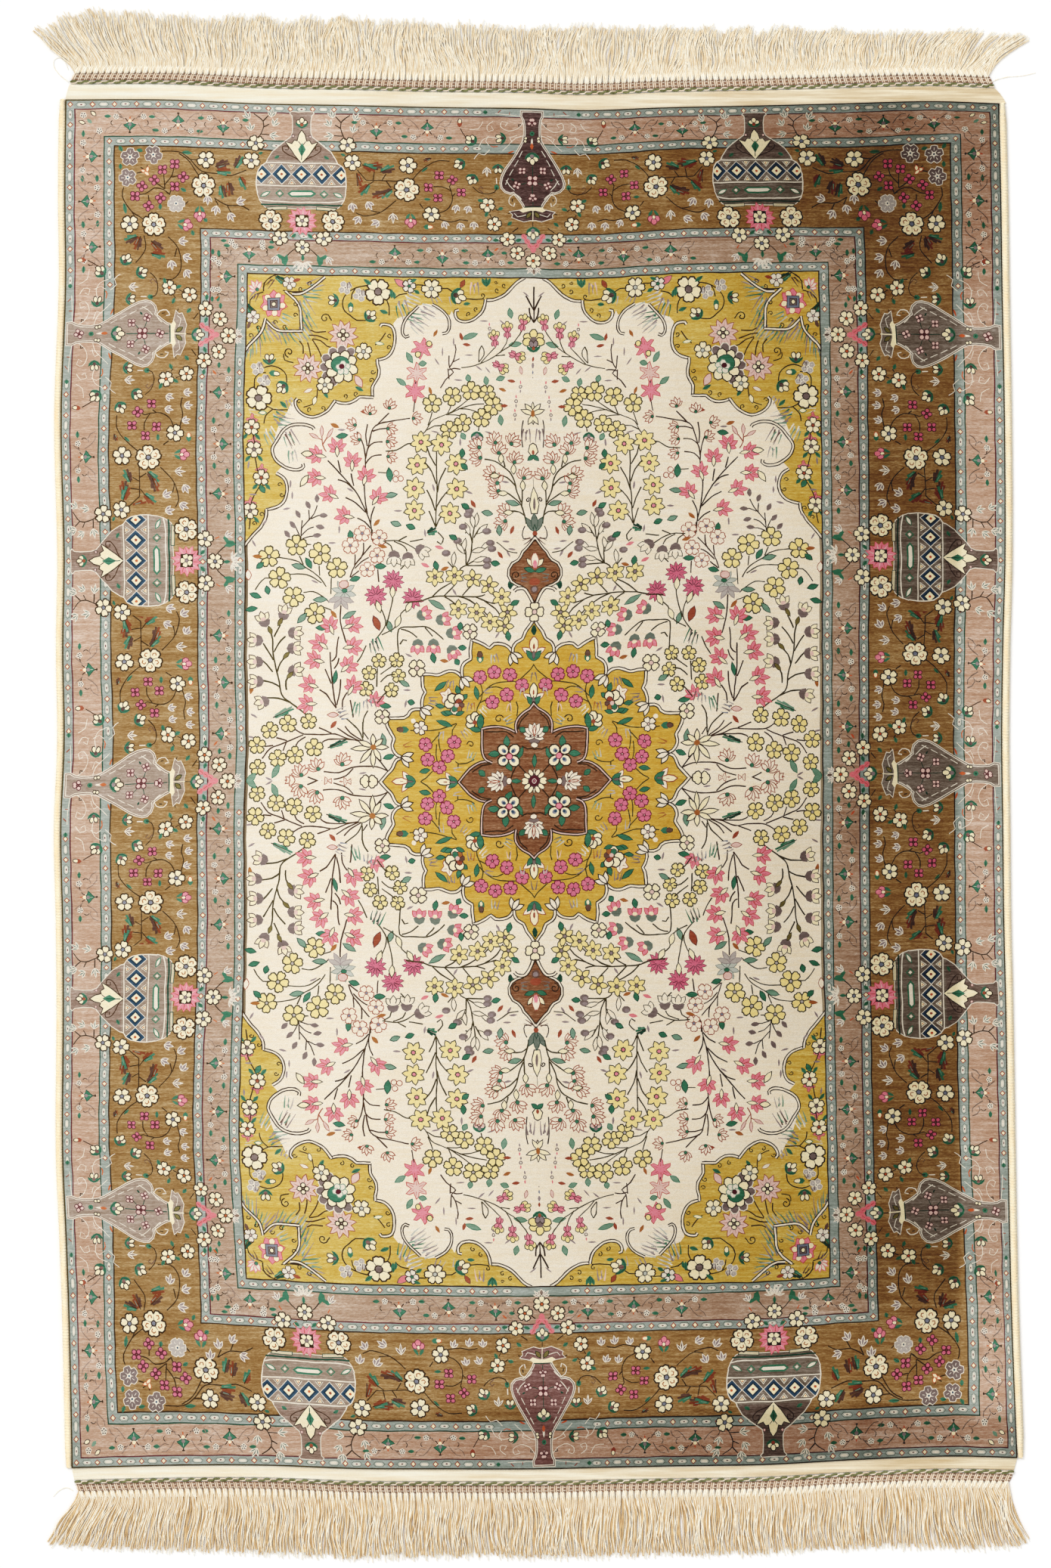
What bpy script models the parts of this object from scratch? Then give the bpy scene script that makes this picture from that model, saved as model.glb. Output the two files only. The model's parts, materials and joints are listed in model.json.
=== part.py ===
"""Persian silk rug, lying flat: a knotted pile cloth with flat-woven ends, overcast sides, and at each
end a twined row, a stitched heading and a knotted fringe.

Units are metres, +Z is up, and +Y runs along the rug. Every piece rests on the plane z = 0. The cloth is
drawn first as a true rectangle and then laid, which gives it the slightly uneven outline of a rug that was
woven by hand. The origin is the middle of the whole rug's box, at the floor.
"""

from bisect import bisect_right
from collections import namedtuple
from math import cos, pi, sin

import bmesh
import bpy
from mathutils import Vector

MM = 0.001

# The knotted pile, as a true rectangle before it is laid
HALF_WIDTH = 504 * MM
HALF_LENGTH = 728 * MM
PILE_HEIGHT = 4.0 * MM
PILE_EDGE = 1.0 * MM  # rounding of the clipped pile at its rim
SIDE_STATIONS = 34
END_STATIONS = 30

# The flat-woven ends beyond the pile
WEB_HEIGHT = 1.6 * MM
WEB_DEPTH = {"top": 16.3 * MM, "bottom": 13.7 * MM}

# The overcast sides
SELVEDGE_WIDTH = 7.2 * MM
SELVEDGE_HEIGHT = 3.6 * MM
SELVEDGE_FACETS = 8
SELVEDGE_END_WIDTH = 0.55  # share of the width that is left at each end

# Beyond the web at each end: a twined row, a stitched heading, and the strip that the fringe hangs from
ROW_GAP = 0.3 * MM
TWINE_DEPTH = 4.2 * MM
TWINE_HEIGHT = 2.4 * MM
HEADING_DEPTH = 7.6 * MM
HEADING_HEIGHT = 1.8 * MM
STRIP_DEPTH = 2.4 * MM
STRIP_HEIGHT = 1.8 * MM

# The fringe: locks of warp threads, lying level on the floor
LOCKS = 149
LOCK_SHARE = 0.80  # share of the spacing that a lock fills at its root
LOCK_TIP_WIDTH = 0.62  # a tip's width as a share of its root's
LOCK_TIP_HEIGHT = 1.2 * MM
LOCK_SECTIONS = 3
LOCK_UNEVEN = 2.2 * MM  # how far neighbouring locks differ in length
LOCK_SWAY = 1.3 * MM
SWAY_LENGTH = 260 * MM  # along the end, from one sway to the next
FULL_LEAN = 50 * MM  # at this lean all locks keep the same length, so that none meets its neighbour
CURL = 1.4  # power of the curve in which a lock leans over

Side = namedtuple("Side", "y left right")
SIDES = [  # in mm: the place along the rug, and how far each long side bows out of the rectangle
    Side(-728, -8.7, 12.7),
    Side(-584, -5.7, 7.3),
    Side(-487, -2.4, 4.9),
    Side(-390, 1.6, 3.2),
    Side(-244, 0.8, 0.8),
    Side(-147, 1.6, -1.4),
    Side(-50, 3.6, -2.4),
    Side(47, 0.0, -3.5),
    Side(144, 1.4, -2.4),
    Side(242, 0.0, 0.0),
    Side(387, 3.2, -0.6),
    Side(533, -1.6, -3.2),
    Side(630, -0.8, -4.6),
    Side(728, -1.9, -6.9),
]

End = namedtuple("End", "x top bottom")
ENDS = [  # in mm: the place across the rug, and how far each end bows out of the rectangle
    End(-504, 5.7, 2.3),
    End(-394, 5.7, -0.4),
    End(-297, 1.6, -0.4),
    End(-200, -0.2, 3.2),
    End(-103, -2.4, 3.6),
    End(-6, -3.5, 3.6),
    End(59, -5.7, 2.0),
    End(140, -2.8, 0.4),
    End(237, -0.8, -1.2),
    End(334, 1.6, -6.5),
    End(431, 4.0, -10.1),
    End(504, 1.6, -8.5),
]

DrawnIn = namedtuple("DrawnIn", "left right")
DRAWN_IN = {  # how far the corners are drawn in at the fringe's roots
    "top": DrawnIn(11 * MM, 12.5 * MM),
    "bottom": DrawnIn(8 * MM, 10.5 * MM),
}
DRAW_POWER = 1.4

Comb = namedtuple("Comb", "x top_lean top_reach bottom_lean bottom_reach")
COMBS = [  # in mm: the place across, and how far the locks there lean to the right and reach outwards
    Comb(-504, -44, 44, -32, 56),
    Comb(-475, -30, 61, -24, 60),
    Comb(-440, -17, 63, -13, 64),
    Comb(-395, -5, 60, -5, 66),
    Comb(-340, 2, 60, -2, 68),
    Comb(-250, 5, 62, 1, 71),
    Comb(-150, -2, 61, -2, 70),
    Comb(-55, -6, 60, 3, 68),
    Comb(-38, 4, 57, 3, 69),
    Comb(60, 5, 58, -1, 70),
    Comb(80, 10, 57, 0, 70),
    Comb(200, 6, 53, 3, 70),
    Comb(300, 7, 50, 2, 69),
    Comb(380, 12, 46, 5, 71),
    Comb(440, 22, 44, 11, 73),
    Comb(480, 38, 42, 19, 72),
    Comb(504, 46, 38, 22, 64),
]

# Yarn colours: linear red, green and blue, with a roughness
YARN = {
    "pile": ((0.24, 0.13, 0.055), 0.55),
    "cream_cotton": ((0.80, 0.71, 0.52), 0.75),
    "cream_silk": ((0.82, 0.72, 0.52), 0.60),
    "green_twine": ((0.22, 0.24, 0.05), 0.70),
    "brown_stitching": ((0.30, 0.15, 0.08), 0.70),
}


def read(rows, column, at):
    """Reads a table's column where its first column, in mm, is `at`, on a smooth curve through the rows."""
    keys = [row[0] for row in rows]
    values = [getattr(row, column) for row in rows]
    at = min(max(at / MM, keys[0]), keys[-1])
    i = min(bisect_right(keys, at) - 1, len(keys) - 2)

    def slope(k):
        before, after = max(k - 1, 0), min(k + 1, len(keys) - 1)
        return (values[after] - values[before]) / (keys[after] - keys[before])

    span = keys[i + 1] - keys[i]
    t = (at - keys[i]) / span
    rise = (3 - 2 * t) * t * t
    value = values[i] + (values[i + 1] - values[i]) * rise
    value += span * (slope(i) * t * (1 - t) ** 2 - slope(i + 1) * t * t * (1 - t))
    return value * MM


def blend(low, high, share):
    return low + (high - low) * share


def share_of(place, half):
    """0 at -half, 1 at +half, and no further."""
    return min(max((place / half + 1) / 2, 0), 1)


def end_depth(end):
    """From the pile to the fringe's roots."""
    return WEB_DEPTH[end] + TWINE_DEPTH + HEADING_DEPTH + STRIP_DEPTH + 3 * ROW_GAP


def lay(x, y):
    """Where a point of the true rectangle comes to lie on the floor."""
    across = share_of(x, HALF_WIDTH)
    along = share_of(y, HALF_LENGTH)
    shift_x = blend(-read(SIDES, "left", y), read(SIDES, "right", y), across)
    shift_y = blend(-read(ENDS, "bottom", x), read(ENDS, "top", x), along)
    beyond = abs(y) - HALF_LENGTH
    if beyond > 0:
        end = "top" if y > 0 else "bottom"
        drawn = DRAWN_IN[end]
        grip = (beyond / end_depth(end)) ** DRAW_POWER
        shift_x += grip * blend(drawn.left, -drawn.right, across)
    return Vector((x + shift_x, y + shift_y, 0))


def stations(low, high, count):
    return [blend(low, high, i / count) for i in range(count + 1)]


def outward(end):
    return 1 if end == "top" else -1


def add_loop(bm, points):
    return [bm.verts.new(point) for point in points]


def extrude(bm, faces):
    """Extrudes a region of faces in place. With its edges named too, no inner face is left behind."""
    edges = list({edge for face in faces for edge in face.edges})
    made = bmesh.ops.extrude_face_region(bm, geom=faces + edges)["geom"]
    return [item for item in made if isinstance(item, bmesh.types.BMFace)]


def raise_faces(bm, faces, height):
    """Extrudes a region of faces straight up and returns its lifted faces."""
    lifted = extrude(bm, faces)
    verts = list({vert for face in lifted for vert in face.verts})
    bmesh.ops.translate(bm, verts=verts, vec=(0, 0, height))
    return lifted


def finish(bm, name, yarn):
    """Turns a bmesh into a named object in its yarn, on the rug's empty."""
    bmesh.ops.recalc_face_normals(bm, faces=bm.faces)
    mesh = bpy.data.meshes.new(name)
    bm.to_mesh(mesh)
    bm.free()
    colour, roughness = YARN[yarn]
    material = bpy.data.materials.get(yarn) or bpy.data.materials.new(yarn)
    material.use_nodes = True
    shader = material.node_tree.nodes["Principled BSDF"]
    shader.inputs["Base Color"].default_value = (*colour, 1)
    shader.inputs["Roughness"].default_value = roughness
    shader.inputs["Metallic"].default_value = 0
    mesh.materials.append(material)
    piece = bpy.data.objects.new(name, mesh)
    bpy.context.scene.collection.objects.link(piece)
    return piece


def make_cloth():
    """The pile and both flat-woven ends are one cloth: three fields in one outline, the middle one thicker."""
    bm = bmesh.new()
    across = stations(-HALF_WIDTH, HALF_WIDTH, END_STATIONS)
    along = stations(-HALF_LENGTH, HALF_LENGTH, SIDE_STATIONS)
    fell = {}
    webs = []
    for end in ("bottom", "top"):
        y = outward(end) * HALF_LENGTH
        fell[end] = add_loop(bm, [lay(x, y) for x in across])
        edge_y = y + outward(end) * WEB_DEPTH[end]
        edge = add_loop(bm, [lay(x, edge_y) for x in across])
        webs.append(bm.faces.new(fell[end] + edge[::-1]))
    right = add_loop(bm, [lay(HALF_WIDTH, y) for y in along[1:-1]])
    left = add_loop(bm, [lay(-HALF_WIDTH, y) for y in along[1:-1]])
    pile = bm.faces.new(fell["bottom"] + right + fell["top"][::-1] + left[::-1])
    bmesh.ops.recalc_face_normals(bm, faces=bm.faces)
    lifted = raise_faces(bm, [pile] + webs, WEB_HEIGHT)
    pile_top = max(lifted, key=lambda face: face.calc_area())
    pile_top = raise_faces(bm, [pile_top], PILE_HEIGHT - WEB_HEIGHT)[0]
    bmesh.ops.bevel(
        bm,
        geom=list(pile_top.edges),
        offset=PILE_EDGE,
        offset_type="OFFSET",
        affect="EDGES",
        segments=1,
        profile=0.5,
        material=-1,
    )
    return finish(bm, "rug_body", "pile")


def sweep(bm, sections):
    """Extrudes a closed section from one place to the next; each section is a list of points."""
    face = bm.faces.new(add_loop(bm, sections[0]))
    for before, after in zip(sections, sections[1:]):
        face = extrude(bm, [face])[0]
        for vert in face.verts:
            corner = min(range(len(before)), key=lambda k: (before[k] - vert.co).length)
            vert.co = after[corner]


def make_selvedge(side):
    """The overcast edge: a flattened cord beside the pile and webs, slimmer where it runs out at each end."""
    sign = -1 if side == "left" else 1
    low = -HALF_LENGTH - WEB_DEPTH["bottom"]
    high = HALF_LENGTH + WEB_DEPTH["top"]
    places = [low] + stations(-HALF_LENGTH, HALF_LENGTH, SIDE_STATIONS) + [high]
    turns = [pi * (2 * k + 1) / SELVEDGE_FACETS for k in range(SELVEDGE_FACETS)]
    flat = cos(turns[0])  # the facets nearest the pile stand this share of the half-width from the middle
    sections = []
    for y in places:
        width = SELVEDGE_WIDTH * (SELVEDGE_END_WIDTH if y in (low, high) else 1)
        inner = lay(sign * (HALF_WIDTH + ROW_GAP), y)
        section = []
        for turn in turns:
            out = sign * width / 2 * (1 + cos(turn) / flat)
            up = SELVEDGE_HEIGHT / 2 * (1 + sin(turn) / flat)
            section.append(inner + Vector((out, 0, up)))
        sections.append(section)
    bm = bmesh.new()
    sweep(bm, sections)
    return finish(bm, "selvedge_" + side, "cream_silk")


def make_twined_row(end):
    """The coloured twining along the web's outer edge: a low cord from side to side."""
    inner = HALF_LENGTH + WEB_DEPTH[end] + ROW_GAP
    crown = [(0.0, 0.0), (1.0, 0.0), (1.0, 0.55), (0.72, 1.0), (0.28, 1.0), (0.0, 0.55)]  # depth, height
    sections = []
    for x in stations(-HALF_WIDTH, HALF_WIDTH, END_STATIONS):
        section = []
        for depth, height in crown:
            point = lay(x, outward(end) * (inner + depth * TWINE_DEPTH))
            section.append(point + Vector((0, 0, height * TWINE_HEIGHT)))
        sections.append(section)
    bm = bmesh.new()
    sweep(bm, sections)
    return finish(bm, "twined_row_" + end, "green_twine")


def strip_face(bm, end, inner, depth, places):
    """A flat band of faces across the rug, from `inner` outwards, with an edge at each place."""
    rows = []
    for y in (inner, inner + depth):
        rows.append(add_loop(bm, [lay(x, outward(end) * y) for x in places]))
    near, far = rows
    return [bm.faces.new((near[i], near[i + 1], far[i + 1], far[i])) for i in range(len(places) - 1)]


def make_heading(end):
    """The stitched band between the twined row and the fringe."""
    inner = HALF_LENGTH + WEB_DEPTH[end] + TWINE_DEPTH + 2 * ROW_GAP
    bm = bmesh.new()
    faces = strip_face(bm, end, inner, HEADING_DEPTH, stations(-HALF_WIDTH, HALF_WIDTH, END_STATIONS))
    bmesh.ops.recalc_face_normals(bm, faces=bm.faces)
    raise_faces(bm, faces, HEADING_HEIGHT)
    return finish(bm, "heading_" + end, "brown_stitching")


def lock_places():
    """Edges of the strip's cells across the rug: a lock, a gap, a lock, and so on."""
    spacing = 2 * HALF_WIDTH / (LOCKS - 1 + LOCK_SHARE)
    places = []
    for i in range(LOCKS):
        start = -HALF_WIDTH + i * spacing
        places += [start, start + LOCK_SHARE * spacing]
    return places


def uneven(i):
    """A fixed scatter between -1 and 1 for lock number i."""
    return sin(12.9898 * i + 4.1) * 43758.5453 % 2 - 1


def lock_line(end, i, x):
    """How far lock number i leans and reaches, as a function of the share t of its length."""
    lean = read(COMBS, end + "_lean", x)
    evenness = min(abs(lean) / FULL_LEAN, 1)
    reach = read(COMBS, end + "_reach", x) + LOCK_UNEVEN * uneven(i) * (1 - evenness)

    def offset(t):
        sway = LOCK_SWAY * cos(2 * pi * x / SWAY_LENGTH) * sin(2 * pi * t)
        return Vector((lean * t**CURL + sway, outward(end) * reach * t, 0))

    return offset


def make_fringe(end):
    """A narrow strip with the locks drawn out of its outer side."""
    inner = HALF_LENGTH + end_depth(end) - STRIP_DEPTH
    bm = bmesh.new()
    places = lock_places()
    strip = strip_face(bm, end, inner, STRIP_DEPTH, places)
    bmesh.ops.recalc_face_normals(bm, faces=bm.faces)
    raise_faces(bm, strip, STRIP_HEIGHT)
    root_y = outward(end) * (inner + STRIP_DEPTH)
    for i in range(LOCKS):
        x = (places[2 * i] + places[2 * i + 1]) / 2
        corners = [lay(place, root_y) for place in places[2 * i : 2 * i + 2]]
        root = sum(corners, Vector()) / 2
        draw_lock(bm, front_face(bm, root), root, lock_line(end, i, x))
    return finish(bm, "fringe_" + end, "cream_cotton")


def front_face(bm, root):
    """The strip's upright face whose middle lies over the lock's root."""
    wanted = root + Vector((0, 0, STRIP_HEIGHT / 2))
    return min(bm.faces, key=lambda face: (face.calc_center_median() - wanted).length_squared)


def draw_lock(bm, face, root, offset):
    """Draws a lock out of a face, section by section, keeping its underside on the floor."""
    width = max(vert.co.x for vert in face.verts) - min(vert.co.x for vert in face.verts)
    for k in range(1, LOCK_SECTIONS + 1):
        t = k / LOCK_SECTIONS
        face = bmesh.ops.extrude_discrete_faces(bm, faces=[face])["faces"][0]
        middle = face.calc_center_median()
        half = width / 2 * blend(1, LOCK_TIP_WIDTH, t)
        height = blend(STRIP_HEIGHT, LOCK_TIP_HEIGHT, t)
        target = root + offset(t)
        for vert in face.verts:
            side = 1 if vert.co.x > middle.x else -1
            level = height if vert.co.z > middle.z else 0
            vert.co = (target.x + side * half, target.y, level)


def centre_on_origin(pieces):
    """Hangs the pieces on one empty, and moves it until the whole rug's box is centred on the origin."""
    rug = bpy.data.objects.new("rug", None)
    bpy.context.scene.collection.objects.link(rug)
    corners = [vert.co for piece in pieces for vert in piece.data.vertices]
    for axis in (0, 1):
        values = [corner[axis] for corner in corners]
        rug.location[axis] = -(min(values) + max(values)) / 2
    for piece in pieces:
        piece.parent = rug
    print("rug moved by", [round(value / MM, 3) for value in rug.location], "mm")


def main():
    for old in list(bpy.data.objects):
        bpy.data.objects.remove(old, do_unlink=True)
    pieces = [make_cloth()]
    pieces += [make_selvedge(side) for side in ("left", "right")]
    for end in ("top", "bottom"):
        pieces += [make_twined_row(end), make_heading(end), make_fringe(end)]
    centre_on_origin(pieces)


main()
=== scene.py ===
# %% [markdown]
# # A silk rug, from its knots to its fringe
# This lesson dresses the rug's plain CAD solids so that they look like the real one: a silk pile with a woven
# design, two flat-woven ends, overcast sides, twined cords, stitched headings and fringes.

import json
from math import cos, hypot, pi, radians, sin

import bmesh
import bpy
import numpy as np
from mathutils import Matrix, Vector
from mathutils.bvhtree import BVHTree
from mathutils.geometry import delaunay_2d_cdt

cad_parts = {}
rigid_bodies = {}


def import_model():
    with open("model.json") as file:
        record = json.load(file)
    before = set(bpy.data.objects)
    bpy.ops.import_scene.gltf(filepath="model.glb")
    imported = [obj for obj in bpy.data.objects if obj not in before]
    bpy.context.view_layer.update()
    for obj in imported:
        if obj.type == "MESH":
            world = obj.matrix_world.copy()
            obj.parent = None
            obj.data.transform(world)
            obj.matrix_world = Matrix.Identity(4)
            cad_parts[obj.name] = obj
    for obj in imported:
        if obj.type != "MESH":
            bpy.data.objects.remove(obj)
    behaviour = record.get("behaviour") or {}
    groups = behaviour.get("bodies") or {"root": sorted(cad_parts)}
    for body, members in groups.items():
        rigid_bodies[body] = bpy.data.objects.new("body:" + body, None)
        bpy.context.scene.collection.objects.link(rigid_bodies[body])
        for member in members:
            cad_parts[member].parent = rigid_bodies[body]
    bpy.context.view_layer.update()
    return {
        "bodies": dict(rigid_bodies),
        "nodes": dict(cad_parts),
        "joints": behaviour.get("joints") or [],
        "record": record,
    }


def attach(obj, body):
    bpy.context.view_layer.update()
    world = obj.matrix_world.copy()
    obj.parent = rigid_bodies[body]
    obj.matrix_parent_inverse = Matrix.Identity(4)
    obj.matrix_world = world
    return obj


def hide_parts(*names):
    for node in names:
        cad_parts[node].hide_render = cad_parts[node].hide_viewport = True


MM = 0.001
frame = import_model()
print("CAD nodes:", sorted(frame["nodes"]))

# %% [markdown]
# ## 1. From the loom to the floor
# On the loom the rug was a true rectangle. Off the loom its sides wave a little. The tables say how far each
# side bows out, in millimetres, and `lay` carries any point of the true rectangle to its place on the floor.

# %% How the rug lies
PX = 0.809 * MM  # one pixel of the photograph on the floor
PHOTO_X, PHOTO_Y = 707, 1038.5  # the rug's middle in the photograph, in pixels
HALF_WIDTH, HALF_LENGTH = 504 * MM, 728 * MM  # the knotted pile
PILE_HEIGHT, WEB_HEIGHT = 4.0 * MM, 1.6 * MM
WEB_DEPTH = {"top": 16.3 * MM, "bottom": 13.7 * MM}  # the flat-woven ends
TWINE_DEPTH, HEADING_DEPTH, STRIP_DEPTH, ROW_GAP = 4.2 * MM, 7.6 * MM, 2.4 * MM, 0.3 * MM
SET_DOWN = (2.035 * MM, 1.206 * MM)  # centres the whole rug, fringes included, on the origin

SIDES = [  # along the rug, and how far the left and right sides bow out
    (-728, -8.7, 12.7), (-584, -5.7, 7.3), (-487, -2.4, 4.9), (-390, 1.6, 3.2), (-244, 0.8, 0.8),
    (-147, 1.6, -1.4), (-50, 3.6, -2.4), (47, 0.0, -3.5), (144, 1.4, -2.4), (242, 0.0, 0.0), (387, 3.2, -0.6),
    (533, -1.6, -3.2), (630, -0.8, -4.6), (728, -1.9, -6.9),
]
ENDS = [  # across the rug, and how far the top and bottom ends bow out
    (-504, 5.7, 2.3), (-394, 5.7, -0.4), (-297, 1.6, -0.4), (-200, -0.2, 3.2), (-103, -2.4, 3.6),
    (-6, -3.5, 3.6), (59, -5.7, 2.0), (140, -2.8, 0.4), (237, -0.8, -1.2), (334, 1.6, -6.5),
    (431, 4.0, -10.1), (504, 1.6, -8.5),
]
DRAWN_IN = {"top": (11 * MM, 12.5 * MM), "bottom": (8 * MM, 10.5 * MM)}  # the ends' corners, left and right
DRAW_POWER = 1.4

# %% Read and lay
def read(table, column, at):
    """A table's column where its first column, in mm, is `at`, on a smooth curve through the rows."""
    at = min(max(at / MM, table[0][0]), table[-1][0])
    i = 0
    while i < len(table) - 2 and table[i + 1][0] <= at:
        i += 1

    def slope(k):
        before, after = table[max(k - 1, 0)], table[min(k + 1, len(table) - 1)]
        return (after[column] - before[column]) / (after[0] - before[0])

    span = table[i + 1][0] - table[i][0]
    t = (at - table[i][0]) / span
    low, high = table[i][column], table[i + 1][column]
    value = low + (high - low) * (3 - 2 * t) * t * t
    value += span * (slope(i) * t * (1 - t) ** 2 - slope(i + 1) * t * t * (1 - t))
    return value * MM


def share_of(place, half):
    """0 at -half, 1 at +half, and no further."""
    return min(max((place / half + 1) / 2, 0), 1)


def end_depth(end):
    """From the pile to the fringe's roots."""
    return WEB_DEPTH[end] + TWINE_DEPTH + HEADING_DEPTH + STRIP_DEPTH + 3 * ROW_GAP


def lay(x, y):
    """Where a point of the true rectangle comes to lie on the floor, before the rug is set down."""
    across, along = share_of(x, HALF_WIDTH), share_of(y, HALF_LENGTH)
    shift_x = -read(SIDES, 1, y) * (1 - across) + read(SIDES, 2, y) * across
    shift_y = -read(ENDS, 2, x) * (1 - along) + read(ENDS, 1, x) * along
    beyond = abs(y) - HALF_LENGTH
    if beyond > 0:
        end = "top" if y > 0 else "bottom"
        left, right = DRAWN_IN[end]
        grip = (beyond / end_depth(end)) ** DRAW_POWER
        shift_x += grip * (left * (1 - across) - right * across)
    return x + shift_x, y + shift_y


def straighten(px, py):
    """Takes a pixel of the photograph back to the loom, in pixels too."""
    goal_x, goal_y = (px - PHOTO_X) * PX, (PHOTO_Y - py) * PX
    x, y = goal_x, goal_y
    for _ in range(3):
        at_x, at_y = lay(x, y)
        x, y = x + goal_x - at_x, y + goal_y - at_y
    return PHOTO_X + x / PX, PHOTO_Y - y / PX

# %% [markdown]
# ## 2. The weaver's chart
# A knotted rug is woven from a drawing. This one is drawn as patches of yarn, each laid over the ones before
# it, in the photograph's pixels. Only the upper left quarter is drawn: the weaver turned it over for the
# rest. A long list of places is kept as text, which `rows` and `paths` read.

# %% Drawing tools
class Chart:
    """Patches of yarn in the order in which they are drawn. A later patch covers an earlier one."""

    def __init__(self):
        self.patches = []

    def patch(self, yarn, outline):
        self.patches.append((yarn, outline))

    def copy(self, other, move):
        """Draws another chart here, with each of its points moved by a function."""
        for yarn, outline in other.patches:
            self.patch(yarn, [move(x, y) for x, y in outline])


class Spot:
    """A motif's own little frame: u points the way that the motif points, v to its side."""

    def __init__(self, chart, x, y, turn=0, size=1.0):
        self.chart, self.x, self.y, self.size = chart, x, y, size
        self.cos, self.sin = cos(radians(turn)) * size, sin(radians(turn)) * size

    def put(self, u, v):
        return (self.x + u * self.cos - v * self.sin, self.y + u * self.sin + v * self.cos)

    def patch(self, yarn, outline):
        self.chart.patch(yarn, [self.put(u, v) for u, v in outline])

    def edged(self, yarn, edge, outline, width):
        """A patch with a line of another yarn round it, as wide as given in pixels."""
        self.patch(edge, swell(outline, width / self.size))
        self.patch(yarn, outline)


def oval(u, v, long, wide=None, corners=8, turn=0.0):
    """Points of an ellipse round (u, v), its long half-axis turned from u by an angle in degrees."""
    wide = long if wide is None else wide
    c, s = cos(radians(turn)), sin(radians(turn))
    points = []
    for k in range(corners):
        a = 2 * pi * (k + 0.5) / corners
        p, q = long * cos(a), wide * sin(a)
        points.append((u + p * c - q * s, v + p * s + q * c))
    return points


def drop(u, v, long, wide, turn=0.0):
    """A leaf shape, pointed at both ends, from (u, v) onwards."""
    c, s = cos(radians(turn)), sin(radians(turn))
    shape = rows("0,0 0.25,0.72 0.55,1 0.8,0.62 1,0 0.8,-0.62 0.55,-1 0.25,-0.72")
    points = []
    for p, q in shape:
        p, q = p * long, q * wide / 2
        points.append((u + p * c - q * s, v + p * s + q * c))
    return points


def swell(outline, width):
    """The outline moved outwards all round."""
    count = len(outline)
    area = sum(outline[k - 1][0] * outline[k][1] - outline[k][0] * outline[k - 1][1] for k in range(count))
    way = 1 if area > 0 else -1
    grown = []
    for k in range(count):
        (x0, y0), (x1, y1), (x2, y2) = outline[k - 1], outline[k], outline[(k + 1) % count]
        ax, ay, bx, by = x1 - x0, y1 - y0, x2 - x1, y2 - y1
        a, b = hypot(ax, ay) or 1, hypot(bx, by) or 1
        nx, ny = ay / a + by / b, -ax / a - bx / b
        n = hypot(nx, ny) or 1
        reach = width * way * min(2 / max(n, 0.1), 1.8)
        grown.append((x1 + nx / n * reach, y1 + ny / n * reach))
    return grown


def on_curve(a, b, c, d, t):
    """A value on the soft curve from b to c, with a before them and d after them."""
    return 0.5 * (2 * b + (c - a) * t + (2 * a - 5 * b + 4 * c - d) * t * t + (3 * b - a - 3 * c + d) * t**3)


def smooth(points, step=4.0, closed=False):
    """A soft curve through the points, with a new point about every `step` pixels."""
    count = len(points)
    curve = []
    for k in range(count if closed else count - 1):
        if closed:
            p0, p1, p2, p3 = (points[(k + d) % count] for d in (-1, 0, 1, 2))
        else:
            p0, p1, p2, p3 = points[max(k - 1, 0)], points[k], points[k + 1], points[min(k + 2, count - 1)]
        pieces = max(1, round(hypot(p2[0] - p1[0], p2[1] - p1[1]) / step))
        for i in range(pieces):
            t = i / pieces
            curve.append(tuple(on_curve(*four, t) for four in zip(p0, p1, p2, p3)))
    return curve if closed else curve + [tuple(points[-1])]


def ribbon(path, width, taper=0.0):
    """The outline of a line of some width along a path; with a taper it gets thinner towards its end."""
    near, far = [], []
    for k, (x, y) in enumerate(path):
        x0, y0 = path[max(k - 1, 0)]
        x1, y1 = path[min(k + 1, len(path) - 1)]
        length = hypot(x1 - x0, y1 - y0) or 1
        half = width / 2 * (1 - taper * k / max(len(path) - 1, 1))
        nx, ny = (y1 - y0) / length * half, (x0 - x1) / length * half
        near.append((x + nx, y + ny))
        far.append((x - nx, y - ny))
    return near + far[::-1]


def square(x, y, half):
    return [(x - half, y - half), (x + half, y - half), (x + half, y + half), (x - half, y + half)]


def diamond(x, y, wide, high):
    return [(x - wide, y), (x, y - high), (x + wide, y), (x, y + high)]


def line(chart, yarn, points, width=1.3, taper=0.0, step=5.0):
    chart.patch(yarn, ribbon(smooth(points, step), width, taper))


# %% Lists of places, kept as text
def rows(text):
    """Spaces set the rows apart and commas the cells: "3,4 5,6" is [(3, 4), (5, 6)]. A cell may be a word."""
    return [tuple(c if c[0].isalpha() else json.loads(c) for c in row.split(",")) for row in text.split()]


def paths(text):
    """Several lists of places, set apart by slashes."""
    return [rows(path) for path in text.split("/")]


def mirrored(side, text, middle=0):
    """Places counted from a middle line: to its right for side 1, and to its left for side -1."""
    return [(middle + side * x, y) for x, y in rows(text)]


def sow(chart, motif, text, *rest):
    """Draws a motif once for each row: the row's cells come first, and what all of them share comes after."""
    for row in rows(text):
        motif(chart, *row, *rest)


def ring(chart, x, y, angles, yarn, edge, shape, width):
    """The same edged shape in several directions round one place."""
    for angle in angles:
        Spot(chart, x, y, angle).edged(yarn, edge, shape, width)


# %% [markdown]
# ### Motifs
# Each motif is a function that draws one flower, leaf or bud at a place on a chart. `turn` is the angle that
# it points to in degrees: 0 to the right, 90 down the chart, as y runs downwards.

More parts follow.
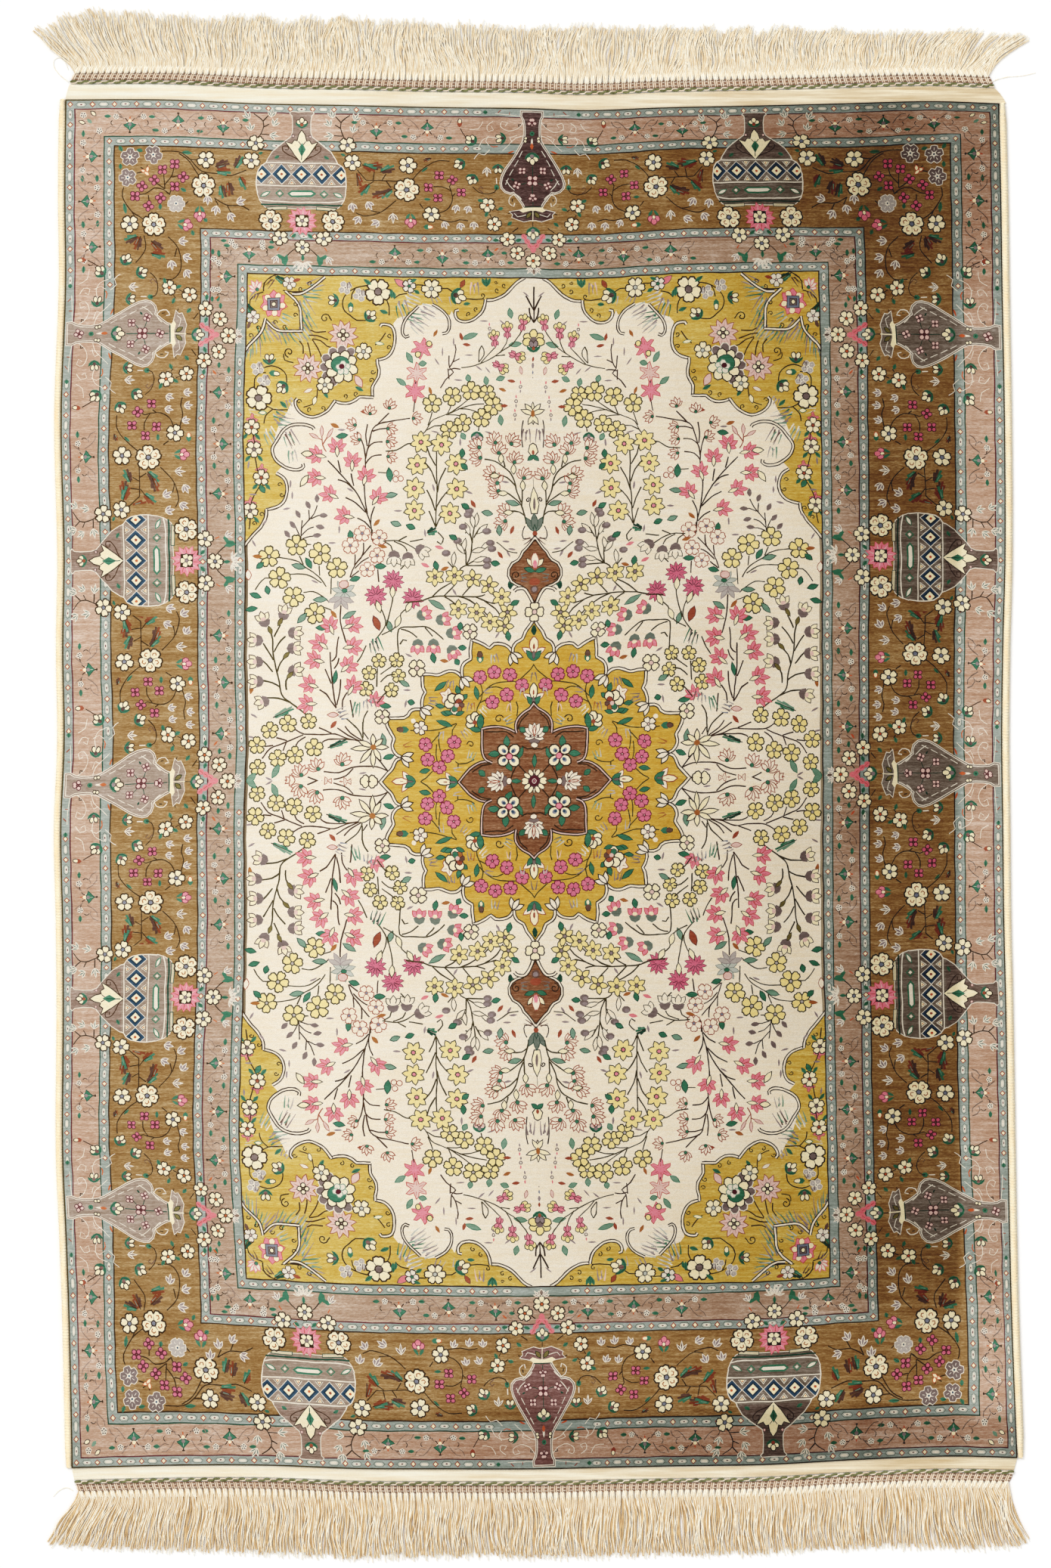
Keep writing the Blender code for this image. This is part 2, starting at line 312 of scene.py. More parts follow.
# %% Blossoms
def blossom(chart, x, y, r, petal, edge, heart, petals=5, turn=-90, line_width=1.2, heart_size=0.22, fat=1.0):
    """Rounded petals round a heart, all edged: the flower that the whole design is built of."""
    spot = Spot(chart, x, y, turn)
    wide = r * 0.61 * sin(pi / petals) * fat
    petal_shape = [(r * 0.2, -wide * 0.35), (r * 0.52, -wide), (r * 0.86, -wide), (r * 0.99, -wide * 0.45),
        (r * 0.93, 0), (r * 0.99, wide * 0.45), (r * 0.86, wide), (r * 0.52, wide), (r * 0.2, wide * 0.35)]
    for yarn, grow in ((edge, line_width * 0.9), (petal, -line_width * 0.25)):
        for k in range(petals):
            Spot(chart, x, y, turn + 360 * k / petals).patch(yarn, swell(petal_shape, grow))
    spot.patch(edge, oval(0, 0, r * heart_size + line_width * 0.8, corners=8))
    spot.patch(heart, oval(0, 0, r * heart_size, corners=6))


def curled_blossom(chart, x, y, r, petal, edge, heart, curl, turn=-90):
    """A large blossom with an ochre curl in each petal."""
    blossom(chart, x, y, r, petal, edge, heart, 5, turn, 1.6, 0.17, 1.12)
    for k in range(5):
        spot = Spot(chart, x, y, turn + 72 * k)
        arc = [(r * 0.42, -r * 0.10), (r * 0.60, -r * 0.17), (r * 0.74, 0), (r * 0.62, r * 0.16)]
        spot.patch(curl, ribbon(arc, r * 0.085))


def sprig(chart, x, y, r, petal, edge, turn=45):
    """Four round petals, each edged, with no heart."""
    for k in range(4):
        spot = Spot(chart, x, y, turn + 90 * k)
        spot.patch(edge, oval(r * 0.52, 0, r * 0.50, r * 0.46, 8))
    for k in range(4):
        spot = Spot(chart, x, y, turn + 90 * k)
        spot.patch(petal, oval(r * 0.56, 0, r * 0.32, r * 0.31, 6))


def framed_blossom(chart, x, y, r, petal, frame, heart, petals=5, turn=-90):
    """Broad petals framed in a pale yarn, with a round pale heart."""
    for k in range(petals):
        spot = Spot(chart, x, y, turn + 360 * k / petals)
        spot.patch(frame, [(r * 0.1, -r * 0.12), (r * 0.55, -r * 0.52), (r * 1.02, -r * 0.36), (r * 1.08, 0),
                           (r * 1.02, r * 0.36), (r * 0.55, r * 0.52), (r * 0.1, r * 0.12)])
    for k in range(petals):
        spot = Spot(chart, x, y, turn + 360 * k / petals)
        spot.patch(petal, [(r * 0.24, -r * 0.10), (r * 0.55, -r * 0.42), (r * 0.95, -r * 0.30), (r * 1.0, 0),
                           (r * 0.95, r * 0.30), (r * 0.55, r * 0.42), (r * 0.24, r * 0.10)])
        spot.patch(frame, ribbon([(r * 0.45, 0), (r * 0.75, 0)], r * 0.07))
    spot = Spot(chart, x, y)
    spot.patch(frame, oval(0, 0, r * 0.26, corners=8))
    spot.patch(heart, oval(0, 0, r * 0.12, corners=5))


def star(chart, x, y, r, petal, edge, heart, petals=5, turn=-90, line_width=1.0):
    """Pointed petals."""
    shape = [(r * 0.12, 0), (r * 0.45, r * 0.26), (r * 0.78, r * 0.2), (r, 0), (r * 0.78, -r * 0.2),
             (r * 0.45, -r * 0.26)]
    for k in range(petals):
        Spot(chart, x, y, turn + 360 * k / petals).patch(edge, swell(shape, line_width))
    for k in range(petals):
        Spot(chart, x, y, turn + 360 * k / petals).patch(petal, shape)
    spot = Spot(chart, x, y)
    spot.patch(edge, oval(0, 0, r * 0.26, corners=7))
    spot.patch(heart, oval(0, 0, r * 0.17, corners=6))


def rosette(chart, x, y, r=4.4):
    """A small pale ring of dots."""
    spot = Spot(chart, x, y, 18)
    scallops = []
    for k in range(10):
        a = 2 * pi * k / 10
        reach = r if k % 2 == 0 else r * 0.86
        scallops.append((reach * cos(a), reach * sin(a)))
    spot.patch("white", scallops)
    for k in range(5):
        dot = Spot(chart, x, y, 18 + 72 * k)
        dot.patch("plum_grey", oval(r * 0.55, 0, r * 0.22, r * 0.22, 5))
    spot.patch("dark_brown", oval(0, 0, r * 0.16, corners=4))


# %% Leaves, buds and cups
def leaf(chart, x, y, turn, long=9.0, wide=4.4, yarn="teal", vein=None, edge=None):
    spot = Spot(chart, x, y, turn)
    shape = drop(-long / 2, 0, long, wide)
    if edge:
        spot.patch(edge, swell(shape, 0.9))
    spot.patch(yarn, shape)
    if vein:
        spot.patch(vein, ribbon([(-long * 0.4, 0), (long * 0.35, 0)], 0.9, 0.6))


def toothed_leaf(chart, x, y, turn, long, wide, yarn, side=1):
    """Half a feathery leaf: smooth along its rib and toothed along its edge."""
    teeth = 3
    outline = [(-long / 2, 0)]
    for k in range(teeth):
        t = (k + 0.2) / teeth
        breadth = sin(pi * min(t + 0.12, 1)) ** 0.6
        outline.append((-long / 2 + long * t, side * wide * breadth * 0.82))
        outline.append((-long / 2 + long * (k + 1.15) / teeth * 0.97, side * wide * breadth))
    outline.append((long / 2, side * wide * 0.1))
    Spot(chart, x, y, turn).patch(yarn, outline)


# %% Feathery leaves
DARKER = {"rust": "russet", "brown_lilac": "dusk"}


def feather_pair(chart, x, y, turn, long=15.0, wide=5.5, one="teal", other="rust"):
    """Two half leaves back to back, with a dark rib between them and a pale stroke along one."""
    toothed_leaf(chart, x, y, turn, long, wide, DARKER.get(one, one), 1)
    toothed_leaf(chart, x, y, turn, long * 0.94, wide * 0.9, DARKER.get(other, other), -1)
    spot = Spot(chart, x, y, turn)
    spot.patch("dark_brown", ribbon([(-long * 0.55, 0), (0, 0.4), (long * 0.42, 0)], 1.3, 0.7))
    spot.patch("pale_teal", ribbon([(-long * 0.3, wide * 0.35), (long * 0.1, wide * 0.45)], 1.2, 0.5))


def wisp(chart, x, y, turn, long=11.0, wide=7.0, yarn="lilac", frame="white"):
    """A pale bud: three soft blades in a thin pale frame."""
    for spread in (34, -34, 0):
        blade = Spot(chart, x, y, turn)
        shape = drop(-long / 2, 0, long * (1.0 if spread == 0 else 0.8), wide * 0.5, spread)
        blade.patch(frame, swell(shape, 0.35))
        blade.patch(yarn, swell(shape, -0.75))


def hook(chart, x, y, turn, long=7.5, bend=2.3, yarn="dark_brown"):
    spot = Spot(chart, x, y, turn)
    spot.patch(yarn, ribbon([(-long / 2, bend * 0.5), (-long * 0.15, -bend * 0.4), (long * 0.2, -bend * 0.3),
                             (long / 2, bend * 0.6)], 1.2, 0.3))


def cup(chart, x, y, turn, size=1.0, petals=2, petal="cream", core="plum"):
    """A teal cup with pale petals standing in it; it points the way that the petals do."""
    spot = Spot(chart, x, y, turn, size)
    if petals == 2:
        for v in (-2.7, 2.7):
            spot.edged(petal, "dark_brown", oval(4.4, v, 3.6, 2.3, 7, 6 * v), 1.1)
    else:
        for v in (-4.0, 4.0):
            spot.edged(petal, "dark_brown", oval(3.2, v, 3.2, 2.5, 7, 7 * v), 1.1)
        spot.edged(petal, "dark_brown", oval(6.4, 0, 3.8, 2.6, 7), 1.1)
    bowl = rows("""-5.4,0 -4.0,4.2 -1.0,7.4 3.0,8.6 1.0,5.0 0.4,2.2 0.2,-2.2 1.0,-5.0 3.0,-8.6 -1.0,-7.4
        -4.0,-4.2""")
    spot.patch("teal", bowl)
    spot.patch("deep_teal", ribbon(rows("-4.6,0 -1.8,4.4 2.0,7.4"), 0.8))
    spot.patch("deep_teal", ribbon(rows("-4.6,0 -1.8,-4.4 2.0,-7.4"), 0.8))
    spot.patch(core, oval(-0.6, 0, 2.3, 2.4, 7))


def tulip(chart, x, y, turn, size=1.0, petal="pink", edge="crimson"):
    """Two long teal leaves, a pale heart and three pink petals."""
    spot = Spot(chart, x, y, turn, size)
    for v in (-1, 1):
        spot.patch("teal", drop(-8.5, v * 0.8, 12, 4.0, 28 * v))
        spot.edged(petal, edge, oval(3.6, v * 4.2, 3.8, 3.0, 7, 14 * v), 0.9)
    spot.edged(petal, edge, oval(7.6, 0, 3.9, 3.3, 7), 0.9)
    spot.edged("cream", edge, oval(1.6, 0, 2.5, 1.9, 7), 0.7)


def bud(chart, x, y, turn, size=1.0, yarn="cream", edge="brown", calyx="teal"):
    """A small closed bud on a coloured calyx."""
    spot = Spot(chart, x, y, turn, size)
    spot.edged(yarn, edge, oval(3.2, 0, 3.2, 1.9, 7), 0.9)
    spot.patch(calyx, rows("-3.6,0 -1.4,2.4 2.2,2.9 0.9,0 2.2,-2.9 -1.4,-2.4"))


def palmette(chart, x, y, turn):
    """The guard's palmette: a teal head with a lilac eye, pale petals behind it, and a foot before it."""
    spot = Spot(chart, x, y, turn)
    for v in (-1, 1):
        spot.patch("brown", ribbon([(-9.5, 6.5 * v), (-8.0, 4.5 * v), (-5.0, 3.0 * v)], 1.2))
        spot.patch("white", oval(-3.6, 3.1 * v, 1.6, 1.6, 6))
    spot.edged("cream", "orange", oval(-6.0, 0, 2.7, 2.6, 7), 0.5)
    spot.patch("orange", drop(-12.5, 0, 4.0, 2.0))
    head = rows("""7.2,0 4.2,2.4 1.4,6.0 -0.6,7.8 -1.4,5.0 -3.2,2.6 -3.2,-2.6 -1.4,-5.0 -0.6,-7.8 1.4,-6.0
        4.2,-2.4""")
    spot.edged("teal", "deep_teal", head, 0.7)
    spot.patch("lilac", oval(-1.2, 0, 2.4, 2.6, 7))
    spot.patch("white", ribbon([(1.4, 0), (5.0, 0)], 0.7))
    spot.patch("dark_brown", ribbon([(7.6, 0), (10.4, 0)], 1.3))
    spot.patch("dark_brown", oval(10.6, 0, 1.1, 2.0, 6))


# %% Guard stripes
def lozenge(chart, x, y, size=4.0):
    spot = Spot(chart, x, y)
    spot.patch("rust", diamond(0, 0, size, size))
    small = size - 1.5
    spot.patch("cream", diamond(0, 0, small, small))


def seed(chart, x, y, turn, eye=True, dark="grey_green"):
    """A pale pointed oval with a dark eye, ringed in grey green."""
    spot = Spot(chart, x, y, turn)
    rim = rows("-7.4,0 -4.4,-3.3 4.4,-3.3 7.4,0 4.4,3.3 -4.4,3.3")
    spot.patch(dark, rim)
    spot.patch("pale_grey", rows("-6.3,0 -4.0,-2.5 4.0,-2.5 6.3,0 4.0,2.5 -4.0,2.5"))
    spot.patch("white", oval(0, 0, 4.6, 1.7, 8))
    if eye:
        spot.patch("dark_red", oval(0, 0, 1.7, 0.8, 5))

# %% Yarns
# The colours that the weaver dyed, as red, green and blue from 0 to 255.
YARNS = {name: dye for name, *dye in rows("""dark_olive,92,78,32 dark_brown,78,52,18 brown,92,58,24
    maroon,116,44,58 dark_red,122,58,62 crimson,150,44,74 deep_teal,42,92,70 dark_green,48,66,30
    teal,86,146,116 pale_teal,150,178,156 grey_green,142,150,136 olive,150,136,82 blue_grey,184,190,181
    pale_grey,214,214,204 white,243,236,222 ivory,249,240,223 cream,250,241,214 pale_cream,228,218,192
    pale_yellow,248,234,182 gold,224,198,114 ochre,192,132,74 orange,214,128,78 rust,182,104,74
    brown_lilac,136,104,88 brown_gold,180,146,96 dusty_pink,212,184,162 inner_pink,203,178,156
    mauve,172,148,132 vase_mauve,182,164,147 vase_lilac,188,170,154 plum,116,88,82 plum_grey,112,94,86
    lilac,176,160,158 lilac_grey,154,136,130 pale_lilac,208,200,192 blue_lilac,160,162,172
    navy,66,98,122 dark_navy,50,74,92 pink,238,168,178 pale_pink,238,214,204 coral_pink,234,158,162
    coral,212,110,100 magenta,226,140,160 rose,230,150,170 russet,156,84,50 dusk,112,78,64
    medallion_brown,164,117,82 star_gold,224,192,98""")}

# %% [markdown]
# ### The borders
# Each border runs inwards from the pile's edge: a grey-blue stripe, a pink band, another stripe, the broad
# brown border with its vases, and then the stripes and band once more. `w` is the distance in from the edge
# and `s` the distance along it. The weaver squeezed the top border a little, so it is scaled to fit there.

# %% The ground of the borders
LEFT, TOP = 84.0, 138.5  # the pile's edges on the loom, in pixels
AXIS_X, AXIS_Y = 707.0, 1030.5  # the two lines about which the design is turned over
TOP_SHARE = 0.93
OVERRUN = 20  # how far the grounds are drawn past those two lines, before the quarter is trimmed

# how far in from the edge each ground starts
BORDER_GROUND = rows("""0.0,dark_olive 1.8,blue_grey 12.6,dark_red 14.2,dusty_pink 52.0,deep_teal
    53.6,blue_grey 65.4,dark_brown 67.2,brown_gold 180.0,dark_brown 181.8,blue_grey 192.6,dark_red
    194.2,inner_pink 229.0,deep_teal 230.6,blue_grey 241.4,dark_brown""")
FIELD_START = 243.2
STRIPES = [7.0, 59.5, 187.2, 236.0]


def draw_border_ground(chart):
    """Each ground is an L that runs down the left side and along the top."""
    ends = [w for w, _ in BORDER_GROUND[1:]] + [FIELD_START]
    for (start, yarn), end in zip(BORDER_GROUND, ends):
        outer, inner = (LEFT + start, TOP + start * TOP_SHARE), (LEFT + end, TOP + end * TOP_SHARE)
        far = (AXIS_X + OVERRUN, AXIS_Y + OVERRUN)
        along_top = [outer, (far[0], outer[1]), (far[0], inner[1]), inner]
        chart.patch(yarn, along_top + [(inner[0], far[1]), (outer[0], far[1])])


def on_top(axis, scale=1.0, side=-1):
    """Moves a strip's (s, w) to the top border, with s counted from `axis` to one side."""
    return lambda s, w: (axis + side * s * scale, TOP + w * TOP_SHARE)


def on_left(axis, scale=1.0, side=1):
    return lambda s, w: (LEFT + w, axis + side * s * scale)


# Where the vases stand, on the loom
PLUM_TOP, BIG_TOP = AXIS_X, 399.6
LILAC_LEFT, BIG_LEFT, LILAC_MIDDLE = 446.9, 744.8, AXIS_Y
SPAN = 300.0  # from a slender vase to a broad one, as the strips are drawn


def draw_stripes(chart):
    """Lozenges and seeds in turn along each stripe, from a lozenge in the corner."""
    for number, w in enumerate(STRIPES):
        eye = number != 0
        room = 62 if number < 2 else 30  # kept clear for a slender vase, more of it beside the neck
        x, y = LEFT + w, TOP + w * TOP_SHARE
        for along, length, step in (("top", AXIS_X - x, 14.7), ("left", AXIS_Y - y, 13.6)):
            count = round(length / step)
            for k in range(count + 1):
                d = length * k / count
                if along == "top":
                    px, py, turn = x + d, y, 0
                    clear = abs(px - PLUM_TOP) > room
                else:
                    px, py, turn = x, y + d, 90
                    clear = min(abs(py - LILAC_LEFT), abs(py - LILAC_MIDDLE)) > room
                if not clear or (k == 0 and along == "left"):
                    continue
                if k % 2 == 0:
                    lozenge(chart, px, py, 4.1)
                else:
                    seed(chart, px, py, turn, eye or k % 4 == 1)


# %% The pink bands
def guard_unit(chart, s, low, width, inward):
    """One palmette of a pink band with a rosette, a leaf and a hook on either side of it."""
    palmette(chart, s, low + width * (0.58 if inward else 0.42), 90 if inward else -90)
    w = low + width * (0.28 if inward else 0.76)
    for side in (-1, 1):
        line(chart, "brown", [(s + side * 9, w + (1 if inward else -1)), (s + side * 15, w)], 1.2)
        rosette(chart, s + side * 18, w)
        leaf(chart, s + side * 29.5, w, 0, 9.5, 5.0, "teal", "deep_teal")
        hook(chart, s + side * 24, w + (9 if inward else -9), 90, 7, 2.0 * side)


OUTER_BAND = (13.5, 39.5)
INNER_BAND = (194.0, 36.0)
OUTER_TOP = [(170.5, True), (234.5, False), (295.0, True), (499.0, True), (566.5, False)]
OUTER_LEFT = [(213.5, True), (272.5, False), (333.0, True), (608.5, True), (885.0, True)]
INNER_TOP = [(329.0, True), (522.5, False), (586.0, True), (646.5, False)]
INNER_LEFT = [(369.0, True), (522.0, False), (589.5, True), (655.5, False), (842.0, False), (903.0, True),
              (969.0, False)]


# beside a palmette: along the band in pixels, and across it as a share of its width
SCROLLS = paths("8,0.36 13,0.2 17,0.09 / 11,0.52 16,0.72 22,0.86 28,0.88 / 33,0.88 30,0.72 24,0.62 19,0.66")


def draw_bands(chart):
    """The palmettes along both pink bands, by their places on the loom."""
    for places, band, move in (
        (OUTER_TOP, OUTER_BAND, on_top(0, 1, 1)),
        (INNER_TOP, INNER_BAND, on_top(0, 1, 1)),
        (OUTER_LEFT, OUTER_BAND, on_left(0)),
        (INNER_LEFT, INNER_BAND, on_left(0)),
    ):
        strip = Chart()
        for s, inward in places:
            guard_unit(strip, s, band[0], band[1], inward)
            low, way = (band[0], 1) if inward else (band[0] + band[1], -1)
            for side in (-1, 1):  # thin scrolls in the ground
                for scroll in SCROLLS:
                    line(strip, "mauve", [(s + side * ds, low + way * dw * band[1]) for ds, dw in scroll],
                        1.0, 0, 8)
        chart.copy(strip, move)


# %% The slender vase
def both_ways(half):
    """A whole outline from its half, given as (w, half-width) pairs."""
    return [(h, w) for w, h in half] + [(-h, w) for w, h in reversed(half)]


SLENDER_HALF = rows("""6,13 11,13.5 17,10.5 26,9.2 38,9 48,10.5 57,15 67,21 79,28 90,34.5 100,39.5 108,41.5
    114,40.5 119,36 121,30 120,25 125,21 131,16.5 137,12.5 142,10.5""")
SLENDER_FOOT = rows("144,5 147,19 149,30 153,26 157,27 160,20 163,12 161,4")


def slender_vase(chart, ground):
    shape = both_ways(SLENDER_HALF)
    foot = both_ways(SLENDER_FOOT)
    for yarn, width in (("white", 3.0), ("mauve", 1.9), ("white", 0.9), (ground, -0.2)):
        chart.patch(yarn, swell(shape, width))
    for yarn, width in (("white", 1.0), (ground, 0.0)):
        chart.patch(yarn, swell(foot, width))
    for side in (-1, 1):
        for k in range(4):  # pale strokes down the shoulders
            w = 62 + 13 * k
            line(chart, "white", [(side * (13 + 6.2 * k), w), (side * (18 + 6.0 * k), w + 9)], 0.9)
        line(chart, "white", mirrored(side, "24,118 30,112 35,104"), 1.0)
        # the handles, low on the body
        line(chart, "white", mirrored(side, "15,131 22,124 30,127 31.5,136 25,141 24,136"), 1.3)
        line(chart, "dark_brown", mirrored(side, "27,130 27.5,134"), 1.3)
        for w, v in ((44, 8.6), (48, 9.2)):
            chart.patch("dark_brown", oval(side * v, w, 3.0, 3.0, 6))
            chart.patch("cream", oval(side * v, w, 1.9, 1.9, 6))
    # the foot's pale collar and the two olive leaves below it
    collar = rows("-11,141.5 11,141.5 17.5,147 13,150 3.5,147.5 -3.5,147.5 -13,150 -17.5,147")
    chart.patch("cream", collar)
    chart.patch("deep_teal", ribbon([(-11.5, 142), (11.5, 142)], 1.4))
    line(chart, "cream", [(0, 147), (0, 163)], 1.2)
    for side in (-1, 1):
        olive = drop(side * 2.5, 150, 9.5, 4.6, 90 - side * 38)
        chart.patch("dark_green", swell(olive, 0.9))
        chart.patch("olive", olive)
        line(chart, "white", mirrored(side, "9,153 20,156 24,151"), 0.9)
    # what is painted on it
    line(chart, "deep_teal", [(0, 84), (0, 140)], 1.1)
    for side in (-1, 1):
        line(chart, "deep_teal", mirrored(side, "0,105 11,96 14,92"), 1.0)
        line(chart, "deep_teal", mirrored(side, "0,105 13,110 19,111"), 1.0)
        sprig(chart, side * 14, 90.5, 6.2, "pale_pink", "dark_red", 45)
        sprig(chart, side * 20.5, 111, 6.2, "pale_pink", "dark_red", 20)
        leaf(chart, side * 26, 103, 60 * side + 90, 5.5, 2.6, "deep_teal")
    sprig(chart, 0, 105, 9.0, "pale_pink", "dark_red", 45)
    sprig(chart, 0, 129, 6.4, "pale_pink", "dark_red", 20)
    sprig(chart, 0, 21, 7.0, "pale_pink", "dark_red", 20)
    chart.patch("teal", oval(0, 37, 3.4, 3.6, 7))
    chart.patch("deep_teal", oval(0, 37, 1.4, 1.4, 5))
    chart.patch("white", drop(0, 43, 15, 3.2, 90))
    chart.patch("orange", drop(0, 50, 10, 4.4, 90))
    cup(chart, 0, 70, 90, 1.18, 3, "cream", "lilac")


def draw_by_slender_vase(chart):
    """What grows beside a slender vase, on the side of rising s."""
    for s, w, turn in rows("60,139.5,10 52,166,40 34,188,0 21.5,207.5,30"):
        blossom(chart, s, w, 9.8, "cream", "dark_brown", "orange", 5, turn, 1.25, 0.17)
    sow(chart, leaf, "43,145,200 62,152,60 31,166,220 69,133,-20 49,189,0 20,189,20 39,208,0", 8.5, 5.0,
        "teal", "deep_teal")
    for path in paths("20,172 28,178 / 33,152 26,150 / 50,145 46,148 / 8,200 14,205 / 54,160 58,152"):
        line(chart, "dark_brown", path, 1.3)
    chart.patch("orange", drop(46, 200, 8, 2.6, 40))
    cup(chart, 45.5, 86.5, 90, 0.98, 2)
    chart.patch("teal", oval(48.5, 114, 3.6, 4.2, 6))
    chart.patch("deep_teal", oval(48.5, 115, 1.5, 1.8, 5))
    line(chart, "white", [(48.5, 101), (48.5, 109)], 1.4)
    wisp(chart, 61, 92, 90, 13, 5.5, "brown_lilac")
    cup(chart, 79, 100, 62, 1.05, 3)
    cup(chart, 95, 80, 28, 1.05, 3)
    line(chart, "dark_brown", rows("80,113 72,121 60,124 51,121 48,116"), 1.3)
    line(chart, "brown_lilac", rows("66,116 69,113 72,117 66,122"), 1.2)
    cup(chart, 40, 44, 2, 1.0, 2)
    cup(chart, 80, 49, -42, 1.08, 3)
    line(chart, "brown", rows("88,44 93,36 96,30"), 1.2)
    bud(chart, 97, 24, -95, 1.15, "cream", "brown", "rust")
    leaf(chart, 63, 7, 0, 6.5, 6.0, "teal", "deep_teal")
    line(chart, "dark_brown", rows("15,24 19,24 18,28"), 1.5)
    chart.patch("orange", drop(24, 62, 10, 2.6, 20))
    line(chart, "orange", rows("46,55 52,56 56,54"), 1.4)
    # pale scrolls about the neck
    for path in paths("""12,20 20,30 32,34 42,28 40,20 33,22 36,27 / 11,40 22,44 32,54 40,62 / 52,20 60,26
            58,34 51,32 54,27 / 46,44 56,42 66,46 72,58 / 57,60 64,68 72,66 78,74 / 66,20 72,30 84,32 /
            20,40 30,44 27,50 / 13,12 30,10 50,9 / 58,40 62,48 58,54"""):
        line(chart, "white", path, 0.95)
    for path in paths("30,6 30,10 / 42,4 46,8"):
        line(chart, "rust", path, 1.1)


def draw_on_slender_axis(chart):
    """The spray under a slender vase's foot, which lies across the axis itself."""
    for side in (-1, 1):
        for k in range(3):
            chart.patch("coral_pink", oval(side * (12.5 - 4.2 * k), 184 + 6.4 * k, 4.6, 3.8, 7, side * -35))
            stroke = [(14 - 4.2 * k, 182 + 6.4 * k), (10 - 4.2 * k, 187 + 6.4 * k)]
            line(chart, "coral", [(side * s, w) for s, w in stroke], 0.8)
    chart.patch("coral_pink", oval(0, 202, 5.4, 4.0, 7, 90))
    line(chart, "dark_brown", [(0, 163), (0, 170)], 1.2)
    cup(chart, 0, 176, 90, 1.15, 3, "cream", "lilac")
    blossom(chart, 0, 219, 10.5, "cream", "dark_brown", "orange", 6, 30, 1.25, 0.17)
    for side in (-1, 1):
        wisp(chart, side * 6, 233, 90 + side * -40, 10, 5)
    leaf(chart, 0, 234, 90, 8, 4, "mauve", None, "white")


# %% The broad vase
BROAD_HALF = rows("""11,14 13,15.5 16,12.5 26,11.6 40,11.8 47,14 55,24 68,38.5 80,46 84,48 88,54 94,57.5
    104,59.5 116,60 128,58.5 138,55 146,49 148,44""")


def navy_lozenge(chart, s, w, size, eye):
    spot = Spot(chart, s, w)
    for yarn, reach in (
        ("white", size + 1.3), ("navy", size), ("dark_navy", size * 0.74), ("cream", size * 0.52)
    ):
        spot.patch(yarn, diamond(0, 0, reach * 0.95, reach))
    spot.patch(eye, oval(0, 0, size * 0.15, corners=5))


def broad_vase(chart):
    shape = both_ways(BROAD_HALF)
    chart.patch("white", swell(shape, 1.1))
    chart.patch("vase_mauve", shape)
    chart.patch("mauve", both_ways([(w, h - 0.8) for w, h in BROAD_HALF if 10 < w < 83]))
    # the collar and shoulders
    cup(chart, 0, 29, -90, 1.0, 3, "cream", "rust")
    for side in (-1, 1):
        chart.patch("plum", oval(side * 11.5, 46, 2.6, 2.6, 6))
        chart.patch("pale_pink", oval(side * 11.5, 46, 1.6, 1.6, 6))
        scroll = mirrored(side, "0,82 9,76 18,72 25,66 25,60 19,60 18,65 22,65")
        line(chart, "brown", scroll, 1.4, 0.0, 3)
        leaf(chart, side * 33, 76, 90 - side * 60, 8.5, 4.6, "teal", "deep_teal")
    lotus = rows("""0,83 -9,72 -19,57 -21,54 -13,57 -10,52 -6,53 -4,44 0,38 4,44 6,53 10,52 13,57 21,54
        19,57 9,72""")
    chart.patch("dark_brown", swell(lotus, 1.2))
    chart.patch("cream", lotus)
    for side in (-1, 1):
        line(chart, "brown", mirrored(side, "0,60 5,53"), 0.9)
    chart.patch("teal", rows("0,74 -5,64 0,55 5,64"))
    line(chart, "deep_teal", [(0, 60), (0, 79)], 1.0)
    # the band of navy lozenges
    chart.patch("white", rows("-48,83 48,83 49,84.6 -49,84.6"))
    chart.patch("white", rows("-60,115.4 60,115.4 60,117 -60,117"))
    for k in range(-2, 3):
        eye = "rust" if k % 2 else "orange"
        navy_lozenge(chart, k * 26.6, 100, 13.2, eye)
    for k in range(4):
        s = (k - 1.5) * 26.6
        for way in (-1, 1):
            w = 100 + way * 12.6
            for yarn, size in rows("white,5.4 brown,4.1 cream,3.2"):
                base, tip = w + way * 0.8, w - way * size * 1.25
                chart.patch(yarn, [(s - size, base), (s + size, base), (s, tip)])
            chart.patch("orange", oval(s, w - way * 1.2, 0.9, 0.9, 5))
    for side in (-1, 1):  # the ground outside the vase is drawn back over the outermost lozenges
        flank = [(side * h, w) for w, h in BROAD_HALF if 80 <= w <= 132]
        outside = [(s + side * 14, w) for s, w in reversed(flank)]
        chart.patch("brown_gold", flank + outside)
        chart.patch("white", ribbon(flank, 1.5))
    # the plain band and the rounded foot
    for yarn, grow in rows("teal,2.2 white,0.0"):
        chart.patch(yarn, swell(rows("-16,127 -13,124.6 13,124.6 16,127 13,129.4 -13,129.4"), grow))
    for side in (-1, 1):
        for yarn, size in rows("teal,6.0 vase_mauve,4.0 white,2.4"):
            chart.patch(yarn, diamond(side * 29.5, 127.5, size, size))
        pointed = drop(side * 43, 126, 12, 4.0, 90 - side * 62)
        chart.patch("teal", swell(pointed, 1.2))
        chart.patch("white", pointed)
    line(chart, "white", rows("-57,136 -40,139 0,139 40,139 57,136"), 1.6)
    line(chart, "deep_teal", rows("-54,143 -38,143.6 0,143 38,143.6 54,143"), 2.2)
    for side in (-1, 1):
        toe = mirrored(side, "20,146.5 46,147.5 44,151 20,150")
        chart.patch("deep_teal", swell(toe, 0.9))
        chart.patch("pale_cream", toe)


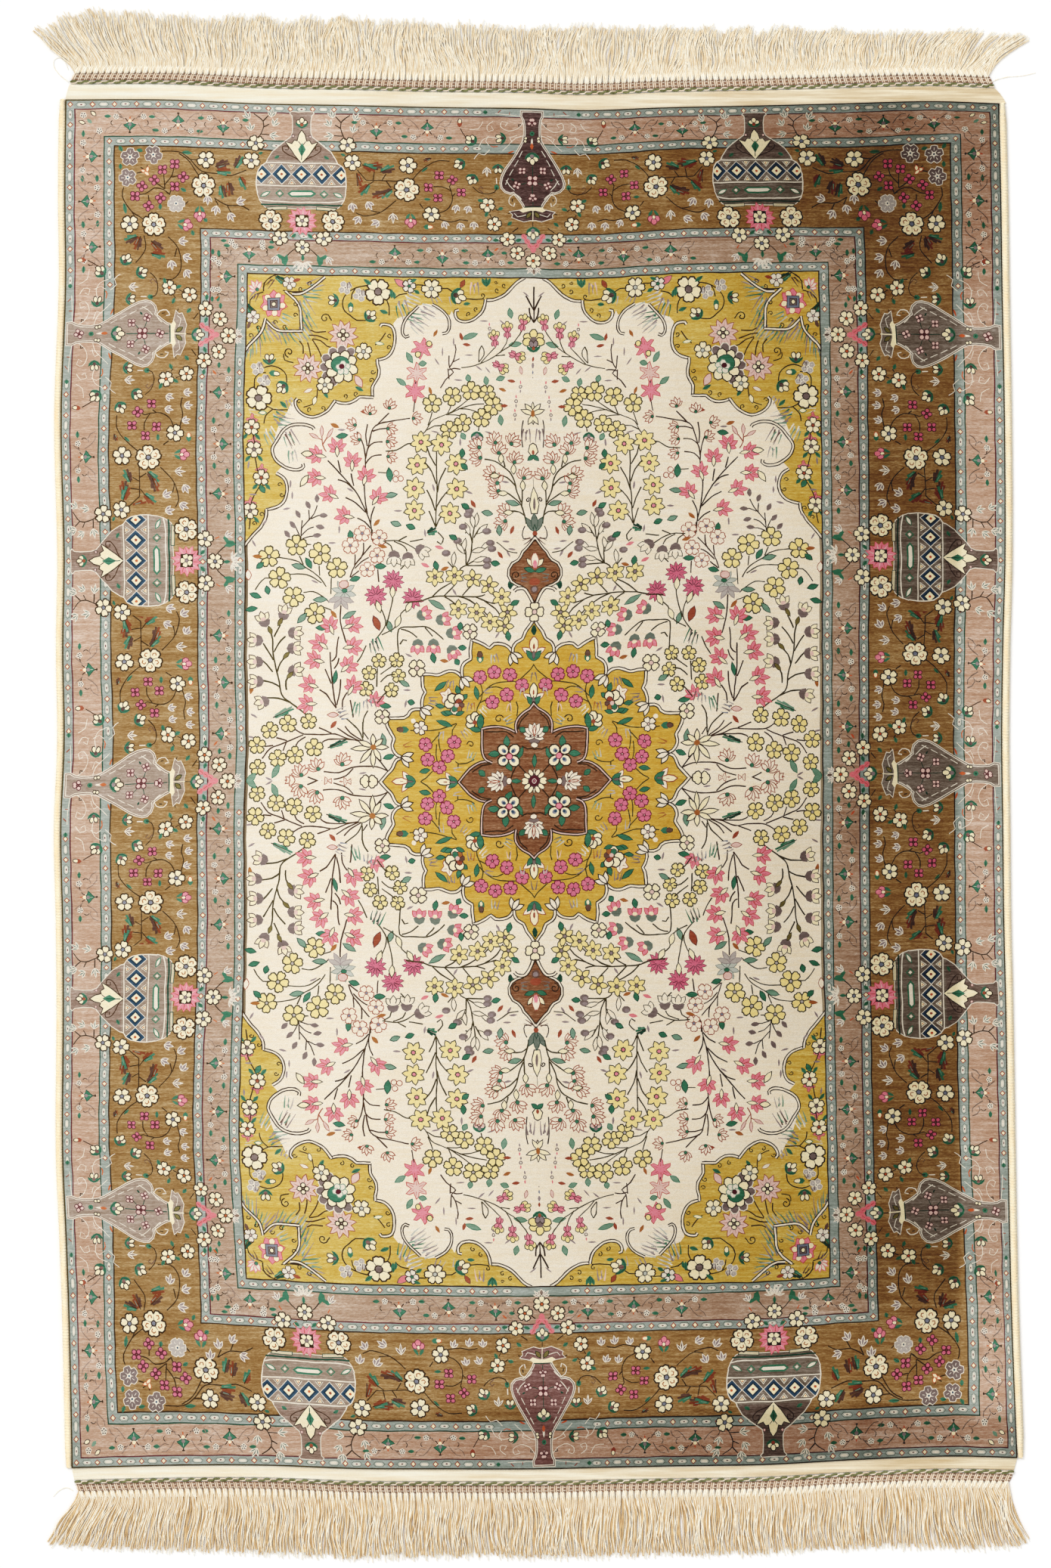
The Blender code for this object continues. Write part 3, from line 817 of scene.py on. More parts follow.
def spiky_rosette(chart, s, w, r):
    """The pink flower with ragged petals under a broad vase."""
    spot = Spot(chart, s, w)
    points = 14
    ragged = []
    for k in range(points * 2):
        a = 2 * pi * (k + 0.25) / (points * 2)
        reach = r * (1.0 if k % 4 == 0 else 0.93 if k % 2 == 0 else 0.72)
        ragged.append((reach * cos(a), reach * sin(a)))
    spot.patch("coral", swell(ragged, 0.6))
    spot.patch("pink", ragged)
    for k in range(points):
        a = 2 * pi * (k + 0.1) / points
        inner = [(r * 0.48 * cos(a), r * 0.48 * sin(a)), (r * 0.84 * cos(a + 0.06), r * 0.84 * sin(a + 0.06))]
        spot.patch("coral" if k % 2 else "pale_pink", ribbon(inner, 1.3, 0.7))
    spot.patch("dark_brown", square(0, 0, r * 0.42))
    blossom(chart, s, w, r * 0.43, "cream", "dark_brown", "lilac", 5, -90, 0.8, 0.24)


def draw_on_broad_axis(chart):
    spiky_rosette(chart, 0, 166, 20.5)
    for side in (-1, 1):
        leaf(chart, side * 11, 187, 90 - side * 50, 8.5, 5, "teal", "deep_teal")
    blossom(chart, 0, 203, 10.3, "cream", "dark_brown", "blue_lilac", 6, 90, 1.25, 0.2)
    leaf(chart, 0, 218, 90, 10, 4.6, "teal", "deep_teal")
    for k in (-2, -1, 0, 1, 2):
        wisp(chart, k * 4.2, 232 - abs(k) * 2.0, 90 - k * 22, 12, 4.4)


def draw_by_broad_vase(chart):
    """What grows beside a broad vase, on the side of rising s, counted from the vase's axis."""
    for s, w in ((67, 81.5), (61, 57)):
        blossom(chart, s, w, 11.2, "cream", "dark_brown", "blue_lilac", 5, 20 + s, 1.3, 0.2)
    leaf(chart, 55, 71, 20, 7, 4, "teal", "deep_teal")
    for path in paths("58,50 54,42 51,32 52,25 58,19 64,15 / 52,25 45,17 / 51,33 44,29 / 54,44 43,44"):
        line(chart, "dark_brown", path, 1.4)
    sow(chart, wisp, "69,33,-80 73,17,-60 40,13,-100 35,26,-120 36,45,170", 13, 6.0, "grey_green")
    curled_blossom(chart, 41.5, 166, 15, "cream", "dark_brown", "blue_lilac", "ochre", 200)
    blossom(chart, 29, 190.5, 10.6, "cream", "dark_brown", "blue_lilac", 5, 10, 1.3, 0.2)
    line(chart, "dark_brown", rows("11,206 17,212 20,216"), 1.3)
    chart.patch("teal", rows("20,214 24,218 31,214 36,217 28,221 27,227 22,230 19,222"))
    wisp(chart, 36, 222, 60, 12, 6)
    line(chart, "orange", [(30, 204), (33, 209)], 1.4)


# %% Between the vases
def draw_between_vases(chart):
    """The large curled blossom between two vases, with its cluster of small flowers, leaves and pale buds."""
    for path in paths("""124,152 112,146 105,134 106,120 108,113 105,107 / 128,113 118,113 110,117 106,120 /
            101,123 105,128 / 108,77 124,77 139,86 150,97 155,104 / 147,138 142,145 / 84,162 95,160 106,163
            122,160 / 172,107 190,106.5 205,106 216,106 / 196,107 190,97 / 190,107 184,116 / 207,106 205,92
            / 216,106 222,99 228,92 / 206,107 214,113 / 177,134 187,144 197,151 210,149 / 198,152 212,156
            221,157 230,153"""):
        line(chart, "dark_brown", path, 1.4)
    for s, w in rows("93,121.7 104,103.8 121.4,97 135,114.7 123,129"):
        sprig(chart, s, w, 7.6, "magenta", "maroon", 45 if s % 2 else 8)
    leaf(chart, 137, 131.5, 0, 9.5, 4.6, "teal", "deep_teal")
    blossom(chart, 131.5, 153.3, 10.8, "cream", "dark_brown", "blue_lilac", 5, 160, 1.35, 0.2)
    sow(chart, wisp, "77,169,90 94,170,100 84,146,70 100,145,80 114,168,110", 11.5, 7.5)
    bud(chart, 138, 171, 180, 1.2, "cream", "orange", "teal")
    leaf(chart, 140, 90, 42, 11, 3.6, "teal", "deep_teal")
    feather_pair(chart, 137, 75, 20, 10, 3.4, "rust", "brown_lilac")
    curled_blossom(chart, 164, 118.5, 16, "cream", "dark_brown", "blue_lilac", "ochre", 110)
    blossom(chart, 162, 83.8, 11.8, "cream", "dark_brown", "blue_lilac", 5, 180, 1.4, 0.2)
    tulip(chart, 159, 160.5, 90, 1.05)
    wisp(chart, 182, 160, 90, 14, 6, "brown_lilac")
    for s, w, turn, one, other in rows("""188,91,200,teal,brown_lilac 190,124,40,teal,brown_lilac
            204,86,180,rust,brown_lilac 212,88,160,teal,rust 200,126,15,rust,brown_lilac
            219,119,50,teal,rust 227,106,100,rust,brown_lilac"""):
        feather_pair(chart, s, w, turn, 18.5, 6.6, one, other)
    sow(chart, wisp, "212,142.5,120 205,167,30 228,164,60 234,146,100", 13, 8.5)


def draw_vase_borders(chart):
    """Sets the strips out round the quarter. Each vase's surroundings are drawn once and turned over."""
    beside_slender, beside_broad, between = Chart(), Chart(), Chart()
    draw_by_slender_vase(beside_slender)
    draw_by_broad_vase(beside_broad)
    draw_between_vases(between)
    chart.copy(between, on_top(PLUM_TOP, (PLUM_TOP - BIG_TOP) / SPAN))
    chart.copy(between, on_left(LILAC_LEFT, (BIG_LEFT - LILAC_LEFT) / SPAN))
    chart.copy(between, on_left(LILAC_MIDDLE, (LILAC_MIDDLE - BIG_LEFT) / SPAN, -1))
    draw_corner(chart)
    for move in (
        on_top(PLUM_TOP), on_left(LILAC_LEFT), on_left(LILAC_LEFT, 1, -1), on_left(LILAC_MIDDLE, 1, -1)
    ):
        chart.copy(beside_slender, move)
    for ground, move in (("plum", on_top(PLUM_TOP)), ("vase_lilac", on_left(LILAC_LEFT)),
                         ("vase_lilac", on_left(LILAC_MIDDLE, 1, -1))):
        vase = Chart()
        draw_on_slender_axis(vase)
        slender_vase(vase, ground)
        chart.copy(vase, move)
    for move in (on_top(BIG_TOP), on_left(BIG_LEFT)):
        vase = Chart()
        broad_vase(vase)
        draw_on_broad_axis(vase)
        chart.copy(vase, move)
    for move in (on_top(BIG_TOP), on_top(BIG_TOP, 1, 1), on_left(BIG_LEFT), on_left(BIG_LEFT, 1, -1)):
        chart.copy(beside_broad, move)


# %% The corner
def draw_corner(chart):
    """The flowers in the corner of the broad border, by their places on the laid rug."""
    here = Chart()
    for path in paths("""214,200 236,201 252,211 267,227 290,229.5 306,232 326,225 / 252,211 263,211 /
            236,203 250,213 262,232 / 164,248 162,260 174,279 189,290 / 174,279 180,290 / 186,221 191,224 /
            194.5,218 194,224 / 181,229 190,227 / 182,258 192,256 204,249 216,251 224,257 / 196,258 197,268
            / 217,229 218,250 / 206,242 218,250 / 218,252 224,258 226,252 / 230,222 228,232 218,244 /
            238,232 228,234 / 191,312 193,329 179,348 / 222,313 236,329 239,354 229,369 211,369 / 234,329
            231,340 / 284,262 300,271 318,272 330,278 / 284,262 289,272 / 301,272 306,282 / 249,266
            244,271"""):
        line(here, "dark_brown", path, 1.45)
    for x, y, turn in rows("172,207.5,-90 202.7,204.5,-60 168.7,235,-110"):
        framed_blossom(here, x, y, 11.5, "lilac_grey", "white", "navy", 5, turn)
    sow(here, leaf, """159.6,196.6,60,9 184.4,199,10,9 159.6,219.8,90,8 165.4,275,80,15 247,201.6,5,15
        212,273,80,8 242.5,250.5,30,9 272,291,40,7 255.4,307.7,70,8 173.6,397,0,8""", 5.2, "teal",
        "deep_teal")
    for x, y in rows("""230.9,217.3 215,224.4 242.5,233.9 204,238 187.7,246.3 231.2,246.3 179,259.6 212,262
            196.4,272.4"""):
        sprig(here, x, y, 7.8, "magenta", "maroon", 45 if round(x) % 2 else 8)
    sow(here, leaf, "190,226,200 195,223.5,-80 194,229,40", 7, 3.6, "cream", None, "orange")
    framed_blossom(here, 233.3, 269.6, 11, "pale_lilac", "white", "navy", 6, 0)
    curled_blossom(here, 203.5, 297, 15.5, "cream", "dark_brown", "blue_lilac", "ochre", -90)
    curled_blossom(here, 269, 245.5, 15.5, "cream", "dark_brown", "blue_lilac", "ochre", -90)
    blossom(here, 171.5, 296, 11.4, "cream", "dark_brown", "blue_lilac", 5, -50, 1.4, 0.2)
    blossom(here, 272.7, 211.2, 11.4, "cream", "dark_brown", "blue_lilac", 5, 90, 1.4, 0.2)
    tulip(here, 264, 281, 90, 1.05)
    tulip(here, 243, 297, 12, 1.05)
    for x, y, turn, one, other in rows("""294,217,-20,brown_lilac,brown_lilac 296,226,0,teal,rust
            315,214,-60,teal,brown_lilac 295,253,75,teal,brown_lilac 304,250,80,rust,brown_lilac
            322,242,60,teal,rust 173.6,316,160,teal,brown_lilac 183,322,110,rust,brown_lilac
            210,336,10,teal,rust 208,325,40,rust,brown_lilac"""):
        feather_pair(here, x, y, turn, 18, 6.4, one, other)
    sow(here, wisp, """285.6,279,100 305.5,287,60 318.8,266,-20 243,319,0 248,341,20 227,351,80 248,362,60
        275,265.5,90""", 13, 8)
    chart.copy(here, straighten)
    here = Chart()
    # the pink bands' own corners
    sow(here, rosette, "110,152 132,173", 4.6)
    sow(here, leaf, "123,150,40 108,162,20", 8, 4.2, "cream", None, "brown")
    leaf(here, 118, 160, 40, 9, 5, "pale_teal")
    sow(here, rosette, "306.6,320 346.5,321 282.7,342.6 282.3,383", 4.6)
    sow(here, leaf, "296,318.7,0 360,320,0 281,333.4,90 281,396,90", 8.5, 4.6, "teal", "deep_teal")
    sow(here, hook, "301,331,80 353,331,80 292,339,0 291,389,0 280,353,80", 7)
    chart.copy(here, straighten)

# %% [markdown]
# ### The field
# Four gold corners with a scalloped band meet an ivory field of sprays round a gold star. The field is drawn
# where it lies on the floor, and `straighten` takes it back to the loom.

# %% More motifs, for the field
def band(chart, path, width=4.8, inner="ivory", edge="dark_brown", rim=1.35):
    """A pale band with a dark line on both sides."""
    curve = smooth(path, 4.0)
    chart.patch(edge, ribbon(curve, width))
    chart.patch(inner, ribbon(curve, width - 2 * rim))


def curl(chart, x, y, r, turn=0, way=1, yarn="dark_brown", width=1.3, turns=1.25):
    """A spiral line that winds in to (x, y), starting `turn` degrees round it."""
    steps = 12
    path = []
    for k in range(steps + 1):
        t = k / steps
        a = radians(turn + way * 360 * turns * t)
        reach = r * (1 - 0.82 * t)
        path.append((x + reach * cos(a), y + reach * sin(a)))
    chart.patch(yarn, ribbon(path, width))


def strokes(chart, x, y, turn, long, yarns, spread=4.0):
    """Loose feathery strokes side by side, each tapered, in the yarns that are named with + between them."""
    yarns = yarns.split("+")
    spot = Spot(chart, x, y, turn)
    count = 2 * len(yarns)
    for k in range(count):
        v = (k - (count - 1) / 2) * spread * 0.62
        bend = 1.5 if k % 2 else -1.0
        reach = long * (1.04 - 0.2 * (k % 3))
        path = [(-reach / 2, v), (-reach * 0.1, v + bend), (reach / 2, v + bend * 1.6)]
        spot.patch(yarns[k % len(yarns)], ribbon(smooth(path, 6), 2.1, 0.75))


def spiky(chart, x, y, r, petal, edge, tips=9, turn=0, deep=0.58, width=0.9):
    """A ragged flower: pointed petals with a thin line round them."""
    points = []
    for k in range(tips * 2):
        a = radians(turn) + pi * k / tips
        reach = r if k % 2 == 0 else r * deep
        points.append((x + reach * cos(a), y + reach * sin(a)))
        if k % 2 == 0:
            b = a + pi / tips * 0.42
            points.append((x + r * 0.86 * cos(b), y + r * 0.86 * sin(b)))
    chart.patch(edge, swell(points, width))
    chart.patch(petal, points)
    for k in range(tips):
        a = radians(turn) + 2 * pi * k / tips
        inner, outer = r * 0.3, r * 0.72
        vein = [(x + inner * cos(a), y + inner * sin(a)), (x + outer * cos(a), y + outer * sin(a))]
        chart.patch(edge, ribbon(vein, 0.7, 0.6))


def lily(chart, x, y, turn, size=1.0, petal="pink", edge="coral"):
    """Long ragged petals that fall open, with a darker line down the middle ones."""
    spot = Spot(chart, x, y, turn, size)
    for angle, long in rows("-112,8 112,7 -62,10.5 64,11 -22,13 28,12"):
        spot.edged(petal, edge, drop(-1, 0, long, 4.6, angle), 0.75)
    for angle in (-60, -22, 28, 62):
        a = radians(angle)
        spot.patch(edge, ribbon([(2 * cos(a), 2 * sin(a)), (8 * cos(a), 8 * sin(a))], 0.8, 0.5))
    spot.patch("pale_pink", oval(1.5, 0, 1.6, 1.4, 6))


def spray_tulip(chart, x, y, turn, size=1.0):
    """A yellow cup on two pink falls, the flower of the field's branches."""
    spot = Spot(chart, x, y, turn, size)
    for v in (-3.4, 3.4):
        spot.edged("pale_yellow", "dark_olive", oval(5.5, v, 4.6, 3.5, 8, 12 * v), 1.0)
    spot.edged("pale_yellow", "dark_olive", oval(9.0, 0, 3.4, 2.6, 7), 1.0)
    for angle in (-150, 150, 35, -35):
        spot.edged("pink", "crimson", drop(-1.5, 0, 7.5, 4.2, angle), 0.8)
    spot.edged("pink", "crimson", drop(-1.0, 0, 9.5, 3.6, 180), 0.8)


def yellow_bloom(chart, x, y, r, turn=-90, petals=5):
    blossom(chart, x, y, r * 0.97, "pale_yellow", "dark_olive", "pale_lilac", petals, turn, 1.25, 0.15, 0.96)


def fan(chart, x, y, turn, size=1.0, petal="ivory", edge="coral", blades=5):
    """An open fan of thin petals drawn in line, as on a carnation."""
    spot = Spot(chart, x, y, turn, size)
    for k in range(blades):
        angle = (k - (blades - 1) / 2) * 150 / blades
        spot.edged(petal, edge, drop(0, 0, 13 - abs(angle) * 0.05, 4.4, angle), 1.0)
    spot.edged("teal", "dark_brown", oval(0.5, 0, 2.0, 2.0, 6), 0.6)


def outlined(chart, x, y, turn, long, wide, yarn, edge="dark_olive", width=0.9):
    shape = drop(-long / 2, 0, long, wide)
    spot = Spot(chart, x, y, turn)
    spot.edged(yarn, edge, shape, width)


def twig(chart, text, yarn="brown", width=1.2):
    """A stem with its side stems, as paths with slashes between them."""
    for path in paths(text):
        line(chart, yarn, path, width * 1.1)

# %% The gold corners
MID = 706  # the middle line of the field, as it lies
STAR_Y = 1036.5  # and the middle of its star
GOLD_EDGE = rows("""310,345 697,352 697,366 685,371 676,380 668,388 660,393 652,397 643,397 642,402 640,410
    634,418 628,423 620,426 611,427 605,424 600,417 597,411 594,417 586,410 575,404 563,402 552,405 547,412
    540,418 533,419 526,421 520,428 522,440 522,452 520,462 514,470 508,474 499,476 498,480 500,488 500,498
    497,505 494,511 494,525 485,525 477,525 472,528 466,532 459,534 451,533 443,530 438,537 433,543 426,548
    418,551 410,551 402,548 396,543 392,537 390,530 386,532 380,545 372,556 368,566 364,578 360,592 365,606
    374,617 366,626 376,636 381,650 378,662 368,670 354,674 352,686 345,700 334,712 322,726 300,730""")
CORNER_BAND = rows("430,366 425,370 418,376 410,382 403,386 396,388.5 386,388.5")
CORNER_LOBES = paths("""377,385 384,391 390,396 395,403 398,411 398.5,424 399,438 / 400,437.5 388,438
    376,438 368,437 361,433 356,428 351,423 / 351.5,421 349,432 345,440 337,449 329,457 323,467""")
SCALLOPS = paths("""694,368 685,373 677,381 669,389 661,394 652,397 643,397 / 642,396 641,404 638,412
    632,419 625,424 616,426 607,424 602,418 602,411 606,410 / 503,432 505,429 512,429 518,432 521,439
    522,448 521,458 517,467 510,473 499,476 / 499,475 499,482 501,490 500,499 496,506 493,512 493,525 /
    494,525 485,525 476,525 471,529 463,533 453,533 443,530 / 444,529 439,536 433,543 425,548 415,551
    405,549 397,544 392,537 391,530 394,527 / 416,568 414,565 407,562 399,561 389,562 381,565 374,571
    369,579 362,590 361,597 365,607 374,615 384,620 396,621 402,617 401,613 / 367,626 376,632 380,640
    381,650 378,661 370,669 354,674 / 354,673 353,684 346,697 336,708 323,725""")
# the two open arches between the gold and the ivory
CLOUDS = paths("""553,405 546,412 540,418 535,425 532,433 532,441 536,446 541,444 / 572,403 583,409 590,416
    594,425 594,435 590,441 585,442""")


def draw_gold_corner(chart):
    """The gold, softened by feathery strokes and edged with pale bands."""
    chart.patch("gold", GOLD_EDGE)
    # feathery strokes that soften the corner compartment and the clouds
    sow(chart, strokes, """418,377,-20,22,lilac+pale_lilac+pale_teal 413,391,8,26,pale_teal+teal+pale_grey
        404,408,60,26,lilac+pale_teal+pale_grey 407,427,62,24,pale_teal+teal+lilac
        404,442,55,24,lilac+pale_teal+pale_grey 393,446,40,22,pale_lilac+pale_teal
        378,446,62,22,teal+pale_teal+lilac 364,440,50,26,lilac+lilac+pale_lilac 349,443,70,24,pale_teal+teal
        337,459,88,26,lilac+pale_teal+pale_grey 327,469,100,16,pale_teal+lilac
        546,396,20,22,pale_grey+white+pale_lilac+white 533,411,72,26,lilac+pale_grey+teal
        551,420,10,24,teal+pale_teal 553,431,35,24,lilac+pale_lilac+pale_grey
        567,413,25,24,pale_grey+lilac+pale_lilac 577,396,60,14,pale_lilac+lilac
        372,551,25,22,pale_grey+teal+lilac 378,560,10,22,lilac+pale_teal+pale_grey
        385,581,62,22,lilac+brown_lilac+pale_teal 388,603,80,16,pale_lilac+pale_teal
        360,578,62,26,white+pale_grey+pale_teal 385,533,60,12,pale_lilac+lilac
        600,397,70,12,pale_teal+pale_lilac 338,545,10,16,pale_cream""")
    for path in CLOUDS:
        band(chart, path, 4.4)
    for path in SCALLOPS:
        band(chart, path)
    band(chart, CORNER_BAND)
    twig(chart, "374,384.5 387,385.5 401,385", "dark_brown", 1.4)
    for path in CORNER_LOBES:
        band(chart, path)
    for x, y, turn, way in rows("""410,375,120,1 398,382,100,1 391,402,0,1 391,417,10,-1 377,432,90,1
            364,426,20,-1 342,434,30,-1 332,444,20,-1 638,391,90,-1 657,385,60,1 667,378,60,1 630,409,100,1
            620,416,120,1 493,492,0,1 491,503,0,-1 471,521,90,1 457,524,80,-1 427,540,60,-1 410,541,100,1
            396,531,0,-1 374,654,0,1 371,641,0,-1 348,680,20,-1 338,692,20,-1 515,444,60,1 514,460,0,-1"""):
        curl(chart, x, y, 3.4, turn, way, "dark_brown", 1.25, 1.0)


# %% The corner's pink palmette
def draw_corner_palmette(chart):
    """The corner's pink palmette and what grows by it."""
    fan(chart, 341, 383, -125, 1.05, "white", "coral_pink", 5)
    twig(chart, "349,385 350,375 357,367 368,363 378,364 / 349,386 339,389 331,397 330,404 339,412",
        "dark_brown", 1.4)
    strokes(chart, 356, 374, 130, 14, "brown_lilac+brown", 3)
    strokes(chart, 337, 392, 120, 12, "brown_lilac+lilac", 3)
    feather_pair(chart, 372, 370, 30, 18, 5.5, "teal", "deep_teal")
    feather_pair(chart, 330, 409, 60, 18, 5.5, "teal", "deep_teal")
    blossom(chart, 383, 374, 9.0, "white", "brown", "pale_pink", 5, 20, 0.8, 0.14)
    blossom(chart, 335, 420, 9.0, "white", "brown", "pale_pink", 5, 60, 0.8, 0.14)
    leaf(chart, 393, 370, -12, 11, 5, "rust")
    leaf(chart, 330, 430, 110, 11, 5, "brown_lilac")
    x, y = 362, 402
    spiky(chart, x, y, 17.5, "pink", "coral", 7, -90, 0.72)
    ring(chart, x, y, (-60, 12, 84, 156, 228), "cream", "coral", oval(11.5, 0, 4.2, 3.8, 7), 0.8)
    for yarn, half in rows("dark_brown,8.3 blue_lilac,7.4 dark_brown,5.0 lilac_grey,4.2"):
        chart.patch(yarn, square(x, y, half))
    Spot(chart, x, y).edged("cream", "dark_brown", oval(0, 0, 2.4, 2.6, 7), 1.0)
    strokes(chart, 379, 422, 30, 16, "pale_teal+pale_grey", 4)


# %% The corner's two big blossoms
def draw_corner_blossoms(chart):
    """Two big cream blossoms with their stems."""
    twig(chart, """488,377 476,379 465,384 456,392 453,402 456,411 463,417 472,424 486,424 / 470,382 466,389
        465,396 / 510,394 515,406 515,417 / 337,512 337,501 343,494 352,493 / 349,487 360,484 372,488
        379,496 380,506 / 352,535 362,541 381,542 / 361,541 352,550 350,560""", "dark_brown", 1.4)
    for x, y, turn in rows("457,381,60 476,390,160 341,487,30 349,504,20"):
        framed_blossom(chart, x, y, 8.5, "pale_lilac", "white", "plum_grey", 4, turn)
        strokes(chart, x + 5, y - 3, 70, 9, "lilac_grey", 3)
    for x, y, turn in ((500, 386, -54), (343, 526, -70)):
        blossom(chart, x, y, 16.5, "cream", "dark_brown", "lilac_grey", 5, turn, 1.7, 0.27, 1.1)
    cup(chart, 443, 397, 180, 1.1, 2)
    bud(chart, 464, 404, 90, 1.35, "cream", "dark_brown", "teal")
    bud(chart, 361, 494, 5, 1.45, "cream", "dark_brown", "teal")
    cup(chart, 357, 477, -90, 1.1, 2)
    cup(chart, 488, 420, -48, 1.15, 3)
    cup(chart, 376, 511, 140, 1.15, 3)
    sow(chart, leaf, "486,373,35 508,412,20 431,521,60 375,535,45 518,389,90 475,514,25", 13, 5.5,
        "teal", "deep_teal")
    leaf(chart, 348, 546, 0, 9, 4.5, "cream", None, "teal")


# %% The ragged flowers
def draw_ragged_flowers(chart):
    """The ragged flowers and the great teal palmette."""
    curl(chart, 430, 421, 6.5, -10, -1, "dark_brown", 1.5, 1.2)
    curl(chart, 383, 466, 6.5, 100, 1, "dark_brown", 1.5, 1.2)
    twig(chart, "376,468 377,476 388,479 / 436,420 439,424", "dark_brown", 1.4)
    twig(chart, """410,436 416,439 431,439 / 408,443 419,444 434,450 / 413,448 424,451 433,458 441,460 /
        413,449 421,461 426,473 427,481 / 407,453 410,463 411,472 / 396,451 401,458 401,468""", "brown",
        1.5)
    for x, y in ((454, 443), (407, 487)):
        spiky(chart, x, y, 19, "pale_pink", "rust", 10, 8, 0.62)
        sprig(chart, x, y, 8.5, "cream", "dark_brown", 0)
    ring(chart, 452, 485, range(120, 301, 30), "lilac_grey", "white", oval(22, 0, 6.5, 5.6, 8), 1.3)
    ring(chart, 452, 485, range(-75, 301, 45), "cream", "dark_brown", oval(14.5, 0, 7.2, 6.0, 8), 1.4)
    chart.patch("deep_teal", oval(450, 482, 12.6, 11.6, 12))
    chart.patch("teal", oval(450, 482, 11.6, 10.6, 12))
    ring(chart, 454, 487, (-20, 52, 124, 196, 268), "white", "pale_teal", oval(5.5, 0, 4.2, 3.8, 7), 0.9)
    chart.patch("maroon", oval(452, 485, 3.8, 3.6, 8))
    for x, y, turn in ((481, 465, -90), (430, 509, -60)):
        blossom(chart, x, y, 11, "cream", "dark_brown", "pale_grey", 5, turn, 1.2, 0.22)
    outlined(chart, 474, 504, 60, 17, 9, "pale_pink", "rust")
    outlined(chart, 408, 517, -20, 12, 5, "white", "ochre", 0.6)
    twig(chart, "420,516 419,526 414,534 402,538 / 496,456 503,450 510,440", "brown", 1.3)
    outlined(chart, 416, 530, -75, 11, 5, "cream", "dark_olive", 0.7)
    outlined(chart, 502, 454, 10, 11, 4, "cream", "teal", 0.6)


# %% The gold strip above
def draw_upper_strip(chart):
    """The strip above: flowers on one stem."""
    twig(chart, """548,377 560,377 / 583,382 592,382 598,386 / 521,396 528,390 538,388 / 615,395 630,396
        640,395""", "dark_brown", 1.4)
    outlined(chart, 529, 374, 35, 17, 8, "coral_pink", "brown_lilac", 0.8)
    blossom(chart, 541, 378, 9, "white", "dark_brown", "teal", 5, 0, 1.1, 0.2)
    sow(chart, leaf, "551,386,35 521,391,80 547,371,-20 617,402,-5", 10, 5, "teal", "deep_teal")
    blossom(chart, 571, 382, 13, "cream", "dark_brown", "pale_grey", 6, 0, 1.3, 0.2)
    cup(chart, 603, 391, 20, 1.35, 3)
    outlined(chart, 612, 376, -60, 12, 6, "rust", "brown", 0.5)
    strokes(chart, 628, 382, 90, 16, "lilac+pale_pink", 4)
    for v in (-25, 0, 25):
        leaf(chart, 643 + v * 0.12, 374, -90 + v, 13, 5, "teal", "deep_teal")
    curl(chart, 656, 374, 2.5, 0, 1, "brown", 1.0)


# %% The gold strip down the side
def draw_side_strip(chart):
    """The strip down the side: a chain of flowers."""
    for x, y, kind in rows("334,565,0 337,594,1 347,631,0 333,675,1"):
        spiky(chart, x, y - 10, 8, "coral_pink", "rust", 4, -90, 0.4, 0.6)
        blossom(chart, x, y, 10.5, "cream", "dark_brown", "lilac_grey" if kind else "rust", 5,
            -90 + 36 * kind, 1.2, 0.2)
        for side in (-1, 1):
            leaf(chart, x + side * 8, y + 12, 90 - side * 40, 11, 5, "teal", "deep_teal")
    twig(chart, "337,575 338,586 / 338,605 342,622 / 345,642 338,655 334,665 / 333,686 331,700",
        "dark_brown", 1.4)


# %% Ivory field: the upper sprays
def draw_falling_pinks(chart):
    """Pink flowers that fall from the cloud."""
    for x, y, turn, petal in rows("558,461,-80,pink 551,494,-90,pale_pink 549,518,-90,pink"):
        spiky(chart, x, y, 14, petal, "coral", 6, turn, 0.42, 0.8)
    twig(chart, "550,505 550,508 / 549,528 546,545")
    for x, y in ((567, 455), (553, 469)):
        chart.patch("dark_olive", oval(x, y, 4.2, 4.6, 8))
        chart.patch("pale_yellow", oval(x, y, 3.1, 3.5, 8))
    sow(chart, leaf, """542,473,60,14 559,481,-10,9 531,505,35,14 675,415,75,12 621,445,-18,20
        681,456,-10,15 619,500,80,8 643,504,80,10 662,501,-20,10 662,556,80,13 613,577,60,9""", 6.0,
        "pale_teal", None, "teal")


# %% A branch of tulips
def draw_tulip_branch(chart):
    """A branch of yellow and pink tulips."""
    twig(chart, """610,487 622,485 638,480 652,473 664,465 676,457 687,443 692,434 / 636,480 645,470 655,460
        / 662,467 669,456 671,448 / 656,471 668,470 / 633,479 640,470 640,462 637,457 / 633,479 634,463
        637,457""", "dark_olive")
    sow(chart, spray_tulip, "692,428,-75 671,438,-90 654,449,-100 683,471,20 661,485,30", 1.0)
    outlined(chart, 689, 490, 80, 10, 4, "pale_pink", "rust", 0.6)
    # a dry twig
    twig(chart, """582,513 589,503 600,493 595,487 594,470 / 594,502 593,488 / 595,486 600,478 603,462
        602,455 / 600,479 608,475 / 593,490 601,488 609,489""", "brown", 1.3)


# %% Yellow blossoms
def draw_upper_blossoms(chart):
    """Yellow blossoms."""
    twig(chart, """552,581 563,571 570,558 579,553 593,547 606,539 617,531 622,527 / 592,548 608,541 625,536
        640,534 / 606,541 620,542 632,546 / 590,549 602,549 612,551 / 563,570 575,564 585,564 / 566,563
        570,552 572,545 / 592,547 595,540 598,532 / 634,563 633,570""", "dark_olive")
    sow(chart, yellow_bloom, """572,534,12.5,-90 598,524,12.5,-50 623,517,13,-90 644,520,11,-50
        652,537,12.5,-60 637,553,12.5,-90 612,560,12,-90 594,569,12,-90""")
    cup(chart, 631, 576, 90, 1.0, 3, "pale_pink", "lilac")


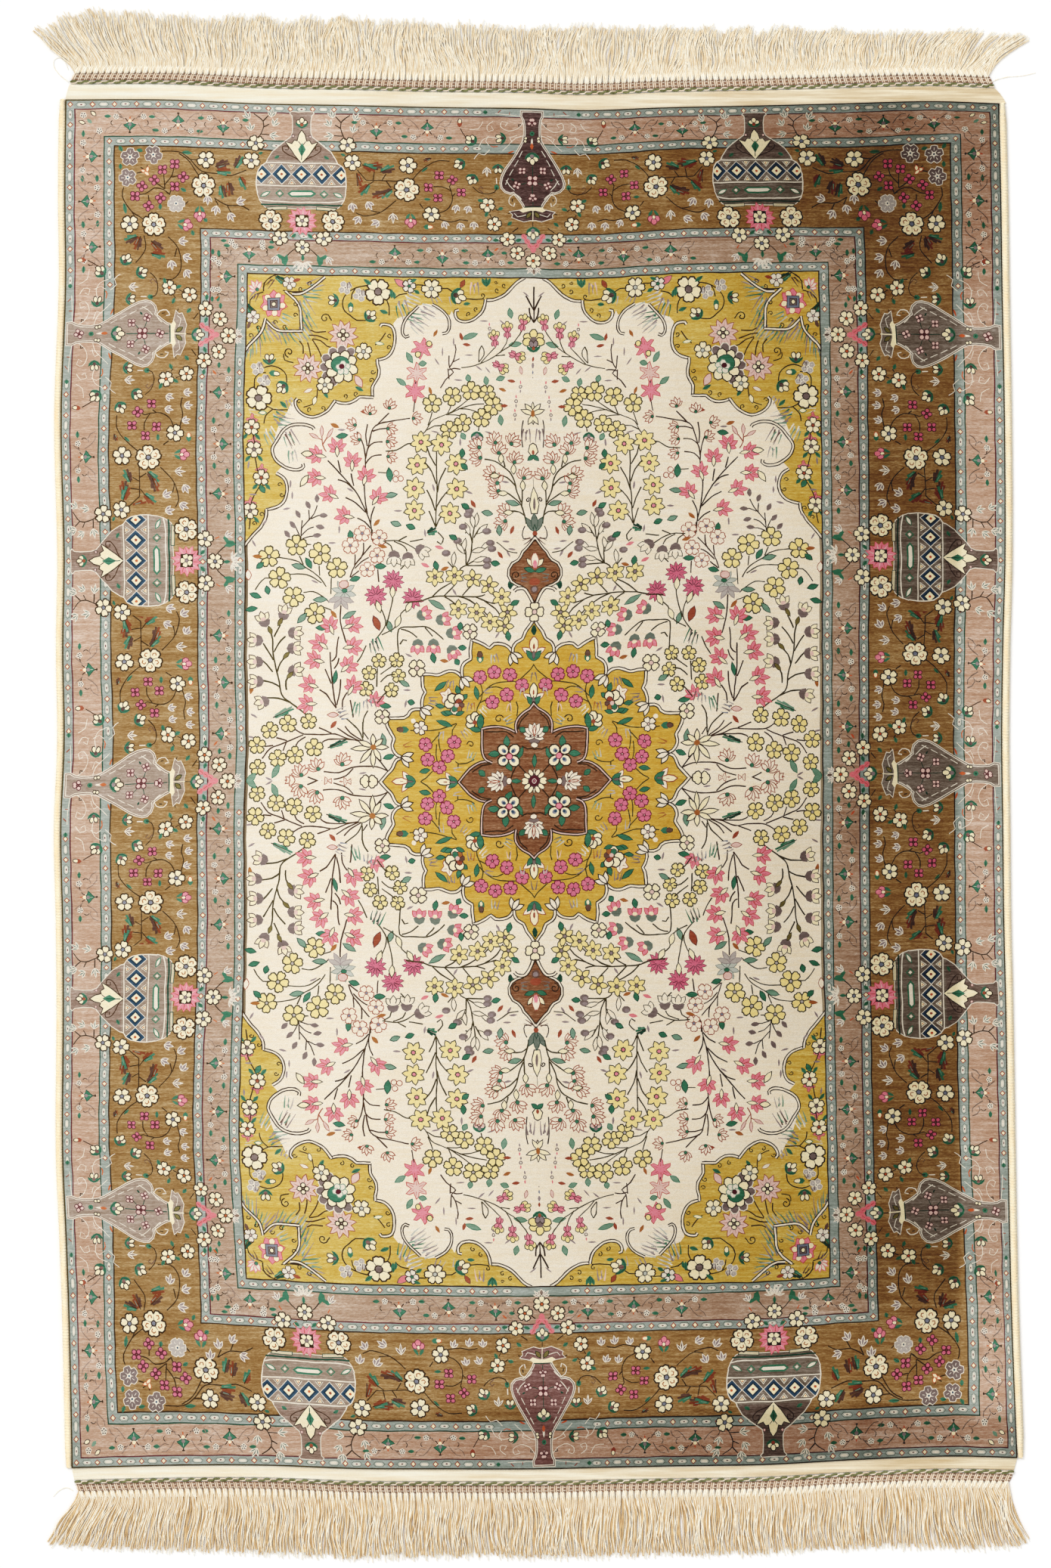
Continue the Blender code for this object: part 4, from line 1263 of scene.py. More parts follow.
# %% Small leaves between the sprays
def draw_upper_leaves(chart):
    """Small things between the sprays."""
    for x, y, turn, yarn in rows("""610,445,75,rust 617,456,10,rust 665,516,20,ochre 576,441,120,ochre
            569,517,70,ochre 676,504,10,rust 666,537,0,rust"""):
        leaf(chart, x, y, turn, 11, 4.4, yarn)
    sow(chart, leaf, """620,470,0 578,478,55 585,465,90 606,503,5 576,572,15 646,572,15 696,390,40 640,425,0
        665,427,40 633,487,40 645,490,50 600,452,90""", 12, 2.0, "lilac")
    for x, y in rows("688,512 683,531 681,549 647,435"):
        chart.patch("lilac_grey", oval(x, y, 2.4, 2.6, 7))
        chart.patch("white", oval(x, y, 1.3, 1.5, 6))
        leaf(chart, x, y - 6, 90, 5, 2, "coral_pink")
        leaf(chart, x, y + 6, 90, 5, 2, "lilac")


# %% The stem on the middle line
def draw_top_stem(chart):
    """The stem on the middle line."""
    twig(chart, "706,380 706,427 / 706,412 700,400 696,392 / 706,427 701,418 700,408", "dark_brown", 1.8)
    ring(chart, MID, 451, (-150, -90, -30, -190, 10), "pale_yellow", "dark_olive", oval(9, 0, 6.0, 5.0, 8),
        1.2)
    chart.patch("lilac_grey", oval(MID, 451, 6, 5.5, 8))
    cup(chart, MID, 461, -90, 1.2, 2, "lilac", "rust")
    for y, yarn, r in rows("476,rust,2.2 484,lilac,2.6 493,blue_lilac,2.0 500,dark_brown,1.4"):
        chart.patch(yarn, oval(MID, y, r, r * 1.6, 7))


# %% Ivory field: the side and middle sprays
def bell(chart, x, y, turn, size=1.0, petal="cream", cap="lilac_grey", edge="brown", mouth="pale_pink"):
    """A bell with a soft grey cap, seen from its side; it opens the way that it points."""
    spot = Spot(chart, x, y, turn, size)
    for angle in (-42, 42, 0):
        spot.edged(petal, edge, drop(1, 0, 11.5, 6.4, angle), 0.9)
    spot.patch(mouth, oval(3.5, 0, 2.4, 3.2, 7))
    spot.patch(cap, rows("-6.5,0 -4,5 1,7 2.5,4 0.5,0 2.5,-4 1,-7 -4,-5"))


def pink_bell(chart, x, y, turn, size=1.0):
    bell(chart, x, y, turn, size, "pink", "grey_green", "coral", "cream")


def white_bloom(chart, x, y, r, turn=-90):
    blossom(chart, x, y, r, "ivory", "rust", "blue_lilac", 5, turn, 0.9, 0.18, 1.05)


def tube_lily(chart, x, y, turn, size=1.0, tube=True):
    """A pink lily with the dark-edged tube that it springs from."""
    lily(chart, x, y, turn, size)
    if tube:
        outlined(chart, x - 5 * cos(radians(turn)), y - 5 * sin(radians(turn)), turn, 13, 4.5, "cream",
            "dark_brown", 0.9)


def draw_grey_sprig(chart):
    """The grey-leaved sprig."""
    twig(chart, """399,714 400,700 401,688 / 400,699 410,687 416,679 420,668 / 410,687 409,674 / 412,686
        421,682 431,681 / 399,712 395,702 391,695 / 400,708 408,700 416,697 / 401,712 411,709 416,709""",
        "dark_brown")
    sow(chart, leaf, """395,680,60 408,667,65 420,659,90 428,682,0 388,694,50 424,697,15 420,708,-5
        381,706,50""", 12, 6.5, "lilac_grey")


# %% Yellow blossoms by the side
def draw_side_blossoms(chart):
    """Yellow blossoms by the side."""
    twig(chart, """368,737 383,739 396,743 404,750 415,757 425,765 432,776 / 397,735 402,747 / 383,759
        400,759 412,762 426,771 / 423,748 424,761 / 402,783 415,782 427,789 436,797 / 439,764 438,786 /
        428,803 439,807 / 362,765 352,764 344,772 339,780 / 403,720 412,720""", "dark_olive", 1.3)
    sow(chart, yellow_bloom, """357,736,14,-90 393,721,14,-90 424,732,15,-110 446,751,13.5,-90
        371,764,14.5,-80 389,789,14,-60 417,811,14,-100""")
    for x, y, turn, long in rows("""396,749,15,17 409,745,60,15 345,747,-40,11 424,793,0,17 339,787,20,14
            355,780,80,10 453,576,-10,14 464,708,80,12 503,749,0,14 470,766,-15,13 517,655,-10,16
            334,805,-10,14 400,817,-45,16 425,830,0,13 462,813,-30,18 515,828,70,16 348,646,60,11
            508,933,8,15 506,979,80,17 513,1001,-20,14"""):
        leaf(chart, x, y, turn, long, 6.4, "pale_teal" if long > 15 else "teal", None, "deep_teal")
    for x, y, turn, yarn in rows("""342,735,5,ochre 498,691,-45,ochre 506,723,15,ochre 442,812,50,ochre
            441,958,-50,rust 333,910,100,ochre 443,563,20,ochre 483,545,0,rust"""):
        leaf(chart, x, y, turn, 13, 5.5, yarn)
    outlined(chart, 498, 824, 70, 20, 9, "rust", "maroon", 0.8)
    outlined(chart, 330, 760, 85, 13, 7, "ivory", "rust", 0.9)
    sow(chart, leaf, """417,769,25 463,648,30 330,614,95 336,654,0 338,718,60 352,690,-50 385,640,90
        388,655,90 380,673,-10 336,945,30 333,972,10 355,1027,30 440,718,0 452,568,0 478,1022,-10
        449,700,90""", 11, 2.6, "lilac")


# %% Pink lilies
def draw_lilies(chart):
    """Pink lilies on a branching stem."""
    twig(chart, """434,609 449,625 462,640 473,655 484,676 489,690 491,700 492,714 / 447,609 451,625 /
        465,626 468,643 / 447,634 458,638 470,650 / 484,620 482,645 484,668 486,680 / 457,658 470,665
        484,678 / 496,670 491,682 490,696 / 473,685 482,690 490,699""", "dark_brown", 1.5)
    sow(chart, tube_lily, """420,602,190 446,592,-90 466,611,-90 419,632,180 484,630,-75 437,654,205
        500,658,-55 457,682,190""", 1.22)
    twig(chart, "426,573 427,588 432,597 / 427,588 436,574 / 426,582 416,577", "rust")
    sow(chart, outlined, "426,571,-90 437,573,-60 416,577,-150", 14, 4, "pale_pink", "rust", 0.7)
    sow(chart, outlined, "407,600,5,14 403,636,-55,16", 7, "cream", "dark_olive", 1.1)


# %% White stars
def draw_white_stars(chart):
    """White stars with teal eyes."""
    twig(chart, """484,618 483,600 479,584 472,571 / 484,607 487,592 495,585 506,584 / 484,613 492,604
        505,602 / 487,593 490,578 494,566 503,560 520,557 542,553 / 486,590 484,575 486,561 / 493,570
        503,567 514,567 / 498,563 508,553 515,546""", "brown", 1.5)
    sow(chart, fan, """515,540,-80 470,562,190 476,582,200 489,548,-90 513,567,10 512,584,5 513,604,5
        546,553,0""", 0.95, "ivory", "rust", 5)


# %% Little white blossoms
def draw_white_blossoms(chart):
    """Little white blossoms in coral line."""
    twig(chart, """492,700 493,716 / 481,718 480,733 470,746 465,758 463,764 / 470,733 469,747 / 491,721
        478,736 470,746 / 488,737 479,742 469,752 / 475,755 464,764 / 500,753 501,770""", "brown", 1.4)
    sow(chart, white_bloom, "479,706,10.5 464,722,10.5 502,711,10.5 499,735,10 486,753,10")
    twig(chart, "500,625 512,626", "dark_olive")
    leaf(chart, 515, 628, 85, 17, 8, "teal", None, "deep_teal")
    for x, y in rows("524,626 530,633 523,634"):
        chart.patch("rust", oval(x, y, 4.2, 4.2, 8))
        chart.patch("ivory", oval(x, y, 3.2, 3.2, 8))


# %% The poppy
def draw_poppy(chart):
    """A grey poppy."""
    ring(chart, 455, 783, range(15, 375, 45), "pale_grey", "grey_green", drop(1, 0, 15, 6, 0), 0.6)
    ring(chart, 451, 790, (60, 120, 20, 160), "pale_lilac", "lilac", drop(0, 0, 17, 6, 0), 0.7)
    Spot(chart, 455, 778).edged("pale_pink", "rust", oval(0, -5, 6, 5, 8), 0.8)
    Spot(chart, 456, 781).edged("teal", "deep_teal", oval(0, 0, 3.6, 2.4, 7), 0.6)


# %% Carnations
def draw_carnations(chart):
    """Carnations."""
    for x, y, turn in rows("497,788,-110 520,768,-90 546,791,-80"):
        spiky(chart, x, y, 14, "magenta", "crimson", 11, turn, 0.6, 0.7)
        for k in range(5):
            a = radians(turn + (k - 2) * 34)
            line(chart, "maroon", [(x + 2 * cos(a), y + 2 * sin(a)), (x + 9 * cos(a), y + 9 * sin(a))], 0.9)
    twig(chart, """500,798 507,810 510,826 503,838 496,846 / 520,780 519,795 515,812 511,828 / 543,802
        530,812 527,822 520,832 505,840""", "dark_olive", 1.4)
    sow(chart, outlined, "519,783,90 541,803,120 501,802,70 526,822,110", 15, 6.5, "cream",
        "dark_olive", 1.0)


# %% The branch of bells
def draw_bell_branch(chart):
    """The branch of bells."""
    twig(chart, """408,946 396,937 383,928 373,918 370,900 366,886 362,866 361,845 357,832 / 363,842 371,826
        / 363,862 369,851 378,841 / 362,872 356,861 349,850 / 367,888 371,876 381,865 / 361,888 353,878
        347,872 / 371,908 361,902 345,898 / 379,912 379,900 385,890 / 383,928 368,922 353,921""",
        "dark_olive", 1.7)
    sow(chart, bell, """351,822,-110 376,813,-75 388,836,5 342,846,185 387,857,0 342,874,180 388,886,-10
        342,900,180 350,926,165""", 1.12)
    sow(chart, outlined, "358,833,70 371,822,-60 379,866,-45 384,892,-50", 11, 4.5, "olive",
        "dark_olive", 0.8)
    feather_pair(chart, 375, 941, -25, 28, 5, "teal", "pale_teal")


# %% Small yellow blossoms
def draw_low_branch(chart):
    """Small yellow blossoms along a low branch."""
    twig(chart, """390,963 402,970 425,971 443,970 458,976 478,981 488,988 / 421,962 438,969 / 401,971
        385,977 372,982 357,988 347,1001 / 365,974 379,978 / 350,985 361,984 / 378,980 374,991 / 404,974
        394,980 391,987 / 425,981 433,977 455,977 472,979 / 446,962 460,972 476,980 / 456,960 463,969
        478,979""", "brown", 1.5)
    sow(chart, yellow_bloom, """408,953,10.5 381,956,11.5 357,964,11 340,983,11.5 367,1001,11.5 390,997,11.5
        415,988,11.5 341,1012,10.5 501,874,9.5 488,890,9.5 484,911,10 517,913,9.5 524,873,9.5
        527,894,9.5""")
    feather_pair(chart, 446, 983, -18, 26, 4.5, "teal", "deep_teal")
    sow(chart, leaf, "364,1018,-60 332,1026,-45", 17, 7, "pale_teal", None, "teal")


# %% Coral fans
def draw_side_fans(chart):
    """Coral fans."""
    twig(chart, """427,1020 447,1021 463,1015 480,1013 497,1014 511,1020 / 466,1016 456,1025 440,1030 /
        393,1036 420,1036 / 406,1026 421,1033""", "brown", 1.5)
    sow(chart, fan, "420,1017,-115 452,1011,-85 398,1024,-110 389,1035,180", 1.25, "ivory", "rust", 6)
    for x in (431, 456):
        spiky(chart, x, 1037, 9.5, "ivory", "rust", 7, 0, 0.5, 0.7)
        chart.patch("blue_lilac", oval(x, 1037, 3, 3, 7))


# %% Lilies near the star
def draw_star_lilies(chart):
    """Pink lilies near the star."""
    twig(chart, """437,862 438,885 440,908 444,936 / 430,884 434,894 438,904 / 423,912 432,918 437,926
        444,936 / 439,874 445,868 446,852 448,842 / 442,884 447,877 449,870 / 450,898 449,915 445,932 /
        452,938 453,925 459,915 / 463,925 465,940 466,949 / 451,800 451,822 455,840 458,850""", "brown",
        1.6)
    sow(chart, tube_lily, """437,828,-110 466,827,-20 424,851,215 466,855,-10 417,873,190 460,881,-40
        410,905,200 466,908,-60 407,930,180""", 1.25)
    tube_lily(chart, 496, 927, -60, 1.1, False)
    outlined(chart, 440, 945, 0, 13, 6, "pale_pink", "rust", 0.8)
    leaf(chart, 443, 895, 100, 17, 5, "teal", None, "deep_teal")
    twig(chart, """457,950 465,957 474,966 479,978 / 479,955 479,975 / 486,940 480,951 479,968 / 484,853
        478,867 472,876 / 499,884 498,908 / 503,892 514,884 521,878 / 503,902 512,894 522,892 / 498,930
        505,920 511,914""", "dark_olive", 1.5)
    strokes(chart, 453, 943, -20, 14, "pale_lilac+lilac_grey+blue_lilac", 4)
    strokes(chart, 488, 931, 80, 14, "lilac_grey+pale_lilac+blue_lilac", 4)
    strokes(chart, 497, 854, 70, 20, "teal+lilac_grey+deep_teal", 4)
    strokes(chart, 471, 938, 100, 18, "pale_teal+teal", 3)


# %% The wide-open lily
def draw_wide_lily(chart):
    """The wide-open lily at the star's tip."""
    for angle, long in rows("-90,15 175,26 205,18 130,24 90,24 60,18 0,18 -40,14"):
        Spot(chart, 492, 988, angle).edged("cream", "dark_brown", drop(2, 0, long, 6, 0), 1.2)
    chart.patch("ochre", oval(492, 988, 4, 4, 8))
    twig(chart, "497,1002 505,1012 511,1020 / 480,968 486,977", "dark_brown", 1.5)


# %% Ivory field: the sprays by the middle line
def draw_upright_stem(chart):
    """Yellow stars on an upright stem."""
    twig(chart, """576,700 577,680 577,660 578,640 577,615 577,594 / 564,590 568,602 576,616 / 562,612
        571,624 577,640 / 590,619 582,635 578,651 / 564,648 571,662 576,676 / 591,650 583,660 577,672 /
        568,676 572,686 576,697 / 586,681 580,689 577,697 / 510,597 525,595 539,587 552,587 / 579,704
        586,712 583,720 578,716""", "dark_olive", 1.5)
    for x, y, turn in rows("""557,585,-90 584,588,-60 552,615,-90 603,614,-70 548,646,-80 604,647,-100
            548,675,-90 595,679,-90"""):
        star(chart, x, y, 14, "pale_yellow", "dark_olive", "pink", 7, turn, 1.1)
    feather_pair(chart, 571, 703, -20, 13, 6, "teal", "deep_teal")


# %% Coral fans on a bent stem
def draw_bent_stem(chart):
    """Coral fans on a bent stem."""
    twig(chart, """696,694 694,683 689,668 681,660 670,652 662,650 / 690,670 690,648 / 689,665 682,648
        680,637 674,625 666,618 655,611 641,608 / 668,618 666,610 663,606 / 694,683 687,678 676,677 /
        681,643 670,632 660,629""", "dark_olive", 1.6)
    sow(chart, fan, """636,606,185 634,592,200 660,600,-90 655,586,-110 676,588,-60 680,612,-80 693,634,-80
        654,627,185 660,650,190 672,678,200 658,640,240 668,690,160""", 1.2, "ivory", "rust", 6)
    sow(chart, outlined, "663,607,90 679,621,90 691,643,90 654,630,0 665,653,0 672,679,0", 12, 6,
        "cream", "dark_olive", 1.0)


# %% A leafy sprig
def draw_leafy_sprig(chart):
    """A leafy sprig with lilac buds."""
    twig(chart, """616,748 616,730 613,718 607,722 / 616,748 622,735 625,715 627,700 630,680 / 625,718
        620,702 615,706 / 627,712 635,698 / 616,748 636,736 / 616,748 640,748 / 616,748 609,752 606,760 /
        600,752 592,743""", "dark_olive", 1.5)
    sow(chart, outlined, """630,688,-85 618,700,-110 614,722,-80 638,700,-45 642,722,-40 634,740,-15
        600,740,-85 632,728,-10 609,726,230 625,690,-100""", 17, 5.5, "ivory", "dark_olive", 1.0)
    for x, y in rows("612,697 644,703 605,716 648,719 650,727 590,732 644,742 644,749 621,676 619,681"):
        chart.patch("lilac_grey", oval(x, y, 6, 4.6, 8))
        chart.patch("lilac", oval(x - 1, y - 1, 3.5, 2.6, 7))


# %% White bells
def draw_grey_bells(chart):
    """Grey-capped white bells."""
    twig(chart, """507,716 525,715 540,720 553,729 / 527,715 538,709 / 542,716 560,713 / 509,717 517,722
        519,729 / 521,716 534,722 538,729 / 530,753 538,745""", "dark_olive", 1.4)
    sow(chart, bell, "521,735,90 539,737,88 556,727,40", 1.15, "ivory", "lilac_grey", "dark_olive", "ivory")


# %% Yellow stars on a low branch
def draw_long_branch(chart):
    """Yellow stars on a long low branch."""
    twig(chart, """536,797 555,795 572,790 588,789 606,789 630,790 641,787 / 570,791 583,779 597,771 /
        587,789 600,776 604,770 / 611,788 622,776 625,772 / 606,789 620,794 636,806 645,815 / 628,790
        646,797 655,799 / 588,790 597,795 603,800 / 640,795 655,806 664,820""", "dark_olive", 1.6)
    for x, y, turn in rows("""575,763,-90 601,762,-90 625,766,-95 646,775,-80 663,791,-90 606,806,-90
            630,811,-90 671,811,-60 647,823,-90 666,829,-70"""):
        star(chart, x, y, 12.5, "pale_yellow", "dark_olive", "lilac", 5 if turn != -90 else 6, turn, 1.1)


# %% Pink bells
def draw_pink_bells(chart):
    """Pink bells."""
    twig(chart, """527,866 526,838 530,830 545,829 563,829 575,836 586,846 / 530,832 541,835 551,843 /
        562,830 572,842 / 529,852 533,846 538,847""", "dark_olive", 1.5)
    sow(chart, pink_bell, "552,852,90 573,852,90 597,860,65 596,838,-5 583,820,-10 558,814,-25", 1.1)


# %% Leaves near the middle line
def draw_middle_leaves(chart):
    """Leaves and small things."""
    for x, y, turn, long in rows("""611,600,90,11 614,617,40,10 524,693,20,13 543,697,20,11 576,748,80,11
            678,666,15,17 660,702,85,13 655,746,10,11 599,711,30,11 616,670,30,11 644,679,10,13
            680,799,-30,11 577,800,30,24 671,842,80,12 675,773,-60,9 608,829,100,10 611,857,0,10
            573,870,80,12 604,876,60,8 535,904,30,13 543,929,10,8"""):
        leaf(chart, x, y, turn, long, 6.4, "pale_teal" if long > 12 else "teal", None, "deep_teal")
    for x, y, turn, yarn in rows("""677,702,110,rust 661,735,50,rust 581,724,15,coral_pink
            562,748,25,coral_pink 626,667,60,rust 587,874,10,ochre 588,752,-20,ochre"""):
        leaf(chart, x, y, turn, 12, 5, yarn)
    sow(chart, leaf, """609,585,90 620,652,20 573,645,80 668,638,10 562,705,80 669,717,5 677,727,5
        672,733,60 601,783,60 526,676,0 538,913,0 536,931,100 657,841,120 540,867,30""", 11, 2.8, "lilac")
    twig(chart, "656,718 664,724 672,730 684,732", "dark_olive")


# %% The spindle and its buds
def draw_spindle(chart):
    """On the middle line: pale spindles and buds."""
    ring(chart, MID, 548, (-90, -130, -50, -160, -20), "cream", "dark_brown", drop(0, 0, 17, 5.5, 0), 1.0)
    ring(chart, MID, 548, (90, 60, 120), "cream", "dark_brown", drop(0, 0, 15, 5, 0), 1.0)
    chart.patch("ochre", oval(MID, 547, 4, 5.5, 8))
    for side in (-1, 1):
        line(chart, "dark_brown", mirrored(side, "14,556 16,570 15,592", MID), 1.4)
        strokes(chart, MID + side * 10, 577, 90, 18, "lilac+lilac_grey", 4)
    Spot(chart, MID, 596).edged("cream", "dark_brown", rows("-7,2 -5,-6 0,-9 5,-6 7,2 3,7 -3,7"), 1.2)
    chart.patch("rust", oval(MID, 599, 3, 3.6, 8))
    for side in (-1, 1):
        leaf(chart, MID + side * 4, 606, 90 - side * 50, 10, 5, "teal", None, "deep_teal")
    line(chart, "dark_olive", [(MID, 608), (MID, 645)], 1.3)
    for yarn, grow in rows("dark_brown,1.2 cream,0.0"):
        chart.patch(yarn, swell(rows("706,646 709.5,655 711.5,668 709,680 703,680 700.5,668 702.5,655"),
            grow))
    chart.patch("lilac_grey", drop(MID, 658, 18, 3.4, 90))
    for side in (-1, 1):
        curl(chart, MID + side * 8, 662, 3.4, 0, side, "dark_brown", 1.4)
        line(chart, "dark_brown", mirrored(side, "12,697 15,704 14,713 5,713", MID), 1.3)
        strokes(chart, MID + side * 9, 716, 90 - side * 60, 12, "brown_lilac", 3)
    for v in (-30, 0, 30):
        leaf(chart, MID + v * 0.15, 692 + abs(v) * 0.12, -90 + v, 22, 7, "grey_green", None, "deep_teal")
    chart.patch("rust", oval(MID, 707, 2.4, 3.6, 7))


# %% The gold star
STAR_EDGE = paths("""499,1036 508,1026 516,1018 519,1012 523,1005 531,1001 / 531,1001 524,998 519,991
    518,984 520,977 515,968 511,959 511,950 / 511,950 522,950 534,949 539,946 542,941 548,938 558,938 /
    558,938 557,930 559,921 562,916 559,910 558,900 558,892 / 558,892 568,892 578,893 586,890 593,888
    601,889 607,893 611,898 / 611,898 610,888 612,880 617,875 622,872 622,861 624,846 / 624,846 634,850
    641,854 647,858 653,853 663,853 672,857 678,866 / 678,866 678,858 682,851 690,846 694,837 700,829
    706,820""")
HEART_EDGE = paths("""603,1036 611,1027 619,1018 629,1011 639,1008 649,1010 / 649,1010 641,1006 637,997
    636,982 636,964 / 636,964 648,962 662,963 674,966 682,970 / 682,970 681,959 684,950 691,943 699,938
    706,930""")
STAR_PINKS = rows("""634,896 653,890 673,893 689,907 669,920 650,929 561,985 564,1005 579,1015 599,982
    590,1000""")


PAST_X, PAST_Y = 715, 1046  # a little past both middle lines


def filled(chart, yarn, sides):
    """Fills everything from a star's edge, given side by side, to its middle."""
    edge = [p for side in sides for p in smooth(side, 4.0)[:-1]]
    first_x, last_y = sides[0][0][0], sides[-1][-1][1]
    chart.patch(yarn, edge + [(MID, last_y), (PAST_X, last_y), (PAST_X, PAST_Y), (first_x, PAST_Y)])


def draw_star_ground(chart):
    """The star's gold, with its stems and leaves."""
    filled(chart, "star_gold", STAR_EDGE)
    # stems
    twig(chart, """634,903 637,914 635,926 630,937 629,948 / 633,922 640,914 651,906 666,903 684,902 /
        646,910 655,909 664,912 / 632,931 641,926 / 684,901 693,893 701,886 706,878 / 673,928 673,941 /
        681,929 683,936 682,948 / 603,957 586,963 575,966 560,967 541,966 / 603,958 597,966 597,974 /
        580,968 579,980 581,994 / 576,984 575,998 577,1009 / 579,972 573,979 568,984 / 571,1020 562,1029
        552,1036 562,1043 / 600,1008 605,1011 616,1010 626,1005 / 604,1011 604,1017""", "dark_olive", 1.3)
    for x, y in STAR_PINKS:
        blossom(chart, x, y, 8.8, "rose", "crimson", "pale_pink", 5, -90 if (x + y) % 2 else -60, 1.1, 0.1,
            1.1)
    curl(chart, 659, 952, 6.5, -20, -1, "dark_brown", 1.5, 1.1)
    curl(chart, 621, 985, 5.5, 180, 1, "dark_brown", 1.3, 1.0)
    bud(chart, 634, 872, -90, 1.6, "brown_lilac", "brown", "teal")
    chart.patch("cream", oval(634, 873, 2.2, 3.0, 7))
    bud(chart, 534, 965, 180, 1.6, "brown_lilac", "brown", "teal")
    sow(chart, leaf, """629,917,80,17 582,908,-40,19 605,913,75,12 586,957,20,21 560,1020,-10,13
        588,944,15,12 613,922,-40,9""", 6, "teal", None, "deep_teal")
    for x, y, turn, yarns in rows("""572,927,5,lilac_grey+lilac 580,934,25,grey_green
            653,872,80,lilac+pale_grey 595,906,95,lilac+lilac_grey 672,953,-30,pale_grey+grey_green
            615,970,50,pale_cream+lilac 622,999,-70,pale_grey+pale_teal 640,940,35,pale_cream+white
            645,914,-20,lilac 583,973,100,pale_lilac 622,936,90,ochre+lilac 706,897,90,lilac+lilac_grey
            604,1018,0,pale_lilac 672,937,90,pale_pink 690,917,90,pale_lilac 538,985,-20,ochre"""):
        strokes(chart, x, y, turn, 12, yarns, 3.4)


# %% The star's mixed flowers
def draw_mixed_flowers(chart):
    """The two mixed flowers."""
    spiky(chart, 592, 921, 11, "ivory", "rust", 5, 200, 0.6, 0.8)
    ring(chart, 602, 931, (100, 180, 240, 300), "cream", "dark_brown", oval(8.5, 0, 6, 5.6, 8), 1.5)
    for angle, yarn in rows("-60,rust 0,brown_lilac 60,ochre 120,teal"):
        Spot(chart, 603, 933, angle).edged(yarn, "maroon", oval(5.4, 0, 4.2, 3.6, 7), 0.8)
    chart.patch("pale_pink", oval(603, 933, 3.0, 3.0, 7))
    sow(chart, leaf, "592,943,200 607,944,160 581,934,190", 11, 5, "teal", None, "deep_teal")
    ring(chart, 627, 955, (150, 210, 270, 330), "cream", "dark_brown", oval(6.5, 0, 5.6, 4.8, 8), 1.4)
    leaf(chart, 634, 955, 95, 20, 8, "teal", None, "deep_teal")
    leaf(chart, 628, 965, 10, 14, 6, "teal", None, "deep_teal")
    chart.patch("rust", oval(627, 956, 3, 3, 7))
    blossom(chart, 555, 963, 9.5, "ivory", "brown", "pale_pink", 5, -70, 1.1, 0.15)
    chart.patch("ivory", oval(546, 953, 3.4, 3.4, 7))


# %% The star's palmettes
def draw_star_palmettes(chart):
    """Palmettes on the middle lines."""
    for x, y, turn, size in rows("706,861,-90,1.0 706,921,-90,0.95 533,1036,180,1.0 590,1036,180,0.9"):
        spot = Spot(chart, x, y, turn, size)
        for v in (-1, 1):
            spot.edged("ivory", "rust", drop(-6, v * 2, 16, 7, v * 58), 0.9)
            spot.edged("teal", "deep_teal", drop(-15, 0, 17, 7, v * 38), 0.8)
        spot.edged("cream", "dark_brown" if size < 1 else "rust", oval(6, 0, 11, 6.5, 9), 1.2)
        spot.patch("rust", oval(4, 0, 5.0, 2.8, 8))
        spot.edged("lilac_grey", "plum_grey", oval(-7, 0, 6, 3.2, 8), 0.6)
    leaf(chart, MID, 835, 90, 17, 9, "deep_teal")


# %% The star's brown heart
def draw_star_heart(chart):
    """The brown heart of the star."""
    filled(chart, "medallion_brown", HEART_EDGE)
    for side in HEART_EDGE:
        line(chart, "dark_brown", side, 4.6)
        line(chart, "pale_pink", side, 1.5)
    twig(chart, """648,1012 636,1013 622,1022 / 640,968 655,969 668,969 678,976 / 684,965 688,953 697,944 /
        684,1012 692,1022 699,1030 / 688,988 696,992 706,993 706,1018 / 664,1036 690,1036 / 682,1013
        676,1024 672,1036""", "dark_brown", 1.6)
    for x, y, turn, long in rows("""668,982,90,15 652,998,-5,15 685,998,-60,18 671,1014,60,15 635,1023,45,10
            680,1036,0,15 706,1008,90,22 690,966,40,9"""):
        leaf(chart, x, y, turn, long, 7 if long < 12 else 8, "teal", None, "deep_teal")
    for angle in (-135, -45, 135, 45):
        Spot(chart, 671, 1000, angle).edged("cream", "dark_brown", oval(10.5, 0, 7, 6.2, 9), 1.7)
        Spot(chart, 671, 1000, angle).patch("blue_lilac", oval(9, 0, 3.6, 2.8, 7))
        Spot(chart, 671, 1000, angle).patch("navy", oval(8, 0, 2.2, 1.8, 6))
    chart.patch("crimson", oval(672, 1001, 5.0, 5.0, 8))
    chart.patch("pink", oval(672, 1001, 3.8, 3.8, 8))
    for x, y, turn in ((MID, 972, -90), (656, 1036, 180)):
        spot = Spot(chart, x, y, turn)
        for angle in (-105, 105, -76, 76, -50, 50, -25, 25, 0):
            spot.edged("ivory", "brown", drop(-3, 0, 20 - abs(angle) * 0.06, 7.5, angle), 0.7)
        spot.patch("rust", oval(4, 0, 9, 3.4, 9))
        spot.patch("ivory", oval(4, 0, 7.6, 2.2, 8))
        spot.patch("dark_brown", oval(4, 0, 6.0, 1.0, 8))
        for side in (-1, 1):
            spot.patch("plum", oval(-3, side * 6, 2.2, 1.6, 6))
        spot.edged("lilac_grey", "plum", oval(-10, 0, 3, 8, 8), 0.8)
        spot.edged("ivory", "brown", oval(-15, 0, 3.4, 5.5, 8), 0.8)
    petals = [360 / 14 * (k + 0.5) for k in range(14)]
    ring(chart, MID, STAR_Y, petals, "cream", "dark_brown", oval(14.2, 0, 4.6, 2.6, 8), 0.8)
    for yarn, r in rows("plum_grey,10.4 maroon,9.4 pale_pink,5.6 maroon,4.6 pink,3.4"):
        chart.patch(yarn, oval(MID, STAR_Y, r, r, 12))


